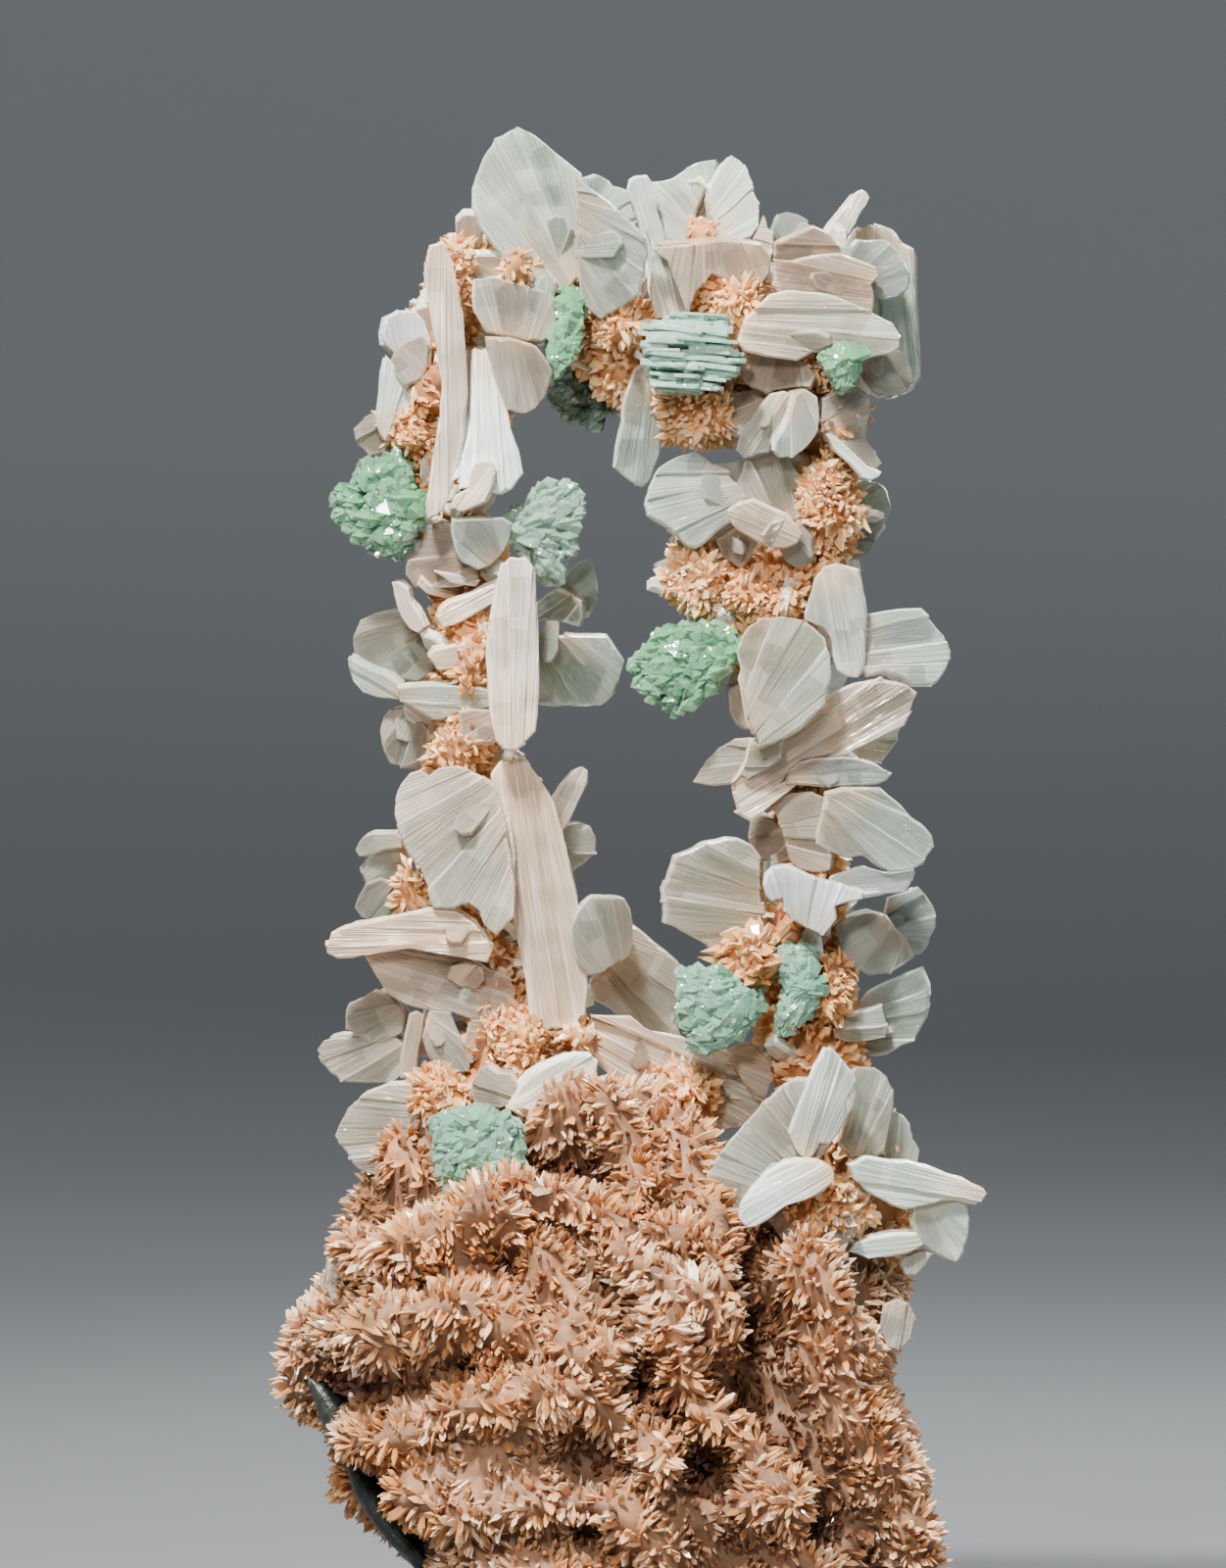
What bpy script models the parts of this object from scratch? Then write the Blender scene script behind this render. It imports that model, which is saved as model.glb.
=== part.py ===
# A mineral specimen: a lumpy matrix foot, cut flat underneath, from which a
# slim two-legged arch of matrix rises.  The arch and foot carry flat stilbite
# blades and sheaves and leaf-like fans of green fluorapophyllite crystals.
#
# Every crystal is drawn as a front outline in drawing units (u to the right,
# v downward, one unit is 0.11 mm at the middle plane), with a depth (mm from
# the middle plane, negative toward the front), a thickness (mm) and two
# slopes (how the plate leans back along u and along v).  The outlines are
# drawn as seen from a point 0.9 m in front of the specimen.
import math

import bmesh
import bpy
from mathutils import Matrix, Vector

# ---- driving dimensions ---------------------------------------------------
VIEW = 0.900          # m, distance of the drawing point from the middle plane
UNITS = 8182.0        # drawing units per metre of view distance
U_MID, V_MID = 625.5, 800.0
X_MID, Z_MID = -0.0071, 0.0990
GAP = 0.30            # mm, kept between neighbouring pieces
MM = 0.001
FOOT_SIDES = 18
PLAIN = 5.6           # drawing units, corners flatter than this are left out
EYE = Vector((X_MID, -VIEW, Z_MID))
NAME = "fluorapophyllite_specimen"


def place(u, v, y):
    """Drawing units and a depth in mm to a point in metres."""
    k = (VIEW + y * MM) / UNITS
    return Vector((X_MID + (u - U_MID) * k, y * MM, Z_MID - (v - V_MID) * k))


# ---- stilbite: piece, depth, thickness, slope u, slope v, outline ----------
STILBITE = [
    # top left
    ("stilbite_top_left_fan", -3.5, 4.6, 0.10, -0.22, [(526, 132), (541, 139), (592, 181), (601, 230), (594, 290), (576, 305), (545, 300), (512, 264), (490, 236), (480, 212), (481, 192), (487, 170), (502, 144)]),
    ("stilbite_top_left_fan", -8.0, 3.6, -0.12, 0.16, [(590, 182), (625, 207), (660, 240), (661, 262), (656, 299), (640, 309), (614, 325), (594, 308), (589, 250)]),
    ("stilbite_top_left_fan", -4.6, 4.0, 0.22, 0.10, [(592, 181), (606, 177), (615, 181), (623, 189), (637, 194), (641, 206), (648, 226), (630, 250), (600, 215)]),
    ("stilbite_edge_blade", -9.5, 4.4, 0.06, 0.10, [(438, 250), (452, 247), (461, 266), (467, 292), (472, 320), (475, 360), (477, 400), (474, 434), (471, 462), (461, 498), (452, 520), (436, 529), (434, 514), (440, 476), (449, 420), (450, 386), (443, 346), (438, 316), (433, 290), (433, 272)]),
    ("stilbite_pearly_blade", -8.4, 2.8, 0.24, -0.06, [(481, 357), (487, 355), (495, 359), (501, 380), (510, 398), (517, 420), (519, 438), (527, 460), (532, 484), (520, 500), (508, 507), (496, 506), (478, 498), (467, 500), (469, 474), (476, 448), (479, 430), (479, 390)]),
    ("stilbite_pearly_blade", -10.2, 2.4, -0.10, 0.12, [(486, 470), (501, 469), (506, 480), (505, 496), (497, 512), (474, 522), (459, 519), (464, 506), (478, 498), (480, 481)]),
    ("stilbite_left_tablets", -7.2, 3.4, 0.16, -0.10, [(482, 287), (505, 284), (562, 300), (568, 322), (566, 340), (552, 352), (520, 347), (495, 340), (482, 318), (480, 304)]),
    ("stilbite_left_tablets", -8.8, 3.2, 0.20, 0.12, [(494, 345), (520, 345), (545, 352), (553, 362), (562, 377), (557, 396), (555, 403), (545, 415), (535, 422), (518, 418), (508, 396), (500, 372)]),
    ("stilbite_left_shoulder", -3.4, 4.2, 0.30, 0.10, [(404, 316), (420, 316), (430, 328), (436, 345), (436, 362), (420, 366), (402, 364), (390, 352), (387, 338), (392, 322)]),
    ("stilbite_left_shoulder", -6.2, 3.0, -0.20, -0.14, [(432, 344), (440, 354), (438, 374), (432, 389), (415, 397), (405, 386), (398, 372), (404, 360), (416, 350)]),
    ("stilbite_left_shoulder", -4.6, 4.0, 0.16, 0.20, [(393, 362), (402, 372), (412, 388), (426, 398), (434, 410), (420, 420), (408, 426), (399, 440), (395, 450), (388, 446), (383, 430), (388, 402), (388, 380)]),
    ("stilbite_left_shoulder", -1.8, 3.4, -0.20, 0.22, [(374, 424), (384, 420), (392, 430), (402, 444), (398, 460), (378, 464), (366, 452), (362, 437), (370, 430)]),
    ("stilbite_crest", -4.4, 3.6, 0.24, 0.06, [(640, 183), (646, 179), (657, 179), (664, 188), (668, 215), (676, 240), (684, 262), (692, 290), (701, 322), (667, 326), (662, 300), (662, 246), (647, 217), (638, 195)]),
    ("stilbite_crest", -2.0, 4.0, -0.16, -0.20, [(662, 190), (688, 186), (700, 176), (716, 168), (734, 166), (728, 185), (721, 200), (713, 215), (708, 232), (704, 250), (680, 250), (668, 215)]),
    ("stilbite_crest", -2.6, 6.4, 0.14, -0.12, [(727, 180), (733, 170), (742, 162), (752, 167), (758, 175), (764, 190), (768, 205), (772, 210), (771, 235), (764, 246), (750, 252), (730, 250), (722, 226), (718, 206), (722, 190)]),
    ("stilbite_crest", -6.4, 3.8, 0.10, 0.24, [(661, 252), (700, 248), (736, 242), (775, 245), (786, 258), (784, 278), (770, 294), (745, 285), (724, 278), (708, 296), (700, 316), (690, 290), (680, 264)]),
    ("stilbite_crest_right", -2.4, 3.4, 0.18, -0.14, [(791, 220), (800, 218), (812, 219), (824, 226), (820, 246), (806, 262), (790, 262), (785, 240)]),
    ("stilbite_crest_right", -4.6, 3.4, 0.14, 0.22, [(788, 247), (808, 238), (829, 229), (845, 237), (853, 248), (862, 256), (842, 262), (828, 270), (800, 272), (787, 264)]),
    ("stilbite_crest_right", -1.4, 3.8, 0.36, -0.10, [(871, 197), (876, 195), (881, 197), (884, 204), (880, 212), (874, 220), (868, 233), (858, 247), (852, 262), (836, 258), (840, 236), (848, 225), (862, 208)]),
    ("stilbite_clear_plate", 4.2, 3.8, -0.14, 0.05, [(866, 243), (873, 234), (888, 226), (912, 235), (920, 246), (932, 252), (935, 262), (936, 300), (939, 360), (940, 385), (932, 398), (918, 405), (898, 409), (886, 404), (870, 380), (858, 330), (861, 280)]),
    ("stilbite_right_shoulder", -2.4, 4.2, 0.20, 0.12, [(852, 251), (866, 250), (873, 244), (900, 243), (914, 255), (921, 268), (927, 282), (924, 295), (912, 304), (898, 306), (880, 298), (862, 284), (854, 268)]),
    ("stilbite_right_shoulder", -5.6, 3.6, 0.12, 0.12, [(788, 264), (805, 266), (835, 259), (855, 258), (875, 265), (893, 272), (896, 281), (888, 290), (891, 302), (890, 324), (875, 318), (850, 308), (820, 306), (797, 304), (787, 290)]),
    ("stilbite_right_shoulder", -8.6, 4.2, 0.14, 0.08, [(752, 340), (757, 325), (770, 312), (782, 300), (800, 296), (815, 297), (845, 300), (875, 312), (895, 322), (910, 330), (918, 343), (916, 355), (905, 362), (880, 366), (868, 354), (850, 350), (830, 358), (810, 368), (780, 364), (757, 358), (751, 350)]),
    ("stilbite_right_shoulder", -6.6, 3.4, -0.12, -0.16, [(757, 370), (772, 360), (800, 360), (818, 370), (834, 385), (828, 398), (802, 398), (784, 404), (768, 397), (757, 387)]),
    ("stilbite_right_shoulder", -3.0, 3.6, 0.20, -0.20, [(874, 366), (905, 358), (918, 360), (928, 378), (930, 392), (922, 402), (905, 401), (892, 396), (884, 386)]),
    ("stilbite_hanging_finger", -6.2, 4.0, -0.22, 0.14, [(788, 400), (802, 398), (812, 402), (803, 420), (795, 440), (789, 452), (787, 461), (775, 463), (762, 466), (753, 458), (763, 432), (768, 428), (776, 414)]),
    ("stilbite_hanging_finger", -8.4, 3.8, 0.20, 0.20, [(808, 400), (820, 396), (832, 404), (834, 425), (831, 440), (825, 450), (815, 458), (805, 465), (792, 465), (786, 458), (787, 448), (796, 435), (802, 420)]),
    ("stilbite_hanging_finger", -4.0, 3.6, 0.10, 0.14, [(722, 400), (745, 400), (772, 396), (790, 402), (776, 425), (766, 434), (755, 447), (742, 442), (735, 432), (728, 416)]),
    ("stilbite_hanging_clear", -3.0, 3.4, 0.24, 0.14, [(645, 375), (658, 366), (668, 372), (676, 390), (677, 430), (669, 465), (660, 490), (652, 496), (640, 492), (623, 477), (626, 455), (632, 430), (633, 410)]),
    ("stilbite_right_arm", -4.4, 4.0, 0.16, 0.12, [(850, 398), (875, 394), (888, 406), (884, 430), (880, 445), (890, 460), (897, 471), (890, 479), (870, 468), (850, 455), (838, 448), (835, 430), (836, 406)]),
    ("stilbite_right_arm", -7.4, 2.8, 0.12, 0.10, [(841, 442), (850, 444), (866, 458), (884, 475), (898, 481), (896, 486), (887, 490), (878, 487), (865, 473), (848, 458)]),
    ("stilbite_right_arm_clear", 1.6, 3.4, 0.16, -0.12, [(866, 496), (880, 491), (895, 494), (904, 503), (907, 518), (906, 525), (898, 540), (890, 558), (882, 569), (872, 572), (864, 552), (862, 525), (862, 508)]),
    # middle right
    ("stilbite_window_fan", -6.8, 4.2, 0.22, -0.12, [(680, 472), (690, 467), (706, 463), (715, 468), (725, 476), (740, 482), (752, 498), (760, 510), (758, 526), (742, 535), (728, 545), (716, 556), (708, 561), (700, 559), (690, 549), (672, 536), (658, 528), (656, 515), (657, 505), (663, 490), (670, 478)]),
    ("stilbite_window_fan", -9.0, 3.6, 0.10, 0.16, [(742, 520), (750, 512), (768, 508), (785, 516), (800, 522), (810, 532), (818, 543), (812, 553), (800, 558), (785, 558), (770, 550), (752, 540), (744, 532)]),
    ("stilbite_window_fan", -5.2, 3.6, -0.10, -0.20, [(754, 492), (762, 472), (790, 462), (806, 468), (814, 485), (822, 500), (827, 516), (822, 536), (806, 535), (792, 524), (772, 514), (756, 508)]),
    ("stilbite_window_fan", -6.6, 3.2, -0.22, 0.20, [(804, 530), (820, 533), (830, 548), (832, 565), (826, 576), (814, 579), (804, 572), (797, 560)]),
    ("stilbite_wing", -5.2, 4.2, -0.14, 0.10, [(832, 587), (842, 577), (856, 573), (870, 578), (878, 580), (881, 595), (884, 610), (886, 626), (885, 650), (883, 680), (876, 692), (866, 690), (856, 685), (852, 670), (850, 650), (840, 640), (822, 632), (821, 625), (828, 602)]),
    ("stilbite_wing", -3.6, 4.2, 0.14, -0.10, [(874, 630), (900, 625), (938, 622), (945, 630), (955, 642), (962, 650), (968, 665), (969, 672), (964, 685), (958, 695), (950, 701), (928, 701), (915, 692), (898, 688), (882, 692), (872, 680)]),
    ("stilbite_tablet_sheaf", -9.2, 4.2, -0.10, -0.12, [(758, 650), (765, 640), (778, 632), (800, 630), (820, 634), (832, 641), (843, 652), (848, 668), (850, 690), (842, 720), (818, 745), (792, 760), (775, 766), (764, 742), (760, 712), (756, 682), (752, 666)]),
    ("stilbite_tablet_sheaf", -6.4, 4.4, 0.16, 0.10, [(742, 800), (757, 776), (762, 754), (790, 742), (815, 732), (848, 706), (872, 695), (900, 690), (925, 695), (938, 704), (930, 722), (920, 740), (900, 750), (880, 760), (850, 768), (815, 774), (797, 792), (782, 813), (775, 830), (764, 837), (748, 828), (744, 815)]),
    ("stilbite_tablet_sheaf", -3.2, 3.6, -0.20, 0.10, [(709, 797), (716, 785), (722, 775), (735, 762), (752, 753), (770, 752), (772, 770), (764, 786), (748, 799), (730, 801)]),
    ("stilbite_tablet_sheaf", -3.4, 4.0, 0.12, 0.06, [(742, 700), (752, 696), (764, 704), (772, 728), (768, 744), (758, 744), (750, 738), (743, 725)]),
    ("stilbite_white_polygon", -6.4, 4.2, 0.10, 0.08, [(799, 799), (804, 784), (814, 776), (830, 772), (860, 771), (880, 774), (892, 778), (901, 785), (909, 788), (903, 795), (893, 800), (870, 800), (840, 802)]),
    ("stilbite_white_polygon", -9.4, 4.4, 0.16, 0.08, [(840, 808), (858, 803), (880, 802), (895, 802), (902, 808), (915, 818), (927, 833), (938, 840), (948, 850), (950, 862), (944, 872), (940, 880), (928, 886), (918, 888), (906, 888), (895, 884), (878, 872), (862, 875), (850, 870), (832, 860), (831, 850), (836, 830)]),
    ("stilbite_white_polygon", -5.8, 4.6, -0.12, 0.10, [(796, 808), (830, 806), (842, 812), (846, 840), (848, 862), (852, 876), (850, 887), (838, 889), (816, 886), (806, 876), (800, 850), (790, 824)]),
    ("stilbite_white_polygon", -2.6, 4.0, -0.20, 0.12, [(766, 836), (775, 828), (792, 836), (808, 856), (812, 874), (795, 880), (780, 876), (768, 868), (764, 850)]),
    ("stilbite_dusky_fan", -5.6, 4.6, 0.20, 0.12, [(684, 872), (700, 865), (715, 858), (738, 853), (750, 853), (765, 860), (774, 872), (774, 886), (774, 900), (776, 915), (778, 930), (770, 944), (758, 948), (752, 962), (742, 985), (728, 970), (705, 955), (680, 942), (672, 940), (673, 905), (678, 890)]),
    ("stilbite_striated_sheaf", -9.8, 4.4, 0.10, 0.14, [(777, 900), (779, 890), (786, 882), (800, 880), (812, 884), (830, 893), (850, 897), (865, 903), (880, 907), (878, 915), (862, 918), (850, 922), (852, 935), (845, 945), (838, 953), (825, 948), (808, 938), (798, 928), (798, 914), (785, 918), (780, 912)]),
    ("stilbite_striated_sheaf", -7.2, 3.6, 0.14, -0.12, [(850, 894), (878, 884), (905, 892), (930, 887), (932, 892), (928, 905), (922, 911), (905, 912), (880, 917), (858, 920), (846, 908)]),
    ("stilbite_low_clear", 0.8, 3.6, 0.10, 0.14, [(906, 914), (925, 908), (935, 903), (944, 912), (954, 930), (953, 942), (948, 955), (946, 962), (938, 972), (928, 974), (916, 966), (904, 948), (902, 930)]),
    ("stilbite_low_clear", -3.0, 4.2, 0.12, 0.10, [(850, 945), (870, 932), (885, 928), (902, 932), (912, 945), (925, 960), (931, 975), (918, 984), (905, 992), (885, 994), (868, 986), (856, 970)]),
    ("stilbite_low_clear", -0.8, 4.4, -0.16, 0.18, [(898, 1004), (925, 991), (942, 985), (950, 1003), (951, 1025), (944, 1043), (934, 1060), (922, 1064), (908, 1073), (890, 1075), (874, 1066), (868, 1050), (872, 1030), (884, 1012)]),
    ("stilbite_low_clear", -4.0, 3.6, 0.14, 0.20, [(848, 1048), (860, 1037), (885, 1029), (900, 1024), (904, 1040), (902, 1056), (880, 1060), (860, 1061), (850, 1057)]),
    # middle left
    ("stilbite_left_block", -7.6, 5.0, 0.18, 0.12, [(459, 528), (480, 526), (510, 526), (520, 532), (518, 550), (510, 565), (500, 575), (485, 580), (470, 573), (462, 561), (459, 542)]),
    ("stilbite_left_block", -4.6, 4.0, -0.18, 0.10, [(438, 534), (452, 530), (468, 536), (474, 560), (486, 578), (490, 590), (470, 598), (445, 600), (425, 598), (415, 585), (417, 570), (430, 560)]),
    ("stilbite_clear_bar", -2.6, 3.6, -0.12, 0.12, [(546, 616), (560, 605), (570, 600), (585, 605), (596, 612), (598, 628), (593, 640), (575, 634), (555, 631), (543, 634), (536, 624)]),
    ("stilbite_clear_bar", 0.8, 3.6, 0.14, -0.20, [(572, 592), (590, 576), (600, 573), (606, 585), (609, 600), (610, 615), (602, 628), (594, 630), (580, 622), (570, 608)]),
    ("stilbite_left_stack", 0.4, 4.2, -0.22, 0.06, [(363, 650), (370, 632), (385, 625), (405, 620), (430, 625), (450, 640), (452, 660), (448, 675), (440, 688), (430, 696), (408, 692), (390, 688), (375, 678), (365, 665)]),
    ("stilbite_left_stack", -3.2, 3.4, -0.20, 0.16, [(357, 667), (365, 672), (378, 679), (400, 687), (412, 697), (412, 713), (388, 711), (372, 706), (362, 695), (357, 682)]),
    ("stilbite_left_stack", -5.8, 3.6, 0.06, 0.20, [(405, 700), (425, 697), (460, 697), (490, 699), (503, 703), (500, 719), (480, 723), (465, 726), (450, 733), (440, 733), (425, 723), (408, 713)]),
    ("stilbite_left_stack", -6.0, 3.0, 0.10, 0.24, [(436, 668), (442, 660), (460, 656), (480, 653), (498, 655), (496, 665), (480, 676), (462, 681), (445, 682)]),
    ("stilbite_left_stack", -6.8, 3.0, 0.16, 0.16, [(445, 630), (448, 620), (458, 612), (474, 607), (490, 599), (510, 590), (520, 595), (516, 606), (500, 616), (480, 628), (465, 636), (450, 640)]),
    ("stilbite_left_stack", -0.6, 5.4, -0.10, 0.08, [(400, 723), (412, 721), (430, 727), (440, 742), (442, 762), (430, 778), (413, 783), (400, 778), (392, 765), (389, 745), (392, 732)]),
    ("stilbite_left_block", -10.8, 3.8, 0.12, 0.03, [(510, 577), (520, 569), (535, 569), (545, 581), (546, 610), (548, 640), (549, 700), (548, 730), (546, 748), (538, 757), (525, 766), (512, 764), (505, 755), (501, 740), (499, 700), (498, 650), (502, 620), (506, 596)]),
    ("stilbite_left_block", -8.0, 3.2, 0.10, 0.06, [(468, 726), (482, 723), (504, 724), (512, 736), (512, 752), (500, 759), (486, 760), (475, 757), (468, 748)]),
    ("stilbite_clear_bar", -5.8, 4.6, 0.10, 0.16, [(540, 646), (580, 645), (618, 646), (628, 660), (636, 672), (632, 690), (625, 708), (612, 718), (590, 719), (560, 720), (540, 716), (534, 690), (534, 662)]),
    ("stilbite_big_sheaf", -8.8, 3.8, -0.14, 0.05, [(405, 815), (410, 800), (420, 788), (430, 785), (440, 791), (450, 783), (468, 780), (480, 784), (493, 791), (502, 797), (512, 811), (520, 850), (527, 900), (526, 935), (518, 944), (508, 953), (498, 948), (490, 930), (480, 922), (462, 926), (444, 926), (431, 890), (418, 870), (409, 850), (404, 832)]),
    ("stilbite_big_sheaf", -6.2, 4.0, 0.10, 0.03, [(500, 790), (510, 776), (522, 771), (535, 773), (545, 786), (556, 801), (564, 816), (573, 846), (582, 890), (591, 930), (596, 970), (600, 1010), (597, 1038), (585, 1048), (570, 1051), (548, 1056), (535, 1058), (532, 1050), (540, 1036), (536, 1000), (528, 960), (522, 920), (514, 870), (505, 830)]),
    ("stilbite_big_sheaf", -3.6, 3.0, 0.20, 0.06, [(554, 812), (566, 840), (580, 880), (588, 915), (586, 935), (581, 951), (572, 940), (560, 905), (550, 860)]),
    ("stilbite_big_sheaf", -2.2, 3.2, 0.24, -0.12, [(560, 818), (572, 800), (585, 785), (592, 782), (598, 787), (598, 800), (590, 816), (580, 838), (572, 850), (558, 840)]),
    ("stilbite_big_sheaf", -0.4, 3.8, 0.20, 0.12, [(566, 842), (590, 838), (600, 842), (608, 855), (606, 868), (595, 878), (582, 888), (570, 884), (560, 862)]),
    ("stilbite_left_small", -2.8, 3.2, -0.16, 0.16, [(372, 852), (382, 848), (405, 848), (414, 852), (413, 864), (395, 866), (382, 870), (368, 873), (364, 866), (368, 858)]),
    ("stilbite_left_small", -1.2, 3.6, 0.10, 0.20, [(376, 872), (388, 862), (412, 862), (420, 875), (416, 892), (400, 898), (385, 902), (372, 898), (367, 888)]),
    ("stilbite_left_small", -1.6, 3.6, -0.12, 0.10, [(375, 900), (390, 894), (406, 900), (412, 920), (408, 936), (385, 940), (370, 935), (363, 925), (368, 912)]),
    # low left
    ("stilbite_pink_blade", -7.2, 3.6, 0.03, 0.16, [(332, 960), (335, 950), (350, 943), (380, 938), (410, 931), (440, 925), (468, 928), (486, 940), (496, 954), (504, 964), (497, 980), (485, 977), (465, 969), (446, 958), (410, 961), (385, 966), (360, 975), (345, 976), (334, 970)]),
    ("stilbite_low_left_fan", -3.6, 4.0, 0.10, 0.12, [(370, 973), (392, 966), (430, 956), (460, 962), (500, 987), (522, 996), (528, 1010), (522, 1030), (500, 1039), (480, 1038), (462, 1032), (440, 1030), (410, 1022), (395, 1012), (385, 997)]),
    ("stilbite_low_left_fan", -1.2, 4.0, -0.18, 0.10, [(358, 1022), (372, 1017), (385, 1008), (404, 1012), (416, 1034), (414, 1052), (396, 1062), (380, 1062), (368, 1056), (356, 1048), (355, 1035)]),
    ("stilbite_low_left_fan", -0.4, 4.4, -0.18, 0.16, [(326, 1070), (332, 1060), (345, 1057), (375, 1058), (400, 1052), (416, 1064), (418, 1090), (404, 1102), (370, 1102), (350, 1100), (340, 1092), (330, 1082)]),
    ("stilbite_low_left_fan", -3.8, 3.6, 0.16, 0.10, [(428, 1056), (438, 1030), (458, 1032), (468, 1056), (478, 1080), (478, 1092), (460, 1096), (446, 1090), (436, 1078)]),
    ("stilbite_rear_plates", -5.8, 5.2, 0.14, 0.12, [(586, 927), (595, 916), (602, 911), (620, 912), (634, 914), (640, 925), (643, 940), (644, 960), (640, 972), (628, 982), (612, 991), (598, 994), (586, 980), (580, 960), (579, 944)]),
    ("stilbite_rear_plates", 1.6, 4.6, 0.18, 0.20, [(630, 940), (645, 942), (662, 956), (680, 970), (692, 981), (692, 1002), (688, 1020), (690, 1045), (694, 1056), (660, 1062), (640, 1046), (620, 1026), (605, 1018), (600, 1000), (612, 985), (626, 966)]),
    ("stilbite_rear_plates", -1.8, 4.6, 0.14, 0.08, [(600, 1034), (640, 1035), (660, 1050), (694, 1056), (720, 1072), (745, 1070), (758, 1090), (782, 1120), (768, 1142), (745, 1152), (720, 1156), (700, 1146), (680, 1128), (650, 1112), (620, 1096), (603, 1080), (592, 1052)]),
    # on the foot
    ("stilbite_foot_pair", -10.6, 4.6, -0.16, 0.14, [(480, 1114), (484, 1100), (492, 1087), (500, 1085), (510, 1092), (522, 1093), (529, 1104), (528, 1120), (515, 1130), (500, 1130), (485, 1126)]),
    ("stilbite_foot_pair", -12.0, 3.6, 0.12, 0.16, [(516, 1130), (524, 1116), (532, 1102), (540, 1092), (555, 1085), (570, 1078), (585, 1072), (600, 1073), (610, 1080), (608, 1095), (595, 1108), (580, 1120), (565, 1129), (548, 1138), (530, 1138)]),
    ("stilbite_foot_left_fan", -6.2, 4.8, -0.22, 0.10, [(345, 1158), (350, 1145), (358, 1130), (375, 1113), (400, 1103), (428, 1102), (444, 1112), (440, 1140), (436, 1165), (430, 1184), (412, 1192), (388, 1198), (370, 1191), (360, 1180), (352, 1168)]),
    ("stilbite_foot_right_sheaf", -13.6, 4.6, -0.12, 0.12, [(722, 1196), (735, 1175), (750, 1157), (779, 1123), (799, 1105), (812, 1098), (832, 1097), (850, 1110), (864, 1122), (860, 1142), (848, 1166), (834, 1190), (800, 1212), (770, 1228), (752, 1236), (736, 1225), (724, 1210)]),
    ("stilbite_foot_right_sheaf", -16.0, 3.4, 0.10, 0.10, [(840, 1068), (847, 1068), (858, 1080), (868, 1092), (872, 1101), (868, 1112), (862, 1121), (862, 1140), (855, 1155), (845, 1166), (835, 1165), (830, 1175), (822, 1181), (814, 1176), (808, 1165), (803, 1155), (812, 1130), (822, 1105), (830, 1086)]),
    ("stilbite_foot_right_sheaf", -17.6, 4.2, 0.06, 0.14, [(753, 1240), (755, 1225), (765, 1210), (780, 1195), (798, 1184), (815, 1180), (835, 1181), (848, 1190), (850, 1200), (840, 1212), (820, 1222), (800, 1228), (785, 1240), (770, 1249), (760, 1250)]),
    ("stilbite_foot_right_spray", -10.2, 4.2, 0.14, -0.10, [(862, 1098), (870, 1089), (890, 1090), (902, 1100), (910, 1115), (909, 1135), (905, 1152), (900, 1176), (885, 1186), (868, 1182), (856, 1167), (858, 1154), (864, 1135), (868, 1115)]),
    ("stilbite_foot_right_spray", -7.8, 3.8, 0.20, 0.10, [(904, 1130), (918, 1136), (926, 1146), (929, 1160), (937, 1172), (934, 1186), (912, 1188), (896, 1184), (896, 1165), (900, 1146)]),
    ("stilbite_foot_right_spray", -11.6, 4.2, 0.18, 0.12, [(862, 1186), (880, 1178), (900, 1181), (925, 1182), (945, 1188), (965, 1196), (980, 1200), (990, 1206), (1000, 1210), (1004, 1216), (996, 1228), (985, 1226), (975, 1223), (960, 1224), (945, 1228), (930, 1231), (920, 1233), (905, 1228), (890, 1220), (878, 1212), (868, 1200)]),
    ("stilbite_foot_right_spray", -9.4, 4.8, 0.10, 0.14, [(930, 1226), (945, 1218), (965, 1216), (982, 1221), (988, 1240), (985, 1262), (981, 1275), (975, 1285), (965, 1284), (950, 1276), (940, 1268), (931, 1258), (927, 1242)]),
]

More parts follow.
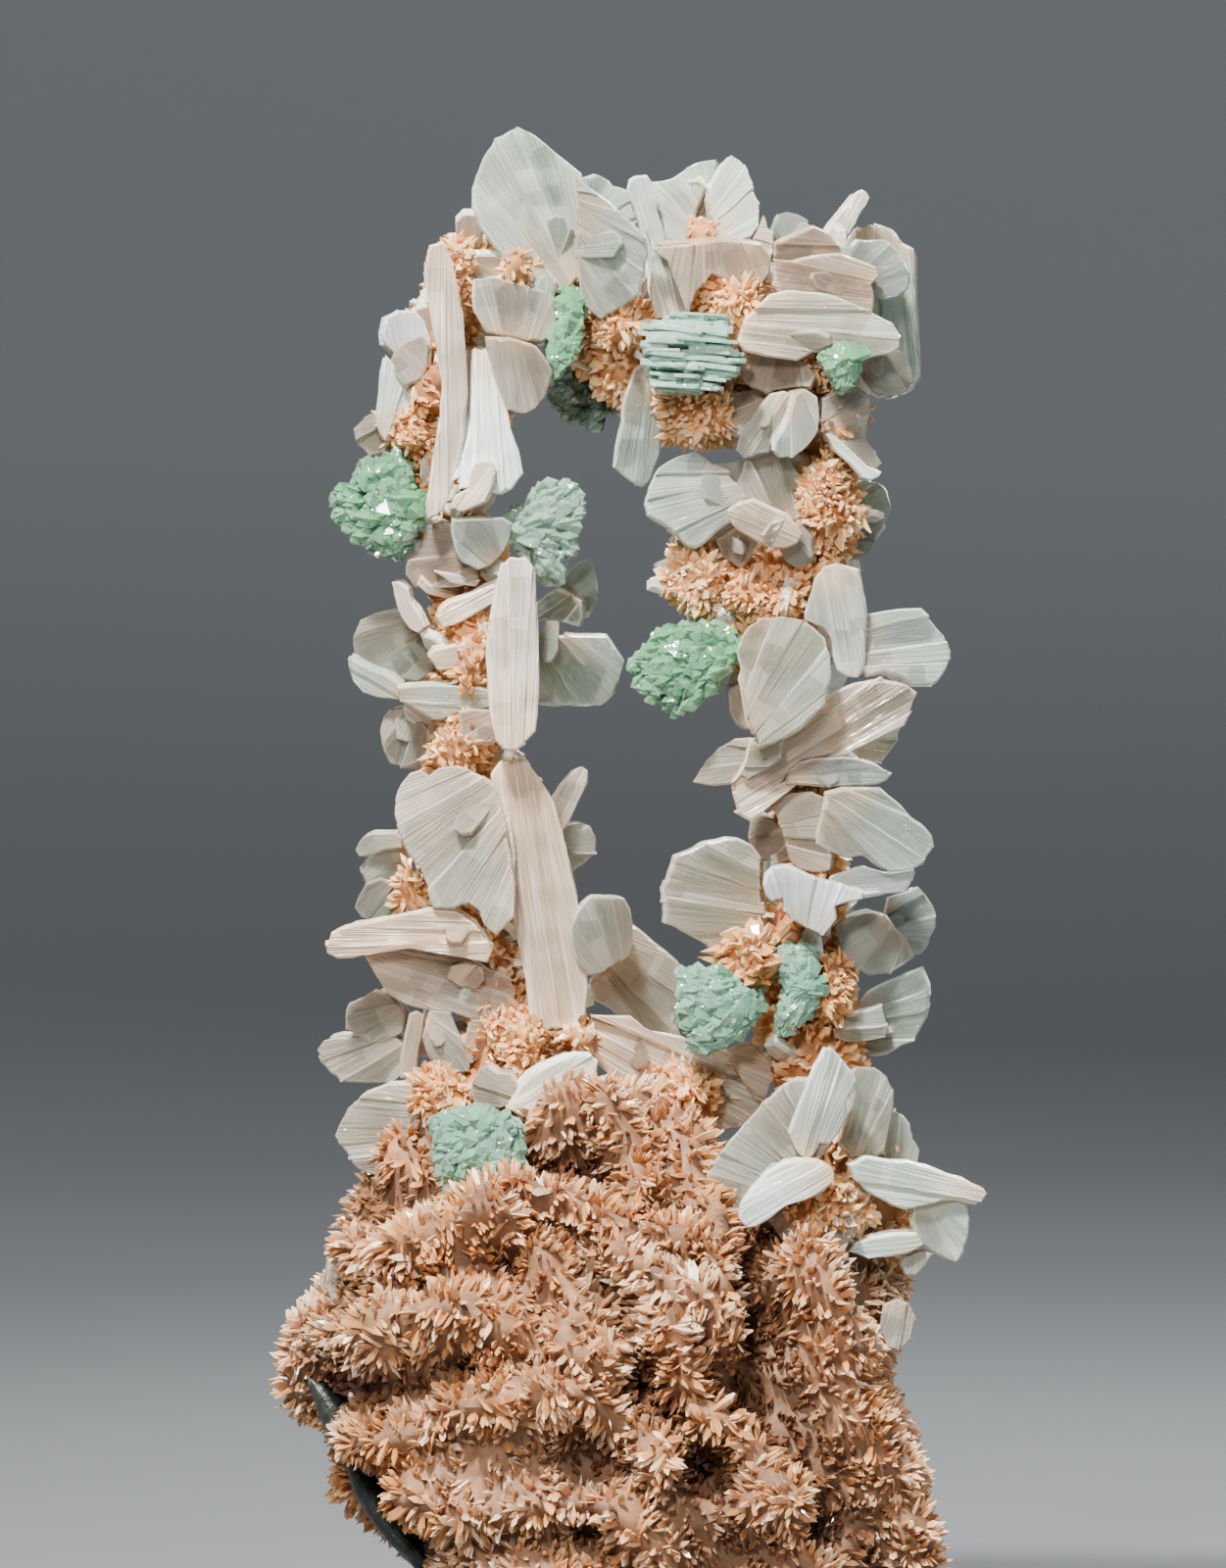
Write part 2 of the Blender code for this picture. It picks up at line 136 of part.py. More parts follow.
# Crystals on the sides and back: piece, root (u, v, depth), tip (u, v, depth),
# half width at the root and near the tip (mm), thickness (mm), roll (degrees).
SPRAY = [
    ("stilbite_back_left", (455, 700, 3.0), (415, 640, 13.0), 2.4, 3.6, 2.6, 20),
    ("stilbite_back_left", (458, 690, 3.0), (480, 610, 14.5), 2.2, 3.6, 2.4, 60),
    ("stilbite_back_left", (458, 705, 3.0), (500, 700, 14.0), 2.4, 3.4, 2.8, -20),
    ("stilbite_back_left", (458, 710, 3.0), (440, 780, 13.0), 2.2, 3.2, 2.4, 80),
    ("stilbite_back_left_low", (515, 985, 4.0), (470, 930, 15.0), 2.6, 4.0, 2.8, 10),
    ("stilbite_back_left_low", (515, 990, 4.0), (540, 920, 16.0), 2.4, 3.8, 2.6, 70),
    ("stilbite_back_left_low", (515, 1000, 4.0), (560, 1030, 14.0), 2.4, 3.4, 2.6, -30),
    ("stilbite_back_top", (600, 330, 4.0), (570, 250, 11.0), 2.6, 4.2, 2.8, 20),
    ("stilbite_back_top", (620, 330, 4.0), (650, 250, 12.0), 2.6, 4.0, 2.8, -20),
    ("stilbite_back_top", (615, 335, 4.0), (612, 330, 15.5), 2.6, 3.8, 2.8, 75),
    ("stilbite_back_right_top", (800, 330, 4.0), (770, 260, 11.0), 2.6, 4.0, 2.8, 25),
    ("stilbite_back_right_top", (810, 335, 4.0), (850, 300, 13.0), 2.4, 3.8, 2.8, -35),
    ("stilbite_back_right_top", (800, 340, 4.0), (800, 385, 14.0), 2.6, 3.8, 2.6, 80),
    ("stilbite_back_right", (812, 700, 3.5), (790, 640, 13.5), 2.6, 4.2, 2.8, 15),
    ("stilbite_back_right", (815, 705, 3.5), (860, 680, 13.0), 2.4, 3.8, 2.6, -60),
    ("stilbite_back_right", (812, 715, 3.5), (830, 780, 14.0), 2.4, 3.6, 2.8, 60),
    ("stilbite_back_right_low", (815, 960, 4.0), (780, 910, 14.0), 2.6, 3.8, 2.8, 30),
    ("stilbite_back_right_low", (820, 965, 4.0), (860, 930, 14.5), 2.4, 3.8, 2.6, -40),
    ("stilbite_back_right_low", (820, 980, 4.0), (815, 1040, 14.0), 2.4, 3.6, 2.6, 80),
    ("stilbite_back_foot_left", (480, 1190, 12.0), (440, 1120, 22.0), 3.0, 4.6, 3.2, 20),
    ("stilbite_back_foot_left", (485, 1195, 12.0), (520, 1130, 24.0), 2.8, 4.4, 3.0, -25),
    ("stilbite_back_foot_left", (480, 1205, 12.0), (470, 1220, 27.0), 2.8, 4.2, 3.0, 75),
    ("stilbite_back_foot_right", (740, 1240, 14.0), (700, 1180, 24.0), 3.0, 4.6, 3.2, 30),
    ("stilbite_back_foot_right", (745, 1240, 14.0), (800, 1190, 25.0), 2.8, 4.4, 3.0, -30),
    ("stilbite_back_foot_right", (742, 1250, 14.0), (745, 1290, 28.0), 2.8, 4.2, 3.0, 80),
]

# Hidden common roots where the crystals of a piece meet: u, v, depth, radius.
ROOTS = [
    ("stilbite_top_left_fan", 560, 262, -4.6, 3.4),
    ("stilbite_top_left_fan", 590, 232, -5.6, 3.0),
    ("stilbite_left_tablets", 522, 338, -6.6, 2.6),
    ("stilbite_left_shoulder", 412, 362, -4.6, 2.4),
    ("stilbite_left_shoulder", 396, 432, -3.4, 2.0),
    ("stilbite_crest", 684, 250, -4.4, 3.0),
    ("stilbite_crest", 722, 232, -4.4, 2.6),
    ("stilbite_crest_right", 806, 254, -3.6, 2.4),
    ("stilbite_crest_right", 842, 252, -3.2, 2.2),
    ("stilbite_right_shoulder", 862, 292, -4.6, 3.0),
    ("stilbite_right_shoulder", 870, 345, -6.4, 2.8),
    ("stilbite_right_shoulder", 800, 350, -7.0, 2.8),
    ("stilbite_right_shoulder", 892, 364, -4.8, 2.2),
    ("stilbite_hanging_finger", 806, 408, -6.4, 2.4),
    ("stilbite_hanging_finger", 776, 410, -5.0, 2.2),
    ("stilbite_right_arm", 856, 440, -5.6, 2.4),
    ("stilbite_window_fan", 752, 500, -5.2, 2.6),
    ("stilbite_window_fan", 748, 534, -6.6, 2.8),
    ("stilbite_window_fan", 806, 536, -6.6, 2.2),
    ("stilbite_tablet_sheaf", 790, 748, -7.0, 3.0),
    ("stilbite_tablet_sheaf", 766, 736, -5.2, 2.4),
    ("stilbite_tablet_sheaf", 758, 776, -5.0, 2.4),
    ("stilbite_white_polygon", 842, 812, -7.2, 2.8),
    ("stilbite_white_polygon", 838, 796, -7.0, 2.4),
    ("stilbite_white_polygon", 800, 850, -4.2, 2.4),
    ("stilbite_low_clear", 908, 944, -1.0, 2.2),
    ("stilbite_low_clear", 896, 996, -2.0, 2.4),
    ("stilbite_low_clear", 880, 1042, -2.6, 2.0),
    ("stilbite_left_block", 500, 566, -8.4, 3.0),
    ("stilbite_left_block", 472, 566, -6.2, 2.4),
    ("stilbite_left_block", 506, 732, -9.2, 2.4),
    ("stilbite_clear_bar", 552, 640, -4.0, 2.4),
    ("stilbite_clear_bar", 578, 614, -1.2, 2.2),
    ("stilbite_left_stack", 440, 640, -3.6, 3.0),
    ("stilbite_left_stack", 452, 664, -4.4, 3.0),
    ("stilbite_left_stack", 430, 700, -3.6, 3.0),
    ("stilbite_left_stack", 424, 726, -2.6, 2.4),
    ("stilbite_big_sheaf", 512, 812, -7.4, 3.0),
    ("stilbite_big_sheaf", 560, 846, -4.0, 2.6),
    ("stilbite_big_sheaf", 572, 862, -2.0, 2.2),
    ("stilbite_left_small", 404, 874, -2.0, 2.4),
    ("stilbite_left_small", 400, 904, -1.6, 2.2),
    ("stilbite_low_left_fan", 410, 1026, -2.6, 2.6),
    ("stilbite_low_left_fan", 412, 1056, -2.4, 2.4),
    ("stilbite_low_left_fan", 434, 1044, -4.0, 2.4),
    ("stilbite_rear_plates", 622, 976, -2.4, 3.4),
    ("stilbite_rear_plates", 640, 1044, -0.4, 3.2),
    ("apophyllite_foot", 492, 1170, -15.6, 3.4),
    ("apophyllite_low_middle", 778, 1024, -6.6, 3.0),
    ("apophyllite_window", 752, 650, -5.4, 2.8),
    ("apophyllite_pearly", 730, 362, -7.0, 3.0),
    ("stilbite_foot_pair", 524, 1116, -11.2, 2.2),
    ("stilbite_foot_right_sheaf", 832, 1140, -14.8, 2.6),
    ("stilbite_foot_right_sheaf", 826, 1194, -15.4, 2.6),
    ("stilbite_foot_right_spray", 880, 1176, -10.8, 2.6),
    ("stilbite_foot_right_spray", 872, 1164, -7.8, 3.0),
    ("stilbite_foot_right_spray", 914, 1182, -9.8, 2.4),
    ("stilbite_foot_right_spray", 942, 1228, -10.2, 2.6),
    ("stilbite_back_left", 458, 700, 4.6, 2.6),
    ("stilbite_back_left_low", 515, 990, 5.6, 2.8),
    ("stilbite_back_top", 612, 332, 6.0, 3.0),
    ("stilbite_back_right_top", 803, 335, 5.6, 2.8),
    ("stilbite_back_right", 813, 706, 5.0, 2.8),
    ("stilbite_back_right_low", 818, 968, 5.4, 2.8),
    ("stilbite_back_foot_left", 482, 1196, 16.0, 3.4),
    ("stilbite_back_foot_right", 742, 1243, 18.0, 3.4),
]

# Fluorapophyllite: piece, outline, root (u, v), depth, thickness, crystals.
APOPHYLLITE = [
    ("apophyllite_upper_left", [(392, 455), (404, 452), (414, 466), (420, 480), (427, 500), (432, 520), (437, 535), (428, 550), (418, 562), (408, 574), (385, 576), (372, 566), (358, 558), (352, 545), (342, 540), (338, 530), (334, 518), (333, 508), (340, 498), (354, 495), (360, 478), (365, 468), (385, 462)], (420, 516), -4.6, 8.4, 7),
    ("apophyllite_pearly", [(655, 335), (663, 328), (681, 321), (700, 321), (730, 322), (745, 328), (750, 336), (748, 350), (757, 368), (760, 372), (752, 385), (735, 395), (712, 401), (700, 405), (690, 400), (676, 398), (664, 388), (656, 370), (657, 350)], (738, 358), -10.4, 6.0, 7),
    ("apophyllite_window", [(658, 647), (672, 640), (690, 636), (715, 634), (735, 637), (748, 648), (757, 668), (752, 680), (740, 690), (728, 703), (720, 712), (706, 722), (698, 724), (690, 732), (678, 733), (674, 722), (660, 720), (652, 712), (640, 700), (641, 690), (636, 680), (644, 672), (657, 663)], (744, 662), -6.4, 6.2, 7),
    ("apophyllite_low_middle", [(685, 990), (692, 984), (710, 984), (730, 988), (745, 990), (757, 1003), (768, 1016), (774, 1030), (771, 1045), (762, 1058), (750, 1062), (735, 1072), (720, 1077), (706, 1077), (696, 1072), (697, 1058), (690, 1050), (684, 1040), (681, 1025), (684, 1015), (690, 1005)], (762, 1022), -9.4, 6.2, 7),
    ("apophyllite_foot", [(433, 1144), (442, 1137), (460, 1132), (485, 1127), (500, 1133), (518, 1138), (537, 1143), (540, 1158), (537, 1175), (538, 1195), (534, 1215), (524, 1230), (508, 1238), (490, 1241), (472, 1237), (455, 1229), (443, 1215), (439, 1195), (435, 1175), (440, 1160)], (500, 1146), -14.6, 6.4, 7),
    ("apophyllite_shaded", [(576, 380), (592, 366), (615, 352), (640, 350), (660, 356), (662, 372), (650, 384), (641, 397), (634, 410), (626, 425), (612, 440), (603, 445), (594, 437), (585, 430), (575, 433), (565, 420), (557, 410), (556, 399), (566, 388)], (628, 366), 6.4, 8.0, 7),
    ("apophyllite_shoulder", [(830, 366), (836, 357), (845, 352), (855, 354), (866, 357), (872, 367), (880, 378), (876, 388), (868, 395), (862, 405), (852, 405), (847, 392), (842, 380), (833, 374)], (862, 366), -9.8, 4.2, 6),
    ("apophyllite_slim", [(561, 302), (572, 302), (588, 297), (592, 315), (595, 335), (593, 345), (591, 360), (585, 372), (577, 376), (573, 386), (561, 393), (556, 396), (562, 377), (563, 350), (568, 335), (565, 315)], (580, 312), -7.4, 4.6, 6),
    ("apophyllite_pale_fans", [(516, 522), (528, 516), (536, 518), (545, 500), (555, 489), (568, 489), (580, 485), (590, 492), (598, 502), (601, 520), (598, 540), (591, 554), (592, 570), (585, 581), (578, 598), (568, 600), (556, 598), (545, 586), (540, 572), (528, 562), (517, 550)], (528, 540), -5.2, 5.8, 7),
    ("apophyllite_sparkling", [(793, 962), (810, 957), (830, 962), (832, 985), (829, 1005), (828, 1030), (820, 1045), (806, 1056), (795, 1060), (790, 1050), (794, 1030), (800, 1015), (794, 1000), (796, 980)], (820, 1006), -8.2, 5.4, 6),
]

# Matrix: path points (u, v, depth, radius in mm).
LEFT_PILLAR = [(516, 1150, 0.0, 6.2), (515, 1100, 0.0, 5.2), (520, 1060, -0.5, 4.6), (512, 1000, 0.0, 4.0), (482, 940, 0.0, 3.9), (462, 890, 0.0, 3.8), (466, 830, 0.0, 3.6), (474, 770, -0.5, 3.8), (470, 710, 0.0, 3.4), (474, 650, 0.0, 3.4), (488, 590, 0.0, 3.4), (462, 530, 0.0, 3.2), (434, 470, -0.5, 3.6), (428, 430, -0.5, 3.6), (442, 370, 0.0, 3.5), (462, 310, 0.0, 3.6), (476, 266, 0.0, 3.2), (496, 248, 0.6, 2.2)]
RIGHT_PILLAR = [(868, 1330, 0.0, 7.2), (872, 1260, -1.0, 6.0), (858, 1180, -1.0, 5.0), (836, 1110, -1.0, 4.6), (822, 1050, -1.0, 4.8), (820, 990, -1.0, 4.6), (822, 930, -1.0, 3.8), (830, 870, -1.0, 3.5), (824, 800, 0.0, 3.4), (806, 740, 0.0, 3.6), (788, 680, -0.5, 4.2), (784, 620, -1.0, 4.4), (812, 578, -0.5, 3.9), (848, 540, 0.0, 3.4), (846, 490, 0.0, 3.4), (834, 440, 0.0, 3.6), (826, 390, 0.0, 3.6), (824, 340, 0.0, 3.8), (836, 296, 0.4, 3.2), (856, 276, 0.8, 2.4)]
BRIDGE = [(470, 292, 0.2, 3.4), (520, 282, 0.0, 3.6), (562, 296, 0.0, 3.8), (604, 330, 0.4, 4.4), (650, 372, 0.4, 4.4), (700, 408, 0.0, 4.8), (748, 398, 0.0, 4.2), (790, 368, 0.0, 3.8), (830, 350, 0.0, 3.4)]
BRIDGE_TOP = [(700, 400, 0.0, 3.6), (706, 350, 0.0, 3.4), (720, 300, 0.0, 3.6), (730, 262, 0.2, 3.2), (744, 236, 0.4, 2.2)]
WINDOW_STUB = [(800, 604, -0.5, 3.6), (760, 608, -0.8, 3.8), (724, 596, -0.8, 3.6), (700, 590, -0.8, 2.8), (686, 592, -0.8, 1.8)]

# Foot: height line v, left u, right u, front depth, back depth (mm).
FOOT = [
    (1104, 470, 600, -5.0, 5.0),
    (1124, 434, 672, -10.5, 9.5),
    (1160, 396, 716, -14.5, 13.5),
    (1205, 366, 756, -17.6, 16.6),
    (1252, 352, 860, -20.0, 18.6),
    (1290, 344, 914, -22.0, 20.4),
    (1335, 330, 898, -24.0, 22.0),
    (1380, 306, 886, -25.4, 23.4),
    (1408, 300, 892, -26.2, 24.4),
    (1450, 338, 910, -26.6, 25.0),
    (1505, 362, 926, -27.0, 25.4),
    (1560, 406, 950, -26.6, 25.0),
    (1612, 446, 936, -25.4, 24.0),
    (1660, 458, 926, -24.4, 23.0),
    (1722, 466, 918, -23.8, 22.2),
]


# ---- geometry helpers -------------------------------------------------------
def weld(obj, dist=1.0e-6):
    bm = bmesh.new()
    bm.from_mesh(obj.data)
    bmesh.ops.remove_doubles(bm, verts=bm.verts, dist=dist)
    bmesh.ops.recalc_face_normals(bm, faces=bm.faces)
    if bm.calc_volume(signed=True) < 0:
        bmesh.ops.reverse_faces(bm, faces=bm.faces)
    bm.to_mesh(obj.data)
    bm.free()


def link(name, mesh, matrix=None):
    obj = bpy.data.objects.new(name, mesh)
    bpy.context.scene.collection.objects.link(obj)
    if matrix is not None:
        mesh.transform(matrix)
    return obj


def from_bmesh(name, bm, matrix=None):
    mesh = bpy.data.meshes.new(name)
    bm.to_mesh(mesh)
    bm.free()
    return link(name, mesh, matrix)


def from_curve(name, curve, matrix):
    """A curve made into a welded mesh that stands where the curve stood."""
    holder = bpy.data.objects.new(name, curve)
    bpy.context.scene.collection.objects.link(holder)
    graph = bpy.context.evaluated_depsgraph_get()
    mesh = bpy.data.meshes.new_from_object(holder.evaluated_get(graph))
    bpy.data.objects.remove(holder)
    bpy.data.curves.remove(curve)
    obj = link(name, mesh, matrix)
    weld(obj)
    return obj


def frame(x_axis, y_axis, z_axis, at):
    m = Matrix((x_axis, y_axis, z_axis)).transposed().to_4x4()
    m.translation = at
    return m


def plain_outline(points, tol):
    """Leave out corners that stand less than tol off the line between their
    neighbours, smallest first."""
    pts = [tuple(q) for q in points]
    while len(pts) > 5:
        best, at = tol, -1
        for i in range(len(pts)):
            p0, p1, p2 = Vector(pts[i - 1]), Vector(pts[i]), Vector(pts[(i + 1) % len(pts)])
            e = p2 - p0
            off = abs(e.x * (p1.y - p0.y) - e.y * (p1.x - p0.x)) / max(e.length, 1e-6)
            if off < best:
                best, at = off, i
        if at < 0:
            break
        pts.pop(at)
    return pts


def grow_outline(points, grow):
    """Move a closed outline outward by grow (drawing units)."""
    if grow == 0.0:
        return [tuple(q) for q in points]
    n = len(points)
    area = sum(points[i][0] * points[(i + 1) % n][1] - points[(i + 1) % n][0] * points[i][1] for i in range(n))
    sign = 1.0 if area > 0 else -1.0
    out = []
    for i in range(n):
        p0, p1, p2 = points[i - 1], points[i], points[(i + 1) % n]
        a = Vector((p1[0] - p0[0], p1[1] - p0[1])).normalized()
        b = Vector((p2[0] - p1[0], p2[1] - p1[1])).normalized()
        na = Vector((a.y, -a.x)) * sign
        nb = Vector((b.y, -b.x)) * sign
        m = na + nb
        m = m.normalized() if m.length > 1e-6 else na
        k = min(1.0 / max(m.dot(na), 0.35), 1.9)
        out.append((p1[0] + m.x * grow * k, p1[1] + m.y * grow * k))
    return out


def plate(name, outline, depth, thick, su, sv, grow=0.0, tol=None):
    """A flat crystal: a flat outline extruded to its thickness, leaning by
    its two slopes, with its front face drawn in a little."""
    outline = plain_outline(outline, PLAIN if tol is None else tol)
    n = len(outline)
    uc = sum(q[0] for q in outline) / n
    vc = sum(q[1] for q in outline) / n
    outline = grow_outline(outline, grow / 0.11)
    at = place(uc, vc, depth)
    du = place(uc + 1, vc, depth + su * 0.11) - at
    dv = place(uc, vc + 1, depth + sv * 0.11) - at
    normal = dv.cross(du).normalized()
    if normal.y > 0:
        normal = -normal
    x_axis = du.normalized()
    y_axis = normal.cross(x_axis)
    curve = bpy.data.curves.new(name, "CURVE")
    curve.dimensions = "2D"
    curve.fill_mode = "BOTH"
    half = (thick / 2 + grow) * MM
    curve.extrude = half
    spline = curve.splines.new("POLY")
    spline.points.add(n - 1)
    for point, (u, v) in zip(spline.points, outline):
        ray = place(u, v, 0.0) - EYE
        q = EYE + ray * ((at - EYE).dot(normal) / ray.dot(normal)) - at
        point.co = (q.dot(x_axis), q.dot(y_axis), 0.0, 1.0)
    spline.use_cyclic_u = True
    obj = from_curve(name, curve, None)
    for vert in obj.data.vertices:
        if vert.co.z > 0:
            vert.co.x *= 0.94
            vert.co.y *= 0.94
    obj.data.transform(frame(x_axis, y_axis, normal, at))
    return obj


def knot(name, u, v, depth, radius, grow=0.0):
    """A blunt block where crystals meet."""
    bm = bmesh.new()
    bmesh.ops.create_cube(bm, size=(radius * 1.5 + 2 * grow) * MM)
    turn = Matrix.Rotation(0.4 + 0.013 * u, 4, "Y") @ Matrix.Rotation(0.3 + 0.017 * v, 4, "X")
    return from_bmesh(name, bm, Matrix.Translation(place(u, v, depth)) @ turn)


def crystal(name, base, tip, sides, stations, flat, roll, grow=0.0):
    """A straight crystal from base to tip: a many-sided prism with a loop of
    edges at each station (share of the length, half width in mm)."""
    axis = (tip - base).normalized()
    base = base - axis * grow * MM
    tip = tip + axis * grow * 1.3 * MM
    length = (tip - base).length
    bm = bmesh.new()
    bmesh.ops.create_cone(bm, cap_ends=True, cap_tris=False, segments=sides, radius1=1.0, radius2=1.0, depth=1.0)
    for t, w in stations[1:-1]:
        bmesh.ops.bisect_plane(bm, geom=bm.verts[:] + bm.edges[:] + bm.faces[:], plane_co=(0, 0, t - 0.5), plane_no=(0, 0, 1))
    for vert in bm.verts:
        t = vert.co.z + 0.5
        w = min(stations, key=lambda row: abs(row[0] - t))[1]
        vert.co = Vector((vert.co.x * (w + grow) * MM, vert.co.y * (w * flat + grow) * MM, t * length))
    side = axis.cross(Vector((0.11, 0.23, 1.0))).normalized()
    up = axis.cross(side).normalized()
    turn = Matrix.Rotation(math.radians(roll), 3, axis)
    return from_bmesh(name, bm, frame(turn @ side, turn @ up, axis, base))


def spray_crystal(name, root, tip, w_root, w_tip, thick, roll, grow=0.0):
    stations = ((0.0, w_root), (0.78, w_tip), (1.0, w_tip * 0.34))
    return crystal(name, place(*root), place(*tip), 5, stations, thick / (2.0 * w_tip), roll, grow)


def reach(outline, root, angle):
    """Distance from root to the outline along a direction."""
    d = Vector((math.cos(angle), math.sin(angle)))
    best = 0.0
    n = len(outline)
    for i in range(n):
        p0, q0 = Vector(outline[i]), Vector(outline[(i + 1) % n])
        e = q0 - p0
        den = d.x * e.y - d.y * e.x
        if abs(den) < 1e-9:
            continue
        w = p0 - Vector(root)
        t = (w.x * e.y - w.y * e.x) / den
        k = (w.x * d.y - w.y * d.x) / den
        if t > 0 and -1e-6 <= k <= 1 + 1e-6:
            best = max(best, t)
    return best


def apophyllite_crystals(name, outline, root, depth, thick, count, grow=0.0):
    """A fan: a leaf-like slab with pyramid-ended crystals that stand in front
    of it and behind it, all from one root."""
    parts = [plate(name + "_leaf", outline, depth, thick * 0.5, 0.04, 0.03, grow, 3.6)]
    n = len(outline)
    uc = sum(q[0] for q in outline) / n
    vc = sum(q[1] for q in outline) / n
    main = math.atan2(vc - root[1], uc - root[0])
    for i in range(count):
        ang = main + (i - (count - 1) / 2) * 0.50
        r = reach(outline, root, ang) * 0.90
        if r < 12:
            continue
        lift = -1 if i % 2 == 0 else 1
        half = min(0.9 + 0.012 * r, 2.1)
        start = place(root[0], root[1], depth + 0.3 * lift)
        end = place(root[0] + math.cos(ang) * r, root[1] + math.sin(ang) * r, depth + lift * thick * 0.34)
        parts.append(crystal(name + "_ray", start, end, 4, ((0.0, half * 0.6), (0.74, half), (1.0, half * 0.2)), 1.0, 20 + 31 * i, grow))
    return parts


def tube(name, path, phase, grow=0.0):
    """A leg of matrix: a bevelled path whose width swells and narrows."""
    pts = []
    for a, b in zip(path, path[1:]):
        pts.append(tuple(a))
        if math.dist(a[:2], b[:2]) > 66:
            pts.append(tuple((a[k] + b[k]) / 2 for k in range(4)))
    pts.append(tuple(path[-1]))
    curve = bpy.data.curves.new(name, "CURVE")
    curve.dimensions = "3D"
    curve.fill_mode = "FULL"
    curve.bevel_depth = MM
    curve.bevel_resolution = 1
    curve.use_fill_caps = True
    spline = curve.splines.new("POLY")
    spline.points.add(len(pts) - 1)
    for i, (point, (u, v, y, r)) in enumerate(zip(spline.points, pts)):
        point.co = (*place(u, v, y), 1.0)
        point.radius = r * (1.0 + 0.10 * math.sin(i * 1.9 + phase)) + grow
    return from_curve(name, curve, None)


def foot(name, grow=0.0):
    """The matrix foot: a ball whose rings are fitted to the height lines, with
    lumps that follow a rule, then cut flat underneath."""
    rings = len(FOOT) + 1
    bm = bmesh.new()
    bmesh.ops.create_uvsphere(bm, u_segments=FOOT_SIDES, v_segments=rings, radius=1.0)
    for vert in bm.verts:
        i = round(math.acos(max(-1.0, min(1.0, vert.co.z))) * rings / math.pi) - 1
        row = FOOT[min(max(i, 0), len(FOOT) - 1)]
        v, ul, ur, yf, yb = row
        uc, hu = (ul + ur) / 2, (ur - ul) / 2
        yc, hy = (yf + yb) / 2, (yb - yf) / 2
        if i < 0:
            vert.co = place(uc, v - 10, yc)
            continue
        if i >= len(FOOT):
            vert.co = place(uc, v + 20, yc)
            continue
        a = math.atan2(vert.co.y, vert.co.x)
        ca, sa = math.cos(a), math.sin(a)
        x = math.copysign(abs(ca) ** 0.82, ca)
        y = math.copysign(abs(sa) ** 0.82, sa)
        deep = 0.10 * abs(sa)
        lump = 1.0 + deep * math.sin(4 * a + v * 0.045) + 0.5 * deep * math.sin(7 * a - v * 0.06 + 1.0)
        lump *= 1.0 - 0.02 * (1 + math.sin(5 * a + v * 0.03))
        u = uc + hu * lump * x
        d = yc + hy * lump * y
        if 0 < i < len(FOOT) - 1:
            v += 6.0 * math.sin(3 * a + i) * (1 if i > 1 else 0.3)
        vert.co = place(u, v, d)
    bmesh.ops.triangulate(bm, faces=bm.faces)
    if grow:
        bm.normal_update()
        out = [vert.normal.copy() for vert in bm.verts]
        for vert, normal in zip(bm.verts, out):
            vert.co += normal * grow * 1.15 * MM
    cut = bmesh.ops.bisect_plane(bm, geom=bm.verts[:] + bm.edges[:] + bm.faces[:], plane_co=(0, 0, -grow * MM), plane_no=(0, 0, -1), clear_outer=True)
    edges = [g for g in cut["geom_cut"] if isinstance(g, bmesh.types.BMEdge)]
    bmesh.ops.contextual_create(bm, geom=edges)
    obj = from_bmesh(name, bm)
    weld(obj)
    return obj


def closed(mesh):
    bm = bmesh.new()
    bm.from_mesh(mesh)
    good = len(bm.faces) > 3 and all(len(e.link_faces) == 2 for e in bm.edges)
    bm.free()
    return good


def boolean(target, cutter, how):
    """Join or cut with the exact solver; where that leaves the surface open,
    with the other one."""
    for solver in ("EXACT", "MANIFOLD"):
        mod = target.modifiers.new(how, "BOOLEAN")
        mod.operation = how
        mod.solver = solver
        mod.object = cutter
        graph = bpy.context.evaluated_depsgraph_get()
        mesh = bpy.data.meshes.new_from_object(target.evaluated_get(graph))
        target.modifiers.clear()
        if closed(mesh):
            old = target.data
            target.data = mesh
            bpy.data.meshes.remove(old)
            return
        bpy.data.meshes.remove(mesh)
    print("not done:", target.name, how, cutter.name)


def drop(obj):
    mesh = obj.data
    bpy.data.objects.remove(obj)
    bpy.data.meshes.remove(mesh)


def box_of(obj):
    pts = [v.co for v in obj.data.vertices]
    return ([min(q[k] for q in pts) for k in range(3)], [max(q[k] for q in pts) for k in range(3)])


def meets(a, b):
    return all(a[0][k] <= b[1][k] and b[0][k] <= a[1][k] for k in range(3))


def main_body(bm, name):
    """Keep the one main body of a mesh."""
    seen, islands = set(), []
    for f in bm.faces:
        if f in seen:
            continue
        stack, island = [f], []
        seen.add(f)
        while stack:
            w = stack.pop()
            island.append(w)
            for e in w.edges:
                for o in e.link_faces:
                    if o not in seen:
                        seen.add(o)
                        stack.append(o)
        islands.append(island)

    def size(island):
        total = 0.0
        for f in island:
            a, b, c = (v.co for v in f.verts)
            total += a.dot(b.cross(c)) / 6.0
        return abs(total)

    islands.sort(key=size, reverse=True)
    for island in islands[1:]:
        if size(island) > 1e-12:
            mid = sum((f.calc_center_median() for f in island), Vector()) / len(island)
            print("left out of", name, round(size(island) * 1e9, 2), "mm3 at", [round(c * 1000, 1) for c in mid])
        bmesh.ops.delete(bm, geom=island, context="FACES")


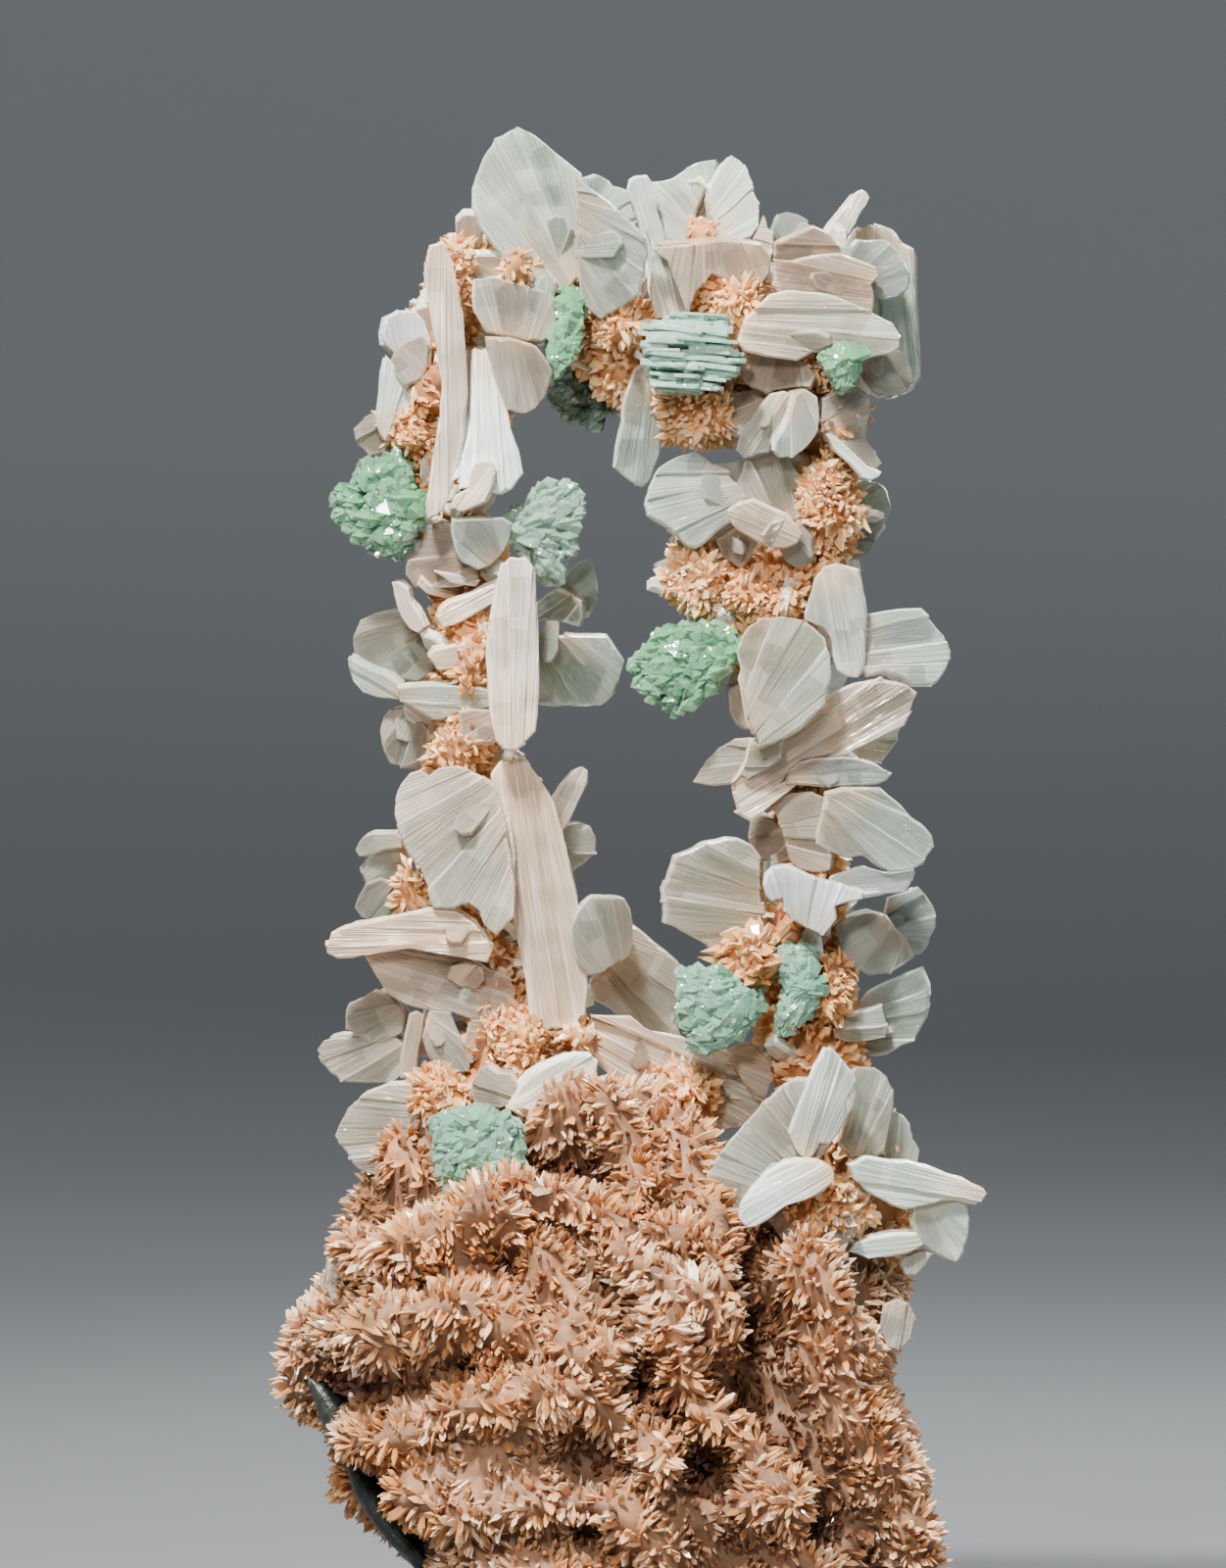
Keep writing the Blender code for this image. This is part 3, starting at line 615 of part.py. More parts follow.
def tidy(obj):
    """Weld tiny steps left by the cuts, join flat facets and keep the one
    main body; a gentler weld where a strong one would tear the surface."""
    for dist, flat in ((4.0e-6, 0.6), (4.0e-6, 0.0), (1.5e-6, 0.6), (1.5e-6, 0.0), (4e-7, 0.0), (1e-7, 0.0)):
        bm = bmesh.new()
        bm.from_mesh(obj.data)
        bmesh.ops.remove_doubles(bm, verts=bm.verts, dist=dist)
        bmesh.ops.dissolve_degenerate(bm, edges=bm.edges, dist=dist)
        if flat:
            bmesh.ops.dissolve_limit(bm, angle_limit=math.radians(flat), verts=bm.verts, edges=bm.edges)
        bmesh.ops.triangulate(bm, faces=bm.faces)
        main_body(bm, obj.name)
        open_edges = sum(1 for e in bm.edges if len(e.link_faces) != 2)
        if not open_edges:
            bm.to_mesh(obj.data)
            bm.free()
            return
        bm.free()
    print("still open:", obj.name)


# ---- build ---------------------------------------------------------------------
for old in list(bpy.data.objects):
    bpy.data.objects.remove(old)

collection = bpy.data.collections.new(NAME)
bpy.context.scene.collection.children.link(collection)


def pieces_of(piece, grow):
    """All the plain crystals of a piece, each grown outward by grow (mm)."""
    if piece == "matrix_foot":
        return [foot("foot", grow)]
    if piece == "left_pillar":
        return [tube("pillar", LEFT_PILLAR, 0.4, grow)]
    if piece == "right_pillar":
        return [tube("pillar", RIGHT_PILLAR, 1.9, grow), tube("stub", WINDOW_STUB, 0.7, grow)]
    if piece == "arch_bridge":
        return [tube("bridge", BRIDGE, 2.8, grow), tube("crest", BRIDGE_TOP, 1.1, grow)]
    out = []
    for name, depth, thick, su, sv, outline in STILBITE:
        if name == piece:
            out.append(plate("plate", outline, depth, thick, su, sv, grow))
    for name, u, v, depth, radius in ROOTS:
        if name == piece:
            out.append(knot("knot", u, v, depth, radius, grow))
    for name, root, tip, w0, w1, thick, roll in SPRAY:
        if name == piece:
            out.append(spray_crystal("blade", root, tip, w0, w1, thick, roll, grow))
    for name, outline, root, depth, thick, count in APOPHYLLITE:
        if name == piece:
            out.extend(apophyllite_crystals("fan", outline, root, depth, thick, count, grow))
    return out


order = ["matrix_foot", "left_pillar", "right_pillar", "arch_bridge"]
order += [row[0] for row in APOPHYLLITE]
for row in STILBITE + SPRAY:
    if row[0] not in order:
        order.append(row[0])

COLOURS = {"matrix": (0.62, 0.36, 0.18), "left_p": (0.62, 0.36, 0.18), "right_": (0.62, 0.36, 0.18), "arch_b": (0.62, 0.36, 0.18), "apophy": (0.30, 0.60, 0.38), "stilbi": (0.80, 0.76, 0.70)}
ROUGH = {"matrix": 0.75, "left_p": 0.75, "right_": 0.75, "arch_b": 0.75, "apophy": 0.15, "stilbi": 0.3}

done = []
for piece in order:
    parts = pieces_of(piece, 0.0)
    body = parts[0]
    for other in parts[1:]:
        boolean(body, other, "UNION")
        drop(other)
    for earlier in done:
        if not meets(box_of(body), earlier[1]):
            continue
        for cutter in pieces_of(earlier[0], GAP):
            if meets(box_of(body), box_of(cutter)):
                boolean(body, cutter, "DIFFERENCE")
            drop(cutter)
    body.name = piece
    body.data.name = piece
    tidy(body)
    bpy.context.scene.collection.objects.unlink(body)
    collection.objects.link(body)
    lo, hi = box_of(body)
    done.append((piece, ([c - 1.2e-3 for c in lo], [c + 1.2e-3 for c in hi])))
    mat = bpy.data.materials.new(piece)
    mat.use_nodes = True
    shader = mat.node_tree.nodes["Principled BSDF"]
    shader.inputs["Base Color"].default_value = (*COLOURS[piece[:6]], 1.0)
    shader.inputs["Roughness"].default_value = ROUGH[piece[:6]]
    body.data.materials.clear()
    body.data.materials.append(mat)
    print(piece, len(body.data.polygons))
print("pieces", len(done), "triangles", sum(len(o.data.polygons) for o in collection.objects))
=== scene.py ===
# Looks for a mineral specimen: matrix with a druse, stilbite blades and fans
# of green fluorapophyllite.  Everything is in metres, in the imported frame.
import math

import bpy
import numpy as np
from mathutils import Matrix, Vector
from mathutils.geometry import delaunay_2d_cdt


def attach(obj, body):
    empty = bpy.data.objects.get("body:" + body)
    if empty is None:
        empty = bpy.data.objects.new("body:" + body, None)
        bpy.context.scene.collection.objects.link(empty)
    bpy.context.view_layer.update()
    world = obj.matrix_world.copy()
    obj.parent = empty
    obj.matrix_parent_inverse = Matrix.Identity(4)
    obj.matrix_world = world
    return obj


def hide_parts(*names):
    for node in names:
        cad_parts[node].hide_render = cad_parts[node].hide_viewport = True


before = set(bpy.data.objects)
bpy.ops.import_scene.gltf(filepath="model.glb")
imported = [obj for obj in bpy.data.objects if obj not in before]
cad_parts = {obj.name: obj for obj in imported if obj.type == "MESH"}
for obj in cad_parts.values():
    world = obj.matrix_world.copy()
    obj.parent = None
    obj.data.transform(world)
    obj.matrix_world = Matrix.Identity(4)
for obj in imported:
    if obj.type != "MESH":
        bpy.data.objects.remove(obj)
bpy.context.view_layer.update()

VIEW = 0.900
UNITS = 8182.0
U_MID, V_MID = 625.5, 800.0
X_MID, Z_MID = -0.0071, 0.0990
MM = 0.001
EYE = np.array([X_MID, -VIEW, Z_MID])


def place(u, v, y):
    """Drawing units and a depth in mm to points in metres."""
    u, v, y = np.broadcast_arrays(np.asarray(u, float), np.asarray(v, float), np.asarray(y, float))
    k = (VIEW + y * MM) / UNITS
    return np.stack([X_MID + (u - U_MID) * k, y * MM, Z_MID - (v - V_MID) * k], -1)


def units(p):
    """Points in metres back to drawing units."""
    k = (VIEW + p[..., 1]) / UNITS
    return np.stack([(p[..., 0] - X_MID) / k + U_MID, V_MID - (p[..., 2] - Z_MID) / k], -1)


# ---- tables -----------------------------------------------------------------
STILBITE = [
    # top left
    ("stilbite_top_left_fan", -3.5, 4.6, 0.10, -0.22, [(526, 132), (541, 139), (592, 181), (601, 230), (594, 290), (576, 305), (545, 300), (512, 264), (490, 236), (480, 212), (481, 192), (487, 170), (502, 144)]),
    ("stilbite_top_left_fan", -8.0, 3.6, -0.12, 0.16, [(590, 182), (625, 207), (660, 240), (661, 262), (656, 299), (640, 309), (614, 325), (594, 308), (589, 250)]),
    ("stilbite_top_left_fan", -4.6, 4.0, 0.22, 0.10, [(592, 181), (606, 177), (615, 181), (623, 189), (637, 194), (641, 206), (648, 226), (630, 250), (600, 215)]),
    ("stilbite_edge_blade", -9.5, 4.4, 0.06, 0.10, [(438, 250), (452, 247), (461, 266), (467, 292), (472, 320), (475, 360), (477, 400), (474, 434), (471, 462), (461, 498), (452, 520), (436, 529), (434, 514), (440, 476), (449, 420), (450, 386), (443, 346), (438, 316), (433, 290), (433, 272)]),
    ("stilbite_pearly_blade", -8.4, 2.8, 0.24, -0.06, [(481, 357), (487, 355), (495, 359), (501, 380), (510, 398), (517, 420), (519, 438), (527, 460), (532, 484), (520, 500), (508, 507), (496, 506), (478, 498), (467, 500), (469, 474), (476, 448), (479, 430), (479, 390)]),
    ("stilbite_pearly_blade", -10.2, 2.4, -0.10, 0.12, [(486, 470), (501, 469), (506, 480), (505, 496), (497, 512), (474, 522), (459, 519), (464, 506), (478, 498), (480, 481)]),
    ("stilbite_left_tablets", -7.2, 3.4, 0.16, -0.10, [(482, 287), (505, 284), (562, 300), (568, 322), (566, 340), (552, 352), (520, 347), (495, 340), (482, 318), (480, 304)]),
    ("stilbite_left_tablets", -8.8, 3.2, 0.20, 0.12, [(494, 345), (520, 345), (545, 352), (553, 362), (562, 377), (557, 396), (555, 403), (545, 415), (535, 422), (518, 418), (508, 396), (500, 372)]),
    ("stilbite_left_shoulder", -3.4, 4.2, 0.30, 0.10, [(404, 316), (420, 316), (430, 328), (436, 345), (436, 362), (420, 366), (402, 364), (390, 352), (387, 338), (392, 322)]),
    ("stilbite_left_shoulder", -6.2, 3.0, -0.20, -0.14, [(432, 344), (440, 354), (438, 374), (432, 389), (415, 397), (405, 386), (398, 372), (404, 360), (416, 350)]),
    ("stilbite_left_shoulder", -4.6, 4.0, 0.16, 0.20, [(393, 362), (402, 372), (412, 388), (426, 398), (434, 410), (420, 420), (408, 426), (399, 440), (395, 450), (388, 446), (383, 430), (388, 402), (388, 380)]),
    ("stilbite_left_shoulder", -1.8, 3.4, -0.20, 0.22, [(374, 424), (384, 420), (392, 430), (402, 444), (398, 460), (378, 464), (366, 452), (362, 437), (370, 430)]),
    ("stilbite_crest", -4.4, 3.6, 0.24, 0.06, [(640, 183), (646, 179), (657, 179), (664, 188), (668, 215), (676, 240), (684, 262), (692, 290), (701, 322), (667, 326), (662, 300), (662, 246), (647, 217), (638, 195)]),
    ("stilbite_crest", -2.0, 4.0, -0.16, -0.20, [(662, 190), (688, 186), (700, 176), (716, 168), (734, 166), (728, 185), (721, 200), (713, 215), (708, 232), (704, 250), (680, 250), (668, 215)]),
    ("stilbite_crest", -2.6, 6.4, 0.14, -0.12, [(727, 180), (733, 170), (742, 162), (752, 167), (758, 175), (764, 190), (768, 205), (772, 210), (771, 235), (764, 246), (750, 252), (730, 250), (722, 226), (718, 206), (722, 190)]),
    ("stilbite_crest", -6.4, 3.8, 0.10, 0.24, [(661, 252), (700, 248), (736, 242), (775, 245), (786, 258), (784, 278), (770, 294), (745, 285), (724, 278), (708, 296), (700, 316), (690, 290), (680, 264)]),
    ("stilbite_crest_right", -2.4, 3.4, 0.18, -0.14, [(791, 220), (800, 218), (812, 219), (824, 226), (820, 246), (806, 262), (790, 262), (785, 240)]),
    ("stilbite_crest_right", -4.6, 3.4, 0.14, 0.22, [(788, 247), (808, 238), (829, 229), (845, 237), (853, 248), (862, 256), (842, 262), (828, 270), (800, 272), (787, 264)]),
    ("stilbite_crest_right", -1.4, 3.8, 0.36, -0.10, [(871, 197), (876, 195), (881, 197), (884, 204), (880, 212), (874, 220), (868, 233), (858, 247), (852, 262), (836, 258), (840, 236), (848, 225), (862, 208)]),
    ("stilbite_clear_plate", 4.2, 3.8, -0.14, 0.05, [(866, 243), (873, 234), (888, 226), (912, 235), (920, 246), (932, 252), (935, 262), (936, 300), (939, 360), (940, 385), (932, 398), (918, 405), (898, 409), (886, 404), (870, 380), (858, 330), (861, 280)]),
    ("stilbite_right_shoulder", -2.4, 4.2, 0.20, 0.12, [(852, 251), (866, 250), (873, 244), (900, 243), (914, 255), (921, 268), (927, 282), (924, 295), (912, 304), (898, 306), (880, 298), (862, 284), (854, 268)]),
    ("stilbite_right_shoulder", -5.6, 3.6, 0.12, 0.12, [(788, 264), (805, 266), (835, 259), (855, 258), (875, 265), (893, 272), (896, 281), (888, 290), (891, 302), (890, 324), (875, 318), (850, 308), (820, 306), (797, 304), (787, 290)]),
    ("stilbite_right_shoulder", -8.6, 4.2, 0.14, 0.08, [(752, 340), (757, 325), (770, 312), (782, 300), (800, 296), (815, 297), (845, 300), (875, 312), (895, 322), (910, 330), (918, 343), (916, 355), (905, 362), (880, 366), (868, 354), (850, 350), (830, 358), (810, 368), (780, 364), (757, 358), (751, 350)]),
    ("stilbite_right_shoulder", -6.6, 3.4, -0.12, -0.16, [(757, 370), (772, 360), (800, 360), (818, 370), (834, 385), (828, 398), (802, 398), (784, 404), (768, 397), (757, 387)]),
    ("stilbite_right_shoulder", -3.0, 3.6, 0.20, -0.20, [(874, 366), (905, 358), (918, 360), (928, 378), (930, 392), (922, 402), (905, 401), (892, 396), (884, 386)]),
    ("stilbite_hanging_finger", -6.2, 4.0, -0.22, 0.14, [(788, 400), (802, 398), (812, 402), (803, 420), (795, 440), (789, 452), (787, 461), (775, 463), (762, 466), (753, 458), (763, 432), (768, 428), (776, 414)]),
    ("stilbite_hanging_finger", -8.4, 3.8, 0.20, 0.20, [(808, 400), (820, 396), (832, 404), (834, 425), (831, 440), (825, 450), (815, 458), (805, 465), (792, 465), (786, 458), (787, 448), (796, 435), (802, 420)]),
    ("stilbite_hanging_finger", -4.0, 3.6, 0.10, 0.14, [(722, 400), (745, 400), (772, 396), (790, 402), (776, 425), (766, 434), (755, 447), (742, 442), (735, 432), (728, 416)]),
    ("stilbite_hanging_clear", -3.0, 3.4, 0.24, 0.14, [(645, 375), (658, 366), (668, 372), (676, 390), (677, 430), (669, 465), (660, 490), (652, 496), (640, 492), (623, 477), (626, 455), (632, 430), (633, 410)]),
    ("stilbite_right_arm", -4.4, 4.0, 0.16, 0.12, [(850, 398), (875, 394), (888, 406), (884, 430), (880, 445), (890, 460), (897, 471), (890, 479), (870, 468), (850, 455), (838, 448), (835, 430), (836, 406)]),
    ("stilbite_right_arm", -7.4, 2.8, 0.12, 0.10, [(841, 442), (850, 444), (866, 458), (884, 475), (898, 481), (896, 486), (887, 490), (878, 487), (865, 473), (848, 458)]),
    ("stilbite_right_arm_clear", 1.6, 3.4, 0.16, -0.12, [(866, 496), (880, 491), (895, 494), (904, 503), (907, 518), (906, 525), (898, 540), (890, 558), (882, 569), (872, 572), (864, 552), (862, 525), (862, 508)]),
    # middle right
    ("stilbite_window_fan", -6.8, 4.2, 0.22, -0.12, [(680, 472), (690, 467), (706, 463), (715, 468), (725, 476), (740, 482), (752, 498), (760, 510), (758, 526), (742, 535), (728, 545), (716, 556), (708, 561), (700, 559), (690, 549), (672, 536), (658, 528), (656, 515), (657, 505), (663, 490), (670, 478)]),
    ("stilbite_window_fan", -9.0, 3.6, 0.10, 0.16, [(742, 520), (750, 512), (768, 508), (785, 516), (800, 522), (810, 532), (818, 543), (812, 553), (800, 558), (785, 558), (770, 550), (752, 540), (744, 532)]),
    ("stilbite_window_fan", -5.2, 3.6, -0.10, -0.20, [(754, 492), (762, 472), (790, 462), (806, 468), (814, 485), (822, 500), (827, 516), (822, 536), (806, 535), (792, 524), (772, 514), (756, 508)]),
    ("stilbite_window_fan", -6.6, 3.2, -0.22, 0.20, [(804, 530), (820, 533), (830, 548), (832, 565), (826, 576), (814, 579), (804, 572), (797, 560)]),
    ("stilbite_wing", -5.2, 4.2, -0.14, 0.10, [(832, 587), (842, 577), (856, 573), (870, 578), (878, 580), (881, 595), (884, 610), (886, 626), (885, 650), (883, 680), (876, 692), (866, 690), (856, 685), (852, 670), (850, 650), (840, 640), (822, 632), (821, 625), (828, 602)]),
    ("stilbite_wing", -3.6, 4.2, 0.14, -0.10, [(874, 630), (900, 625), (938, 622), (945, 630), (955, 642), (962, 650), (968, 665), (969, 672), (964, 685), (958, 695), (950, 701), (928, 701), (915, 692), (898, 688), (882, 692), (872, 680)]),
    ("stilbite_tablet_sheaf", -9.2, 4.2, -0.10, -0.12, [(758, 650), (765, 640), (778, 632), (800, 630), (820, 634), (832, 641), (843, 652), (848, 668), (850, 690), (842, 720), (818, 745), (792, 760), (775, 766), (764, 742), (760, 712), (756, 682), (752, 666)]),
    ("stilbite_tablet_sheaf", -6.4, 4.4, 0.16, 0.10, [(742, 800), (757, 776), (762, 754), (790, 742), (815, 732), (848, 706), (872, 695), (900, 690), (925, 695), (938, 704), (930, 722), (920, 740), (900, 750), (880, 760), (850, 768), (815, 774), (797, 792), (782, 813), (775, 830), (764, 837), (748, 828), (744, 815)]),
    ("stilbite_tablet_sheaf", -3.2, 3.6, -0.20, 0.10, [(709, 797), (716, 785), (722, 775), (735, 762), (752, 753), (770, 752), (772, 770), (764, 786), (748, 799), (730, 801)]),
    ("stilbite_tablet_sheaf", -3.4, 4.0, 0.12, 0.06, [(742, 700), (752, 696), (764, 704), (772, 728), (768, 744), (758, 744), (750, 738), (743, 725)]),
    ("stilbite_white_polygon", -6.4, 4.2, 0.10, 0.08, [(799, 799), (804, 784), (814, 776), (830, 772), (860, 771), (880, 774), (892, 778), (901, 785), (909, 788), (903, 795), (893, 800), (870, 800), (840, 802)]),
    ("stilbite_white_polygon", -9.4, 4.4, 0.16, 0.08, [(840, 808), (858, 803), (880, 802), (895, 802), (902, 808), (915, 818), (927, 833), (938, 840), (948, 850), (950, 862), (944, 872), (940, 880), (928, 886), (918, 888), (906, 888), (895, 884), (878, 872), (862, 875), (850, 870), (832, 860), (831, 850), (836, 830)]),
    ("stilbite_white_polygon", -5.8, 4.6, -0.12, 0.10, [(796, 808), (830, 806), (842, 812), (846, 840), (848, 862), (852, 876), (850, 887), (838, 889), (816, 886), (806, 876), (800, 850), (790, 824)]),
    ("stilbite_white_polygon", -2.6, 4.0, -0.20, 0.12, [(766, 836), (775, 828), (792, 836), (808, 856), (812, 874), (795, 880), (780, 876), (768, 868), (764, 850)]),
    ("stilbite_dusky_fan", -5.6, 4.6, 0.20, 0.12, [(684, 872), (700, 865), (715, 858), (738, 853), (750, 853), (765, 860), (774, 872), (774, 886), (774, 900), (776, 915), (778, 930), (770, 944), (758, 948), (752, 962), (742, 985), (728, 970), (705, 955), (680, 942), (672, 940), (673, 905), (678, 890)]),
    ("stilbite_striated_sheaf", -9.8, 4.4, 0.10, 0.14, [(777, 900), (779, 890), (786, 882), (800, 880), (812, 884), (830, 893), (850, 897), (865, 903), (880, 907), (878, 915), (862, 918), (850, 922), (852, 935), (845, 945), (838, 953), (825, 948), (808, 938), (798, 928), (798, 914), (785, 918), (780, 912)]),
    ("stilbite_striated_sheaf", -7.2, 3.6, 0.14, -0.12, [(850, 894), (878, 884), (905, 892), (930, 887), (932, 892), (928, 905), (922, 911), (905, 912), (880, 917), (858, 920), (846, 908)]),
    ("stilbite_low_clear", 0.8, 3.6, 0.10, 0.14, [(906, 914), (925, 908), (935, 903), (944, 912), (954, 930), (953, 942), (948, 955), (946, 962), (938, 972), (928, 974), (916, 966), (904, 948), (902, 930)]),
    ("stilbite_low_clear", -3.0, 4.2, 0.12, 0.10, [(850, 945), (870, 932), (885, 928), (902, 932), (912, 945), (925, 960), (931, 975), (918, 984), (905, 992), (885, 994), (868, 986), (856, 970)]),
    ("stilbite_low_clear", -0.8, 4.4, -0.16, 0.18, [(898, 1004), (925, 991), (942, 985), (950, 1003), (951, 1025), (944, 1043), (934, 1060), (922, 1064), (908, 1073), (890, 1075), (874, 1066), (868, 1050), (872, 1030), (884, 1012)]),
    ("stilbite_low_clear", -4.0, 3.6, 0.14, 0.20, [(848, 1048), (860, 1037), (885, 1029), (900, 1024), (904, 1040), (902, 1056), (880, 1060), (860, 1061), (850, 1057)]),
    # middle left
    ("stilbite_left_block", -7.6, 5.0, 0.18, 0.12, [(459, 528), (480, 526), (510, 526), (520, 532), (518, 550), (510, 565), (500, 575), (485, 580), (470, 573), (462, 561), (459, 542)]),
    ("stilbite_left_block", -4.6, 4.0, -0.18, 0.10, [(438, 534), (452, 530), (468, 536), (474, 560), (486, 578), (490, 590), (470, 598), (445, 600), (425, 598), (415, 585), (417, 570), (430, 560)]),
    ("stilbite_clear_bar", -2.6, 3.6, -0.12, 0.12, [(546, 616), (560, 605), (570, 600), (585, 605), (596, 612), (598, 628), (593, 640), (575, 634), (555, 631), (543, 634), (536, 624)]),
    ("stilbite_clear_bar", 0.8, 3.6, 0.14, -0.20, [(572, 592), (590, 576), (600, 573), (606, 585), (609, 600), (610, 615), (602, 628), (594, 630), (580, 622), (570, 608)]),
    ("stilbite_left_stack", 0.4, 4.2, -0.22, 0.06, [(363, 650), (370, 632), (385, 625), (405, 620), (430, 625), (450, 640), (452, 660), (448, 675), (440, 688), (430, 696), (408, 692), (390, 688), (375, 678), (365, 665)]),
    ("stilbite_left_stack", -3.2, 3.4, -0.20, 0.16, [(357, 667), (365, 672), (378, 679), (400, 687), (412, 697), (412, 713), (388, 711), (372, 706), (362, 695), (357, 682)]),
    ("stilbite_left_stack", -5.8, 3.6, 0.06, 0.20, [(405, 700), (425, 697), (460, 697), (490, 699), (503, 703), (500, 719), (480, 723), (465, 726), (450, 733), (440, 733), (425, 723), (408, 713)]),
    ("stilbite_left_stack", -6.0, 3.0, 0.10, 0.24, [(436, 668), (442, 660), (460, 656), (480, 653), (498, 655), (496, 665), (480, 676), (462, 681), (445, 682)]),
    ("stilbite_left_stack", -6.8, 3.0, 0.16, 0.16, [(445, 630), (448, 620), (458, 612), (474, 607), (490, 599), (510, 590), (520, 595), (516, 606), (500, 616), (480, 628), (465, 636), (450, 640)]),
    ("stilbite_left_stack", -0.6, 5.4, -0.10, 0.08, [(400, 723), (412, 721), (430, 727), (440, 742), (442, 762), (430, 778), (413, 783), (400, 778), (392, 765), (389, 745), (392, 732)]),
    ("stilbite_left_block", -10.8, 3.8, 0.12, 0.03, [(510, 577), (520, 569), (535, 569), (545, 581), (546, 610), (548, 640), (549, 700), (548, 730), (546, 748), (538, 757), (525, 766), (512, 764), (505, 755), (501, 740), (499, 700), (498, 650), (502, 620), (506, 596)]),
    ("stilbite_left_block", -8.0, 3.2, 0.10, 0.06, [(468, 726), (482, 723), (504, 724), (512, 736), (512, 752), (500, 759), (486, 760), (475, 757), (468, 748)]),
    ("stilbite_clear_bar", -5.8, 4.6, 0.10, 0.16, [(540, 646), (580, 645), (618, 646), (628, 660), (636, 672), (632, 690), (625, 708), (612, 718), (590, 719), (560, 720), (540, 716), (534, 690), (534, 662)]),
    ("stilbite_big_sheaf", -8.8, 3.8, -0.14, 0.05, [(405, 815), (410, 800), (420, 788), (430, 785), (440, 791), (450, 783), (468, 780), (480, 784), (493, 791), (502, 797), (512, 811), (520, 850), (527, 900), (526, 935), (518, 944), (508, 953), (498, 948), (490, 930), (480, 922), (462, 926), (444, 926), (431, 890), (418, 870), (409, 850), (404, 832)]),
    ("stilbite_big_sheaf", -6.2, 4.0, 0.10, 0.03, [(500, 790), (510, 776), (522, 771), (535, 773), (545, 786), (556, 801), (564, 816), (573, 846), (582, 890), (591, 930), (596, 970), (600, 1010), (597, 1038), (585, 1048), (570, 1051), (548, 1056), (535, 1058), (532, 1050), (540, 1036), (536, 1000), (528, 960), (522, 920), (514, 870), (505, 830)]),
    ("stilbite_big_sheaf", -3.6, 3.0, 0.20, 0.06, [(554, 812), (566, 840), (580, 880), (588, 915), (586, 935), (581, 951), (572, 940), (560, 905), (550, 860)]),
    ("stilbite_big_sheaf", -2.2, 3.2, 0.24, -0.12, [(560, 818), (572, 800), (585, 785), (592, 782), (598, 787), (598, 800), (590, 816), (580, 838), (572, 850), (558, 840)]),
    ("stilbite_big_sheaf", -0.4, 3.8, 0.20, 0.12, [(566, 842), (590, 838), (600, 842), (608, 855), (606, 868), (595, 878), (582, 888), (570, 884), (560, 862)]),
    ("stilbite_left_small", -2.8, 3.2, -0.16, 0.16, [(372, 852), (382, 848), (405, 848), (414, 852), (413, 864), (395, 866), (382, 870), (368, 873), (364, 866), (368, 858)]),
    ("stilbite_left_small", -1.2, 3.6, 0.10, 0.20, [(376, 872), (388, 862), (412, 862), (420, 875), (416, 892), (400, 898), (385, 902), (372, 898), (367, 888)]),
    ("stilbite_left_small", -1.6, 3.6, -0.12, 0.10, [(375, 900), (390, 894), (406, 900), (412, 920), (408, 936), (385, 940), (370, 935), (363, 925), (368, 912)]),
    # low left
    ("stilbite_pink_blade", -7.2, 3.6, 0.03, 0.16, [(332, 960), (335, 950), (350, 943), (380, 938), (410, 931), (440, 925), (468, 928), (486, 940), (496, 954), (504, 964), (497, 980), (485, 977), (465, 969), (446, 958), (410, 961), (385, 966), (360, 975), (345, 976), (334, 970)]),
    ("stilbite_low_left_fan", -3.6, 4.0, 0.10, 0.12, [(370, 973), (392, 966), (430, 956), (460, 962), (500, 987), (522, 996), (528, 1010), (522, 1030), (500, 1039), (480, 1038), (462, 1032), (440, 1030), (410, 1022), (395, 1012), (385, 997)]),
    ("stilbite_low_left_fan", -1.2, 4.0, -0.18, 0.10, [(358, 1022), (372, 1017), (385, 1008), (404, 1012), (416, 1034), (414, 1052), (396, 1062), (380, 1062), (368, 1056), (356, 1048), (355, 1035)]),
    ("stilbite_low_left_fan", -0.4, 4.4, -0.18, 0.16, [(326, 1070), (332, 1060), (345, 1057), (375, 1058), (400, 1052), (416, 1064), (418, 1090), (404, 1102), (370, 1102), (350, 1100), (340, 1092), (330, 1082)]),
    ("stilbite_low_left_fan", -3.8, 3.6, 0.16, 0.10, [(428, 1056), (438, 1030), (458, 1032), (468, 1056), (478, 1080), (478, 1092), (460, 1096), (446, 1090), (436, 1078)]),
    ("stilbite_rear_plates", -5.8, 5.2, 0.14, 0.12, [(586, 927), (595, 916), (602, 911), (620, 912), (634, 914), (640, 925), (643, 940), (644, 960), (640, 972), (628, 982), (612, 991), (598, 994), (586, 980), (580, 960), (579, 944)]),
    ("stilbite_rear_plates", 1.6, 4.6, 0.18, 0.20, [(630, 940), (645, 942), (662, 956), (680, 970), (692, 981), (692, 1002), (688, 1020), (690, 1045), (694, 1056), (660, 1062), (640, 1046), (620, 1026), (605, 1018), (600, 1000), (612, 985), (626, 966)]),
    ("stilbite_rear_plates", -1.8, 4.6, 0.14, 0.08, [(600, 1034), (640, 1035), (660, 1050), (694, 1056), (720, 1072), (745, 1070), (758, 1090), (782, 1120), (768, 1142), (745, 1152), (720, 1156), (700, 1146), (680, 1128), (650, 1112), (620, 1096), (603, 1080), (592, 1052)]),
    # on the foot
    ("stilbite_foot_pair", -10.6, 4.6, -0.16, 0.14, [(480, 1114), (484, 1100), (492, 1087), (500, 1085), (510, 1092), (522, 1093), (529, 1104), (528, 1120), (515, 1130), (500, 1130), (485, 1126)]),
    ("stilbite_foot_pair", -12.0, 3.6, 0.12, 0.16, [(516, 1130), (524, 1116), (532, 1102), (540, 1092), (555, 1085), (570, 1078), (585, 1072), (600, 1073), (610, 1080), (608, 1095), (595, 1108), (580, 1120), (565, 1129), (548, 1138), (530, 1138)]),
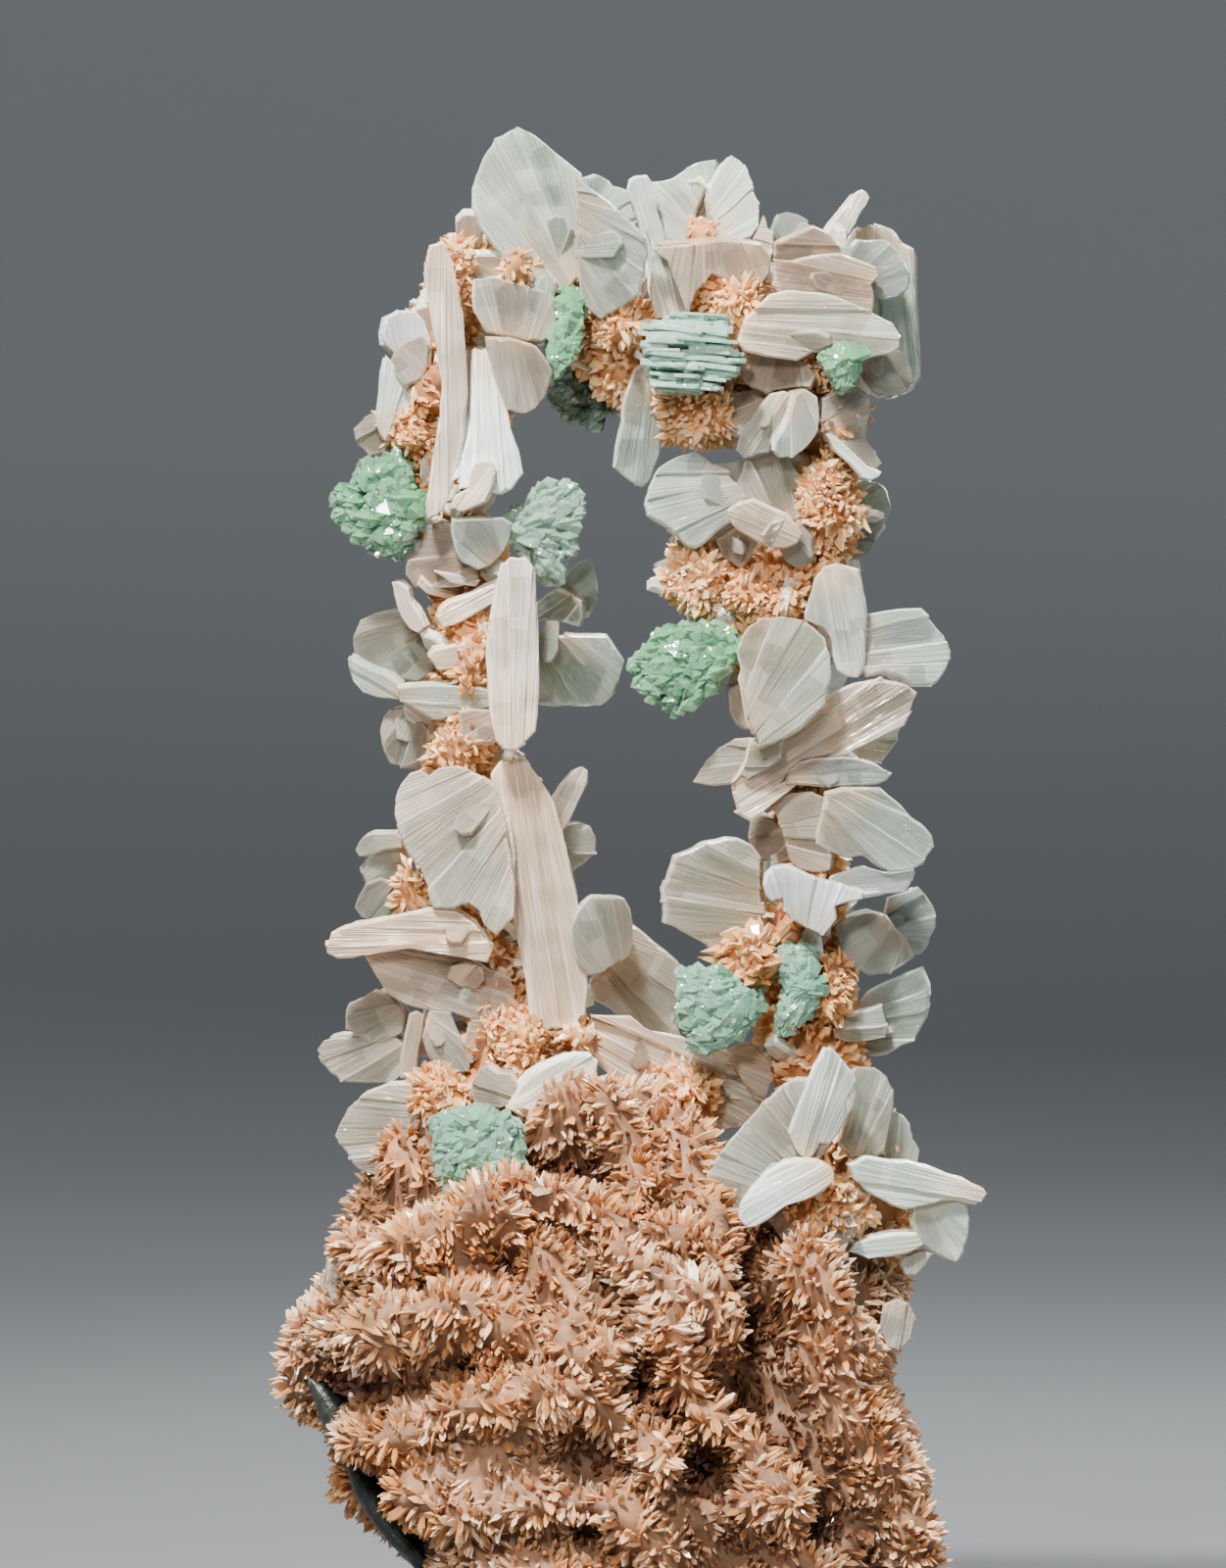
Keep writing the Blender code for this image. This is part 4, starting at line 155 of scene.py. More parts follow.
    ("stilbite_foot_left_fan", -6.2, 4.8, -0.22, 0.10, [(345, 1158), (350, 1145), (358, 1130), (375, 1113), (400, 1103), (428, 1102), (444, 1112), (440, 1140), (436, 1165), (430, 1184), (412, 1192), (388, 1198), (370, 1191), (360, 1180), (352, 1168)]),
    ("stilbite_foot_right_sheaf", -13.6, 4.6, -0.12, 0.12, [(722, 1196), (735, 1175), (750, 1157), (779, 1123), (799, 1105), (812, 1098), (832, 1097), (850, 1110), (864, 1122), (860, 1142), (848, 1166), (834, 1190), (800, 1212), (770, 1228), (752, 1236), (736, 1225), (724, 1210)]),
    ("stilbite_foot_right_sheaf", -16.0, 3.4, 0.10, 0.10, [(840, 1068), (847, 1068), (858, 1080), (868, 1092), (872, 1101), (868, 1112), (862, 1121), (862, 1140), (855, 1155), (845, 1166), (835, 1165), (830, 1175), (822, 1181), (814, 1176), (808, 1165), (803, 1155), (812, 1130), (822, 1105), (830, 1086)]),
    ("stilbite_foot_right_sheaf", -17.6, 4.2, 0.06, 0.14, [(753, 1240), (755, 1225), (765, 1210), (780, 1195), (798, 1184), (815, 1180), (835, 1181), (848, 1190), (850, 1200), (840, 1212), (820, 1222), (800, 1228), (785, 1240), (770, 1249), (760, 1250)]),
    ("stilbite_foot_right_spray", -10.2, 4.2, 0.14, -0.10, [(862, 1098), (870, 1089), (890, 1090), (902, 1100), (910, 1115), (909, 1135), (905, 1152), (900, 1176), (885, 1186), (868, 1182), (856, 1167), (858, 1154), (864, 1135), (868, 1115)]),
    ("stilbite_foot_right_spray", -7.8, 3.8, 0.20, 0.10, [(904, 1130), (918, 1136), (926, 1146), (929, 1160), (937, 1172), (934, 1186), (912, 1188), (896, 1184), (896, 1165), (900, 1146)]),
    ("stilbite_foot_right_spray", -11.6, 4.2, 0.18, 0.12, [(862, 1186), (880, 1178), (900, 1181), (925, 1182), (945, 1188), (965, 1196), (980, 1200), (990, 1206), (1000, 1210), (1004, 1216), (996, 1228), (985, 1226), (975, 1223), (960, 1224), (945, 1228), (930, 1231), (920, 1233), (905, 1228), (890, 1220), (878, 1212), (868, 1200)]),
    ("stilbite_foot_right_spray", -9.4, 4.8, 0.10, 0.14, [(930, 1226), (945, 1218), (965, 1216), (982, 1221), (988, 1240), (985, 1262), (981, 1275), (975, 1285), (965, 1284), (950, 1276), (940, 1268), (931, 1258), (927, 1242)]),
]

# Crystals on the sides and back: piece, root (u, v, depth), tip (u, v, depth),
# half width at the root and near the tip (mm), thickness (mm), roll (degrees).
SPRAY = [
    ("stilbite_back_left", (455, 700, 3.0), (415, 640, 13.0), 2.4, 3.6, 2.6, 20),
    ("stilbite_back_left", (458, 690, 3.0), (480, 610, 14.5), 2.2, 3.6, 2.4, 60),
    ("stilbite_back_left", (458, 705, 3.0), (500, 700, 14.0), 2.4, 3.4, 2.8, -20),
    ("stilbite_back_left", (458, 710, 3.0), (440, 780, 13.0), 2.2, 3.2, 2.4, 80),
    ("stilbite_back_left_low", (515, 985, 4.0), (470, 930, 15.0), 2.6, 4.0, 2.8, 10),
    ("stilbite_back_left_low", (515, 990, 4.0), (540, 920, 16.0), 2.4, 3.8, 2.6, 70),
    ("stilbite_back_left_low", (515, 1000, 4.0), (560, 1030, 14.0), 2.4, 3.4, 2.6, -30),
    ("stilbite_back_top", (600, 330, 4.0), (570, 250, 11.0), 2.6, 4.2, 2.8, 20),
    ("stilbite_back_top", (620, 330, 4.0), (650, 250, 12.0), 2.6, 4.0, 2.8, -20),
    ("stilbite_back_top", (615, 335, 4.0), (612, 330, 15.5), 2.6, 3.8, 2.8, 75),
    ("stilbite_back_right_top", (800, 330, 4.0), (770, 260, 11.0), 2.6, 4.0, 2.8, 25),
    ("stilbite_back_right_top", (810, 335, 4.0), (850, 300, 13.0), 2.4, 3.8, 2.8, -35),
    ("stilbite_back_right_top", (800, 340, 4.0), (800, 385, 14.0), 2.6, 3.8, 2.6, 80),
    ("stilbite_back_right", (812, 700, 3.5), (790, 640, 13.5), 2.6, 4.2, 2.8, 15),
    ("stilbite_back_right", (815, 705, 3.5), (860, 680, 13.0), 2.4, 3.8, 2.6, -60),
    ("stilbite_back_right", (812, 715, 3.5), (830, 780, 14.0), 2.4, 3.6, 2.8, 60),
    ("stilbite_back_right_low", (815, 960, 4.0), (780, 910, 14.0), 2.6, 3.8, 2.8, 30),
    ("stilbite_back_right_low", (820, 965, 4.0), (860, 930, 14.5), 2.4, 3.8, 2.6, -40),
    ("stilbite_back_right_low", (820, 980, 4.0), (815, 1040, 14.0), 2.4, 3.6, 2.6, 80),
    ("stilbite_back_foot_left", (480, 1190, 12.0), (440, 1120, 22.0), 3.0, 4.6, 3.2, 20),
    ("stilbite_back_foot_left", (485, 1195, 12.0), (520, 1130, 24.0), 2.8, 4.4, 3.0, -25),
    ("stilbite_back_foot_left", (480, 1205, 12.0), (470, 1220, 27.0), 2.8, 4.2, 3.0, 75),
    ("stilbite_back_foot_right", (740, 1240, 14.0), (700, 1180, 24.0), 3.0, 4.6, 3.2, 30),
    ("stilbite_back_foot_right", (745, 1240, 14.0), (800, 1190, 25.0), 2.8, 4.4, 3.0, -30),
    ("stilbite_back_foot_right", (742, 1250, 14.0), (745, 1290, 28.0), 2.8, 4.2, 3.0, 80),
]

# Hidden common roots where the crystals of a piece meet: u, v, depth, radius.
ROOTS = [
    ("stilbite_top_left_fan", 560, 262, -4.6, 3.4),
    ("stilbite_top_left_fan", 590, 232, -5.6, 3.0),
    ("stilbite_left_tablets", 522, 338, -6.6, 2.6),
    ("stilbite_left_shoulder", 412, 362, -4.6, 2.4),
    ("stilbite_left_shoulder", 396, 432, -3.4, 2.0),
    ("stilbite_crest", 684, 250, -4.4, 3.0),
    ("stilbite_crest", 722, 232, -4.4, 2.6),
    ("stilbite_crest_right", 806, 254, -3.6, 2.4),
    ("stilbite_crest_right", 842, 252, -3.2, 2.2),
    ("stilbite_right_shoulder", 862, 292, -4.6, 3.0),
    ("stilbite_right_shoulder", 870, 345, -6.4, 2.8),
    ("stilbite_right_shoulder", 800, 350, -7.0, 2.8),
    ("stilbite_right_shoulder", 892, 364, -4.8, 2.2),
    ("stilbite_hanging_finger", 806, 408, -6.4, 2.4),
    ("stilbite_hanging_finger", 776, 410, -5.0, 2.2),
    ("stilbite_right_arm", 856, 440, -5.6, 2.4),
    ("stilbite_window_fan", 752, 500, -5.2, 2.6),
    ("stilbite_window_fan", 748, 534, -6.6, 2.8),
    ("stilbite_window_fan", 806, 536, -6.6, 2.2),
    ("stilbite_tablet_sheaf", 790, 748, -7.0, 3.0),
    ("stilbite_tablet_sheaf", 766, 736, -5.2, 2.4),
    ("stilbite_tablet_sheaf", 758, 776, -5.0, 2.4),
    ("stilbite_white_polygon", 842, 812, -7.2, 2.8),
    ("stilbite_white_polygon", 838, 796, -7.0, 2.4),
    ("stilbite_white_polygon", 800, 850, -4.2, 2.4),
    ("stilbite_low_clear", 908, 944, -1.0, 2.2),
    ("stilbite_low_clear", 896, 996, -2.0, 2.4),
    ("stilbite_low_clear", 880, 1042, -2.6, 2.0),
    ("stilbite_left_block", 500, 566, -8.4, 3.0),
    ("stilbite_left_block", 472, 566, -6.2, 2.4),
    ("stilbite_left_block", 506, 732, -9.2, 2.4),
    ("stilbite_clear_bar", 552, 640, -4.0, 2.4),
    ("stilbite_clear_bar", 578, 614, -1.2, 2.2),
    ("stilbite_left_stack", 440, 640, -3.6, 3.0),
    ("stilbite_left_stack", 452, 664, -4.4, 3.0),
    ("stilbite_left_stack", 430, 700, -3.6, 3.0),
    ("stilbite_left_stack", 424, 726, -2.6, 2.4),
    ("stilbite_big_sheaf", 512, 812, -7.4, 3.0),
    ("stilbite_big_sheaf", 560, 846, -4.0, 2.6),
    ("stilbite_big_sheaf", 572, 862, -2.0, 2.2),
    ("stilbite_left_small", 404, 874, -2.0, 2.4),
    ("stilbite_left_small", 400, 904, -1.6, 2.2),
    ("stilbite_low_left_fan", 410, 1026, -2.6, 2.6),
    ("stilbite_low_left_fan", 412, 1056, -2.4, 2.4),
    ("stilbite_low_left_fan", 434, 1044, -4.0, 2.4),
    ("stilbite_rear_plates", 622, 976, -2.4, 3.4),
    ("stilbite_rear_plates", 640, 1044, -0.4, 3.2),
    ("apophyllite_foot", 492, 1170, -15.6, 3.4),
    ("apophyllite_low_middle", 778, 1024, -6.6, 3.0),
    ("apophyllite_window", 752, 650, -5.4, 2.8),
    ("apophyllite_pearly", 730, 362, -7.0, 3.0),
    ("stilbite_foot_pair", 524, 1116, -11.2, 2.2),
    ("stilbite_foot_right_sheaf", 832, 1140, -14.8, 2.6),
    ("stilbite_foot_right_sheaf", 826, 1194, -15.4, 2.6),
    ("stilbite_foot_right_spray", 880, 1176, -10.8, 2.6),
    ("stilbite_foot_right_spray", 872, 1164, -7.8, 3.0),
    ("stilbite_foot_right_spray", 914, 1182, -9.8, 2.4),
    ("stilbite_foot_right_spray", 942, 1228, -10.2, 2.6),
    ("stilbite_back_left", 458, 700, 4.6, 2.6),
    ("stilbite_back_left_low", 515, 990, 5.6, 2.8),
    ("stilbite_back_top", 612, 332, 6.0, 3.0),
    ("stilbite_back_right_top", 803, 335, 5.6, 2.8),
    ("stilbite_back_right", 813, 706, 5.0, 2.8),
    ("stilbite_back_right_low", 818, 968, 5.4, 2.8),
    ("stilbite_back_foot_left", 482, 1196, 16.0, 3.4),
    ("stilbite_back_foot_right", 742, 1243, 18.0, 3.4),
]

# Fluorapophyllite: piece, outline, root (u, v), depth, thickness, crystals.
APOPHYLLITE = [
    ("apophyllite_upper_left", [(392, 455), (404, 452), (414, 466), (420, 480), (427, 500), (432, 520), (437, 535), (428, 550), (418, 562), (408, 574), (385, 576), (372, 566), (358, 558), (352, 545), (342, 540), (338, 530), (334, 518), (333, 508), (340, 498), (354, 495), (360, 478), (365, 468), (385, 462)], (420, 516), -4.6, 8.4, 7),
    ("apophyllite_pearly", [(655, 335), (663, 328), (681, 321), (700, 321), (730, 322), (745, 328), (750, 336), (748, 350), (757, 368), (760, 372), (752, 385), (735, 395), (712, 401), (700, 405), (690, 400), (676, 398), (664, 388), (656, 370), (657, 350)], (738, 358), -10.4, 6.0, 7),
    ("apophyllite_window", [(658, 647), (672, 640), (690, 636), (715, 634), (735, 637), (748, 648), (757, 668), (752, 680), (740, 690), (728, 703), (720, 712), (706, 722), (698, 724), (690, 732), (678, 733), (674, 722), (660, 720), (652, 712), (640, 700), (641, 690), (636, 680), (644, 672), (657, 663)], (744, 662), -6.4, 6.2, 7),
    ("apophyllite_low_middle", [(685, 990), (692, 984), (710, 984), (730, 988), (745, 990), (757, 1003), (768, 1016), (774, 1030), (771, 1045), (762, 1058), (750, 1062), (735, 1072), (720, 1077), (706, 1077), (696, 1072), (697, 1058), (690, 1050), (684, 1040), (681, 1025), (684, 1015), (690, 1005)], (762, 1022), -9.4, 6.2, 7),
    ("apophyllite_foot", [(433, 1144), (442, 1137), (460, 1132), (485, 1127), (500, 1133), (518, 1138), (537, 1143), (540, 1158), (537, 1175), (538, 1195), (534, 1215), (524, 1230), (508, 1238), (490, 1241), (472, 1237), (455, 1229), (443, 1215), (439, 1195), (435, 1175), (440, 1160)], (500, 1146), -14.6, 6.4, 7),
    ("apophyllite_shaded", [(576, 380), (592, 366), (615, 352), (640, 350), (660, 356), (662, 372), (650, 384), (641, 397), (634, 410), (626, 425), (612, 440), (603, 445), (594, 437), (585, 430), (575, 433), (565, 420), (557, 410), (556, 399), (566, 388)], (628, 366), 6.4, 8.0, 7),
    ("apophyllite_shoulder", [(830, 366), (836, 357), (845, 352), (855, 354), (866, 357), (872, 367), (880, 378), (876, 388), (868, 395), (862, 405), (852, 405), (847, 392), (842, 380), (833, 374)], (862, 366), -9.8, 4.2, 6),
    ("apophyllite_slim", [(561, 302), (572, 302), (588, 297), (592, 315), (595, 335), (593, 345), (591, 360), (585, 372), (577, 376), (573, 386), (561, 393), (556, 396), (562, 377), (563, 350), (568, 335), (565, 315)], (580, 312), -7.4, 4.6, 6),
    ("apophyllite_pale_fans", [(516, 522), (528, 516), (536, 518), (545, 500), (555, 489), (568, 489), (580, 485), (590, 492), (598, 502), (601, 520), (598, 540), (591, 554), (592, 570), (585, 581), (578, 598), (568, 600), (556, 598), (545, 586), (540, 572), (528, 562), (517, 550)], (528, 540), -5.2, 5.8, 7),
    ("apophyllite_sparkling", [(793, 962), (810, 957), (830, 962), (832, 985), (829, 1005), (828, 1030), (820, 1045), (806, 1056), (795, 1060), (790, 1050), (794, 1030), (800, 1015), (794, 1000), (796, 980)], (820, 1006), -8.2, 5.4, 6),
]

# Matrix: path points (u, v, depth, radius in mm).
LEFT_PILLAR = [(516, 1150, 0.0, 6.2), (515, 1100, 0.0, 5.2), (520, 1060, -0.5, 4.6), (512, 1000, 0.0, 4.0), (482, 940, 0.0, 3.9), (462, 890, 0.0, 3.8), (466, 830, 0.0, 3.6), (474, 770, -0.5, 3.8), (470, 710, 0.0, 3.4), (474, 650, 0.0, 3.4), (488, 590, 0.0, 3.4), (462, 530, 0.0, 3.2), (434, 470, -0.5, 3.6), (428, 430, -0.5, 3.6), (442, 370, 0.0, 3.5), (462, 310, 0.0, 3.6), (476, 266, 0.0, 3.2), (496, 248, 0.6, 2.2)]
RIGHT_PILLAR = [(868, 1330, 0.0, 7.2), (872, 1260, -1.0, 6.0), (858, 1180, -1.0, 5.0), (836, 1110, -1.0, 4.6), (822, 1050, -1.0, 4.8), (820, 990, -1.0, 4.6), (822, 930, -1.0, 3.8), (830, 870, -1.0, 3.5), (824, 800, 0.0, 3.4), (806, 740, 0.0, 3.6), (788, 680, -0.5, 4.2), (784, 620, -1.0, 4.4), (812, 578, -0.5, 3.9), (848, 540, 0.0, 3.4), (846, 490, 0.0, 3.4), (834, 440, 0.0, 3.6), (826, 390, 0.0, 3.6), (824, 340, 0.0, 3.8), (836, 296, 0.4, 3.2), (856, 276, 0.8, 2.4)]
BRIDGE = [(470, 292, 0.2, 3.4), (520, 282, 0.0, 3.6), (562, 296, 0.0, 3.8), (604, 330, 0.4, 4.4), (650, 372, 0.4, 4.4), (700, 408, 0.0, 4.8), (748, 398, 0.0, 4.2), (790, 368, 0.0, 3.8), (830, 350, 0.0, 3.4)]
BRIDGE_TOP = [(700, 400, 0.0, 3.6), (706, 350, 0.0, 3.4), (720, 300, 0.0, 3.6), (730, 262, 0.2, 3.2), (744, 236, 0.4, 2.2)]
WINDOW_STUB = [(800, 604, -0.5, 3.6), (760, 608, -0.8, 3.8), (724, 596, -0.8, 3.6), (700, 590, -0.8, 2.8), (686, 592, -0.8, 1.8)]

# Foot: height line v, left u, right u, front depth, back depth (mm).
FOOT = [
    (1104, 470, 600, -5.0, 5.0),
    (1124, 434, 672, -10.5, 9.5),
    (1160, 396, 716, -14.5, 13.5),
    (1205, 366, 756, -17.6, 16.6),
    (1252, 352, 860, -20.0, 18.6),
    (1290, 344, 914, -22.0, 20.4),
    (1335, 330, 898, -24.0, 22.0),
    (1380, 306, 886, -25.4, 23.4),
    (1408, 300, 892, -26.2, 24.4),
    (1450, 338, 910, -26.6, 25.0),
    (1505, 362, 926, -27.0, 25.4),
    (1560, 406, 950, -26.6, 25.0),
    (1612, 446, 936, -25.4, 24.0),
    (1660, 458, 926, -24.4, 23.0),
    (1722, 466, 918, -23.8, 22.2),
]


# Thin crystals that are too small for solids: piece they ride with, depth,
# thickness, slope u, slope v, outline.
THIN = [
    ("stilbite_top_left_fan", -1.5, 2.4, -0.15, 0.30, [(474, 216), (483, 214), (489, 228), (488, 242), (476, 243), (468, 237), (466, 227)]),
    ("stilbite_left_tablets", -6.2, 3.0, -0.18, 0.10, [(545, 300), (552, 284), (562, 278), (570, 288), (566, 304), (568, 330), (560, 350), (550, 345)]),
    ("stilbite_crest", -4.4, 4.4, -0.10, -0.18, [(772, 240), (779, 222), (782, 226), (784, 236), (791, 241), (790, 264), (776, 266), (764, 256)]),
    ("stilbite_window_fan", -4.8, 3.2, 0.10, 0.24, [(728, 548), (752, 536), (774, 552), (764, 570), (756, 579), (746, 574), (736, 564)]),
    ("stilbite_window_fan", -2.6, 3.4, 0.12, -0.20, [(726, 476), (745, 473), (762, 475), (764, 492), (748, 499), (733, 486)]),
    ("stilbite_tablet_sheaf", -9.2, 3.2, -0.12, 0.20, [(766, 758), (784, 750), (802, 752), (800, 772), (790, 781), (778, 787), (764, 794), (756, 790), (762, 775)]),
    ("stilbite_tablet_sheaf", -2.4, 4.0, 0.12, 0.10, [(872, 752), (890, 742), (918, 740), (915, 755), (905, 768), (898, 779), (880, 776), (868, 766)]),
    ("stilbite_left_stack", -4.4, 3.0, -0.24, 0.16, [(402, 593), (410, 592), (419, 600), (421, 612), (429, 622), (437, 638), (430, 645), (420, 641), (412, 630), (407, 618), (404, 605)]),
    ("stilbite_low_left_fan", -4.8, 3.0, 0.10, 0.06, [(418, 1034), (425, 1031), (432, 1035), (431, 1050), (427, 1070), (425, 1094), (418, 1101), (408, 1100), (408, 1080), (413, 1055)]),
    ("stilbite_rear_plates", -4.2, 3.4, 0.16, 0.12, [(742, 1072), (756, 1064), (768, 1064), (786, 1084), (788, 1100), (778, 1119), (768, 1118), (754, 1098)]),
    ("stilbite_foot_right_spray", -11.6, 3.6, 0.04, 0.16, [(863, 1275), (870, 1266), (890, 1260), (915, 1256), (934, 1256), (942, 1268), (926, 1277), (905, 1281), (885, 1283)]),
    ("stilbite_foot_right_sheaf", -12.6, 5.6, 0.06, 0.12, [(784, 1246), (795, 1236), (830, 1234), (866, 1234), (872, 1246), (868, 1260), (858, 1277), (840, 1280), (815, 1276), (798, 1266)]),
    ("stilbite_left_stack", -6.4, 1.2, 0.05, 0.20, [(443, 582), (460, 585), (490, 592), (485, 598), (460, 594)]),
    ("stilbite_low_left_fan", -5.4, 2.4, 0.10, 0.10, [(460, 985), (475, 980), (492, 985), (494, 1000), (485, 1008), (468, 1006), (456, 998)]),
    ("stilbite_low_left_fan", -3.0, 3.0, 0.05, 0.10, [(480, 1038), (525, 1038), (530, 1045), (515, 1060), (500, 1075), (480, 1085), (470, 1070)]),
    ("stilbite_foot_right_spray", -10.6, 3.0, 0.05, 0.05, [(922, 1280), (940, 1275), (952, 1278), (945, 1290), (935, 1300), (922, 1300), (918, 1290)]),
    ("stilbite_foot_right_spray", -9.0, 3.4, 0.10, 0.05, [(900, 1330), (915, 1324), (928, 1330), (935, 1345), (930, 1366), (918, 1378), (904, 1374), (898, 1352)]),
    ("stilbite_foot_left_fan", -6.0, 3.0, 0.12, 0.05, [(334, 1285), (345, 1280), (352, 1300), (348, 1325), (337, 1330), (330, 1310)]),
]


# ---- noise and small helpers --------------------------------------------------
def lattice(ix, iy, iz, seed):
    h = (ix * 374761393 + iy * 668265263 + iz * 1442695041 + seed * 1274126177) & 0xFFFFFFFF
    h = ((h ^ (h >> 13)) * 1274126177) & 0xFFFFFFFF
    h = (h ^ (h >> 16)) & 0xFFFFFF
    return h / float(0xFFFFFF) * 2.0 - 1.0


def noise(p, seed=0):
    """Smooth noise from -1 to 1 at points p (n, 3)."""
    p = np.asarray(p, float)
    i = np.floor(p).astype(np.int64)
    f = p - i
    w = f * f * (3.0 - 2.0 * f)
    out = 0.0
    for dx in (0, 1):
        wx = w[:, 0] if dx else 1 - w[:, 0]
        for dy in (0, 1):
            wy = w[:, 1] if dy else 1 - w[:, 1]
            for dz in (0, 1):
                wz = w[:, 2] if dz else 1 - w[:, 2]
                out = out + wx * wy * wz * lattice(i[:, 0] + dx, i[:, 1] + dy, i[:, 2] + dz, seed)
    return out


def unit(a):
    return a / np.maximum(np.linalg.norm(a, axis=-1, keepdims=True), 1e-12)


class Pile:
    """Vertices, faces and per-vertex values of many joined meshes."""

    def __init__(self):
        self.v, self.f, self.a, self.n = [], [], {}, 0

    def add(self, verts, faces, **values):
        verts = np.asarray(verts, float).reshape(-1, 3)
        faces = np.asarray(faces, np.int64)
        self.v.append(verts)
        self.f.append(faces + self.n)
        for name, value in values.items():
            value = np.asarray(value, float)
            if name == "local":
                value = np.broadcast_to(value, (len(verts), 3)).reshape(-1, 3)
            else:
                value = np.broadcast_to(value, (len(verts),)).reshape(-1)
            self.a.setdefault(name, []).append(value)
        self.n += len(verts)

    def make(self, name, material, sharp=None, slot=None, replaces=()):
        verts = np.concatenate(self.v)
        faces = np.concatenate(self.f)
        mesh = bpy.data.meshes.new(name)
        mesh.from_pydata(verts.tolist(), [], faces.tolist())
        for key, parts in self.a.items():
            data = np.concatenate(parts).astype(np.float32)
            if key == "local":
                att = mesh.attributes.new(key, "FLOAT_VECTOR", "POINT")
                att.data.foreach_set("vector", data.ravel())
            else:
                att = mesh.attributes.new(key, "FLOAT", "POINT")
                att.data.foreach_set("value", data)
        mesh.update()
        if sharp is not None:
            mesh.polygons.foreach_set("use_smooth", np.ones(len(mesh.polygons), bool))
            mesh.set_sharp_from_angle(angle=math.radians(sharp))
        mesh.materials.append(material)
        obj = bpy.data.objects.new(name, mesh)
        bpy.context.scene.collection.objects.link(obj)
        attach(obj, "root")
        if replaces:
            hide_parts(*replaces)
        return obj


# ---- many small blade-shaped crystals -----------------------------------------
LATH_FACES = np.array([
    (0, 1, 5), (0, 5, 4), (1, 2, 6), (1, 6, 5), (2, 3, 7), (2, 7, 6), (3, 0, 4), (3, 4, 7),
    (0, 3, 2), (0, 2, 1),
    (4, 5, 9), (4, 9, 8), (6, 7, 8), (6, 8, 9), (5, 6, 9), (7, 4, 8),
])


def laths(pile, base, axis, side, length, width, thick, shoulder, edge, hue, deep):
    """Closed blades that end in a roof-like wedge, one for each row."""
    n = len(base)
    axis = unit(axis)
    side = unit(side - axis * np.sum(side * axis, -1, keepdims=True))
    up = np.cross(axis, side)
    L, W, T = length[:, None], width[:, None], thick[:, None]
    rows = []
    for t, w, d in ((-0.25, 0.5, 0.8), (None, 1.0, 1.0)):
        tt = shoulder[:, None] if t is None else t
        mid = base + axis * L * tt
        for sx, sy in ((-1, -1), (1, -1), (1, 1), (-1, 1)):
            rows.append(mid + side * W * (0.5 * w * sx) + up * T * (0.5 * d * sy))
    for sx in (-1, 1):
        rows.append(base + axis * L + side * W * (0.5 * sx) * edge[:, None])
    verts = np.stack(rows, 1).reshape(-1, 3)
    faces = (LATH_FACES[None] + (np.arange(n) * 10)[:, None, None]).reshape(-1, 3)
    tip = np.tile(np.array([0, 0, 0, 0, 0.72, 0.72, 0.72, 0.72, 1, 1.0]), n)
    pile.add(verts, faces, tip=tip, hue=np.repeat(hue, 10), deep=np.repeat(deep, 10))


def scatter(rng, verts, tris, count):
    """Points spread evenly by area on a triangle mesh, with their normals."""
    a, b, c = verts[tris[:, 0]], verts[tris[:, 1]], verts[tris[:, 2]]
    cr = np.cross(b - a, c - a)
    area = np.linalg.norm(cr, axis=1)
    pick = rng.choice(len(tris), count, p=area / area.sum())
    r1, r2 = np.sqrt(rng.random(count)), rng.random(count)
    p = a[pick] * (1 - r1)[:, None] + b[pick] * (r1 * (1 - r2))[:, None] + c[pick] * (r1 * r2)[:, None]
    return p, unit(cr[pick]), pick, (1 - r1, r1 * (1 - r2), r1 * r2)


# ---- the matrix surfaces --------------------------------------------------------
RIDGES = [
    [(558, 1142), (590, 1122), (625, 1109), (673, 1128), (701, 1171), (721, 1219), (735, 1271), (740, 1310)],
    [(539, 1214), (577, 1219), (625, 1243), (673, 1262), (721, 1271)],
    [(625, 1281), (668, 1310), (711, 1329), (740, 1362)],
    [(682, 1348), (692, 1391), (701, 1434), (740, 1453), (773, 1487), (797, 1530), (826, 1590), (835, 1650)],
    [(362, 1271), (395, 1281), (453, 1262), (510, 1247)],
    [(319, 1358), (367, 1377), (434, 1348), (481, 1348), (520, 1367)],
    [(347, 1458), (414, 1463), (481, 1434), (548, 1415), (596, 1425), (644, 1463), (673, 1496)],
    [(434, 1511), (491, 1539), (558, 1530), (625, 1535), (673, 1578), (690, 1640)],
    [(816, 1281), (840, 1348), (855, 1415), (888, 1487), (931, 1530), (925, 1600)],
    [(560, 1290), (590, 1330), (575, 1380), (620, 1400)],
    [(470, 1600), (540, 1590), (600, 1610), (640, 1660)],
    [(610, 1150), (640, 1180), (650, 1215)],
]
HOLLOWS = [(550, 1190, 20, 5.0), (655, 1408, 22, 5.5), (722, 1500, 30, 6.5), (842, 1562, 28, 6.0), (780, 1350, 30, 6.0), (648, 1395, 14, 3.0), (600, 1180, 22, 3.0), (770, 1425, 22, 5.0), (520, 1290, 16, 3.0), (690, 1440, 18, 5.0), (430, 1320, 20, 3.0), (760, 1300, 22, 4.0), (470, 1395, 18, 3.0)]


def near_path(p, path):
    best = np.full(len(p), 1e9)
    for a, b in zip(path, path[1:]):
        a, b = np.array(a, float), np.array(b, float)
        d = b - a
        t = np.clip(((p - a) @ d) / (d @ d), 0, 1)
        best = np.minimum(best, np.linalg.norm(p - (a + t[:, None] * d), axis=1))
    return best


def grid_faces(rows, cols):
    i = np.arange(rows - 1)[:, None]
    j = np.arange(cols)[None, :]
    k = (j + 1) % cols
    a, b, c, d = i * cols + j, i * cols + k, (i + 1) * cols + k, (i + 1) * cols + j
    return np.stack([np.stack([a, b, c], -1), np.stack([a, c, d], -1)], 2).reshape(-1, 3)


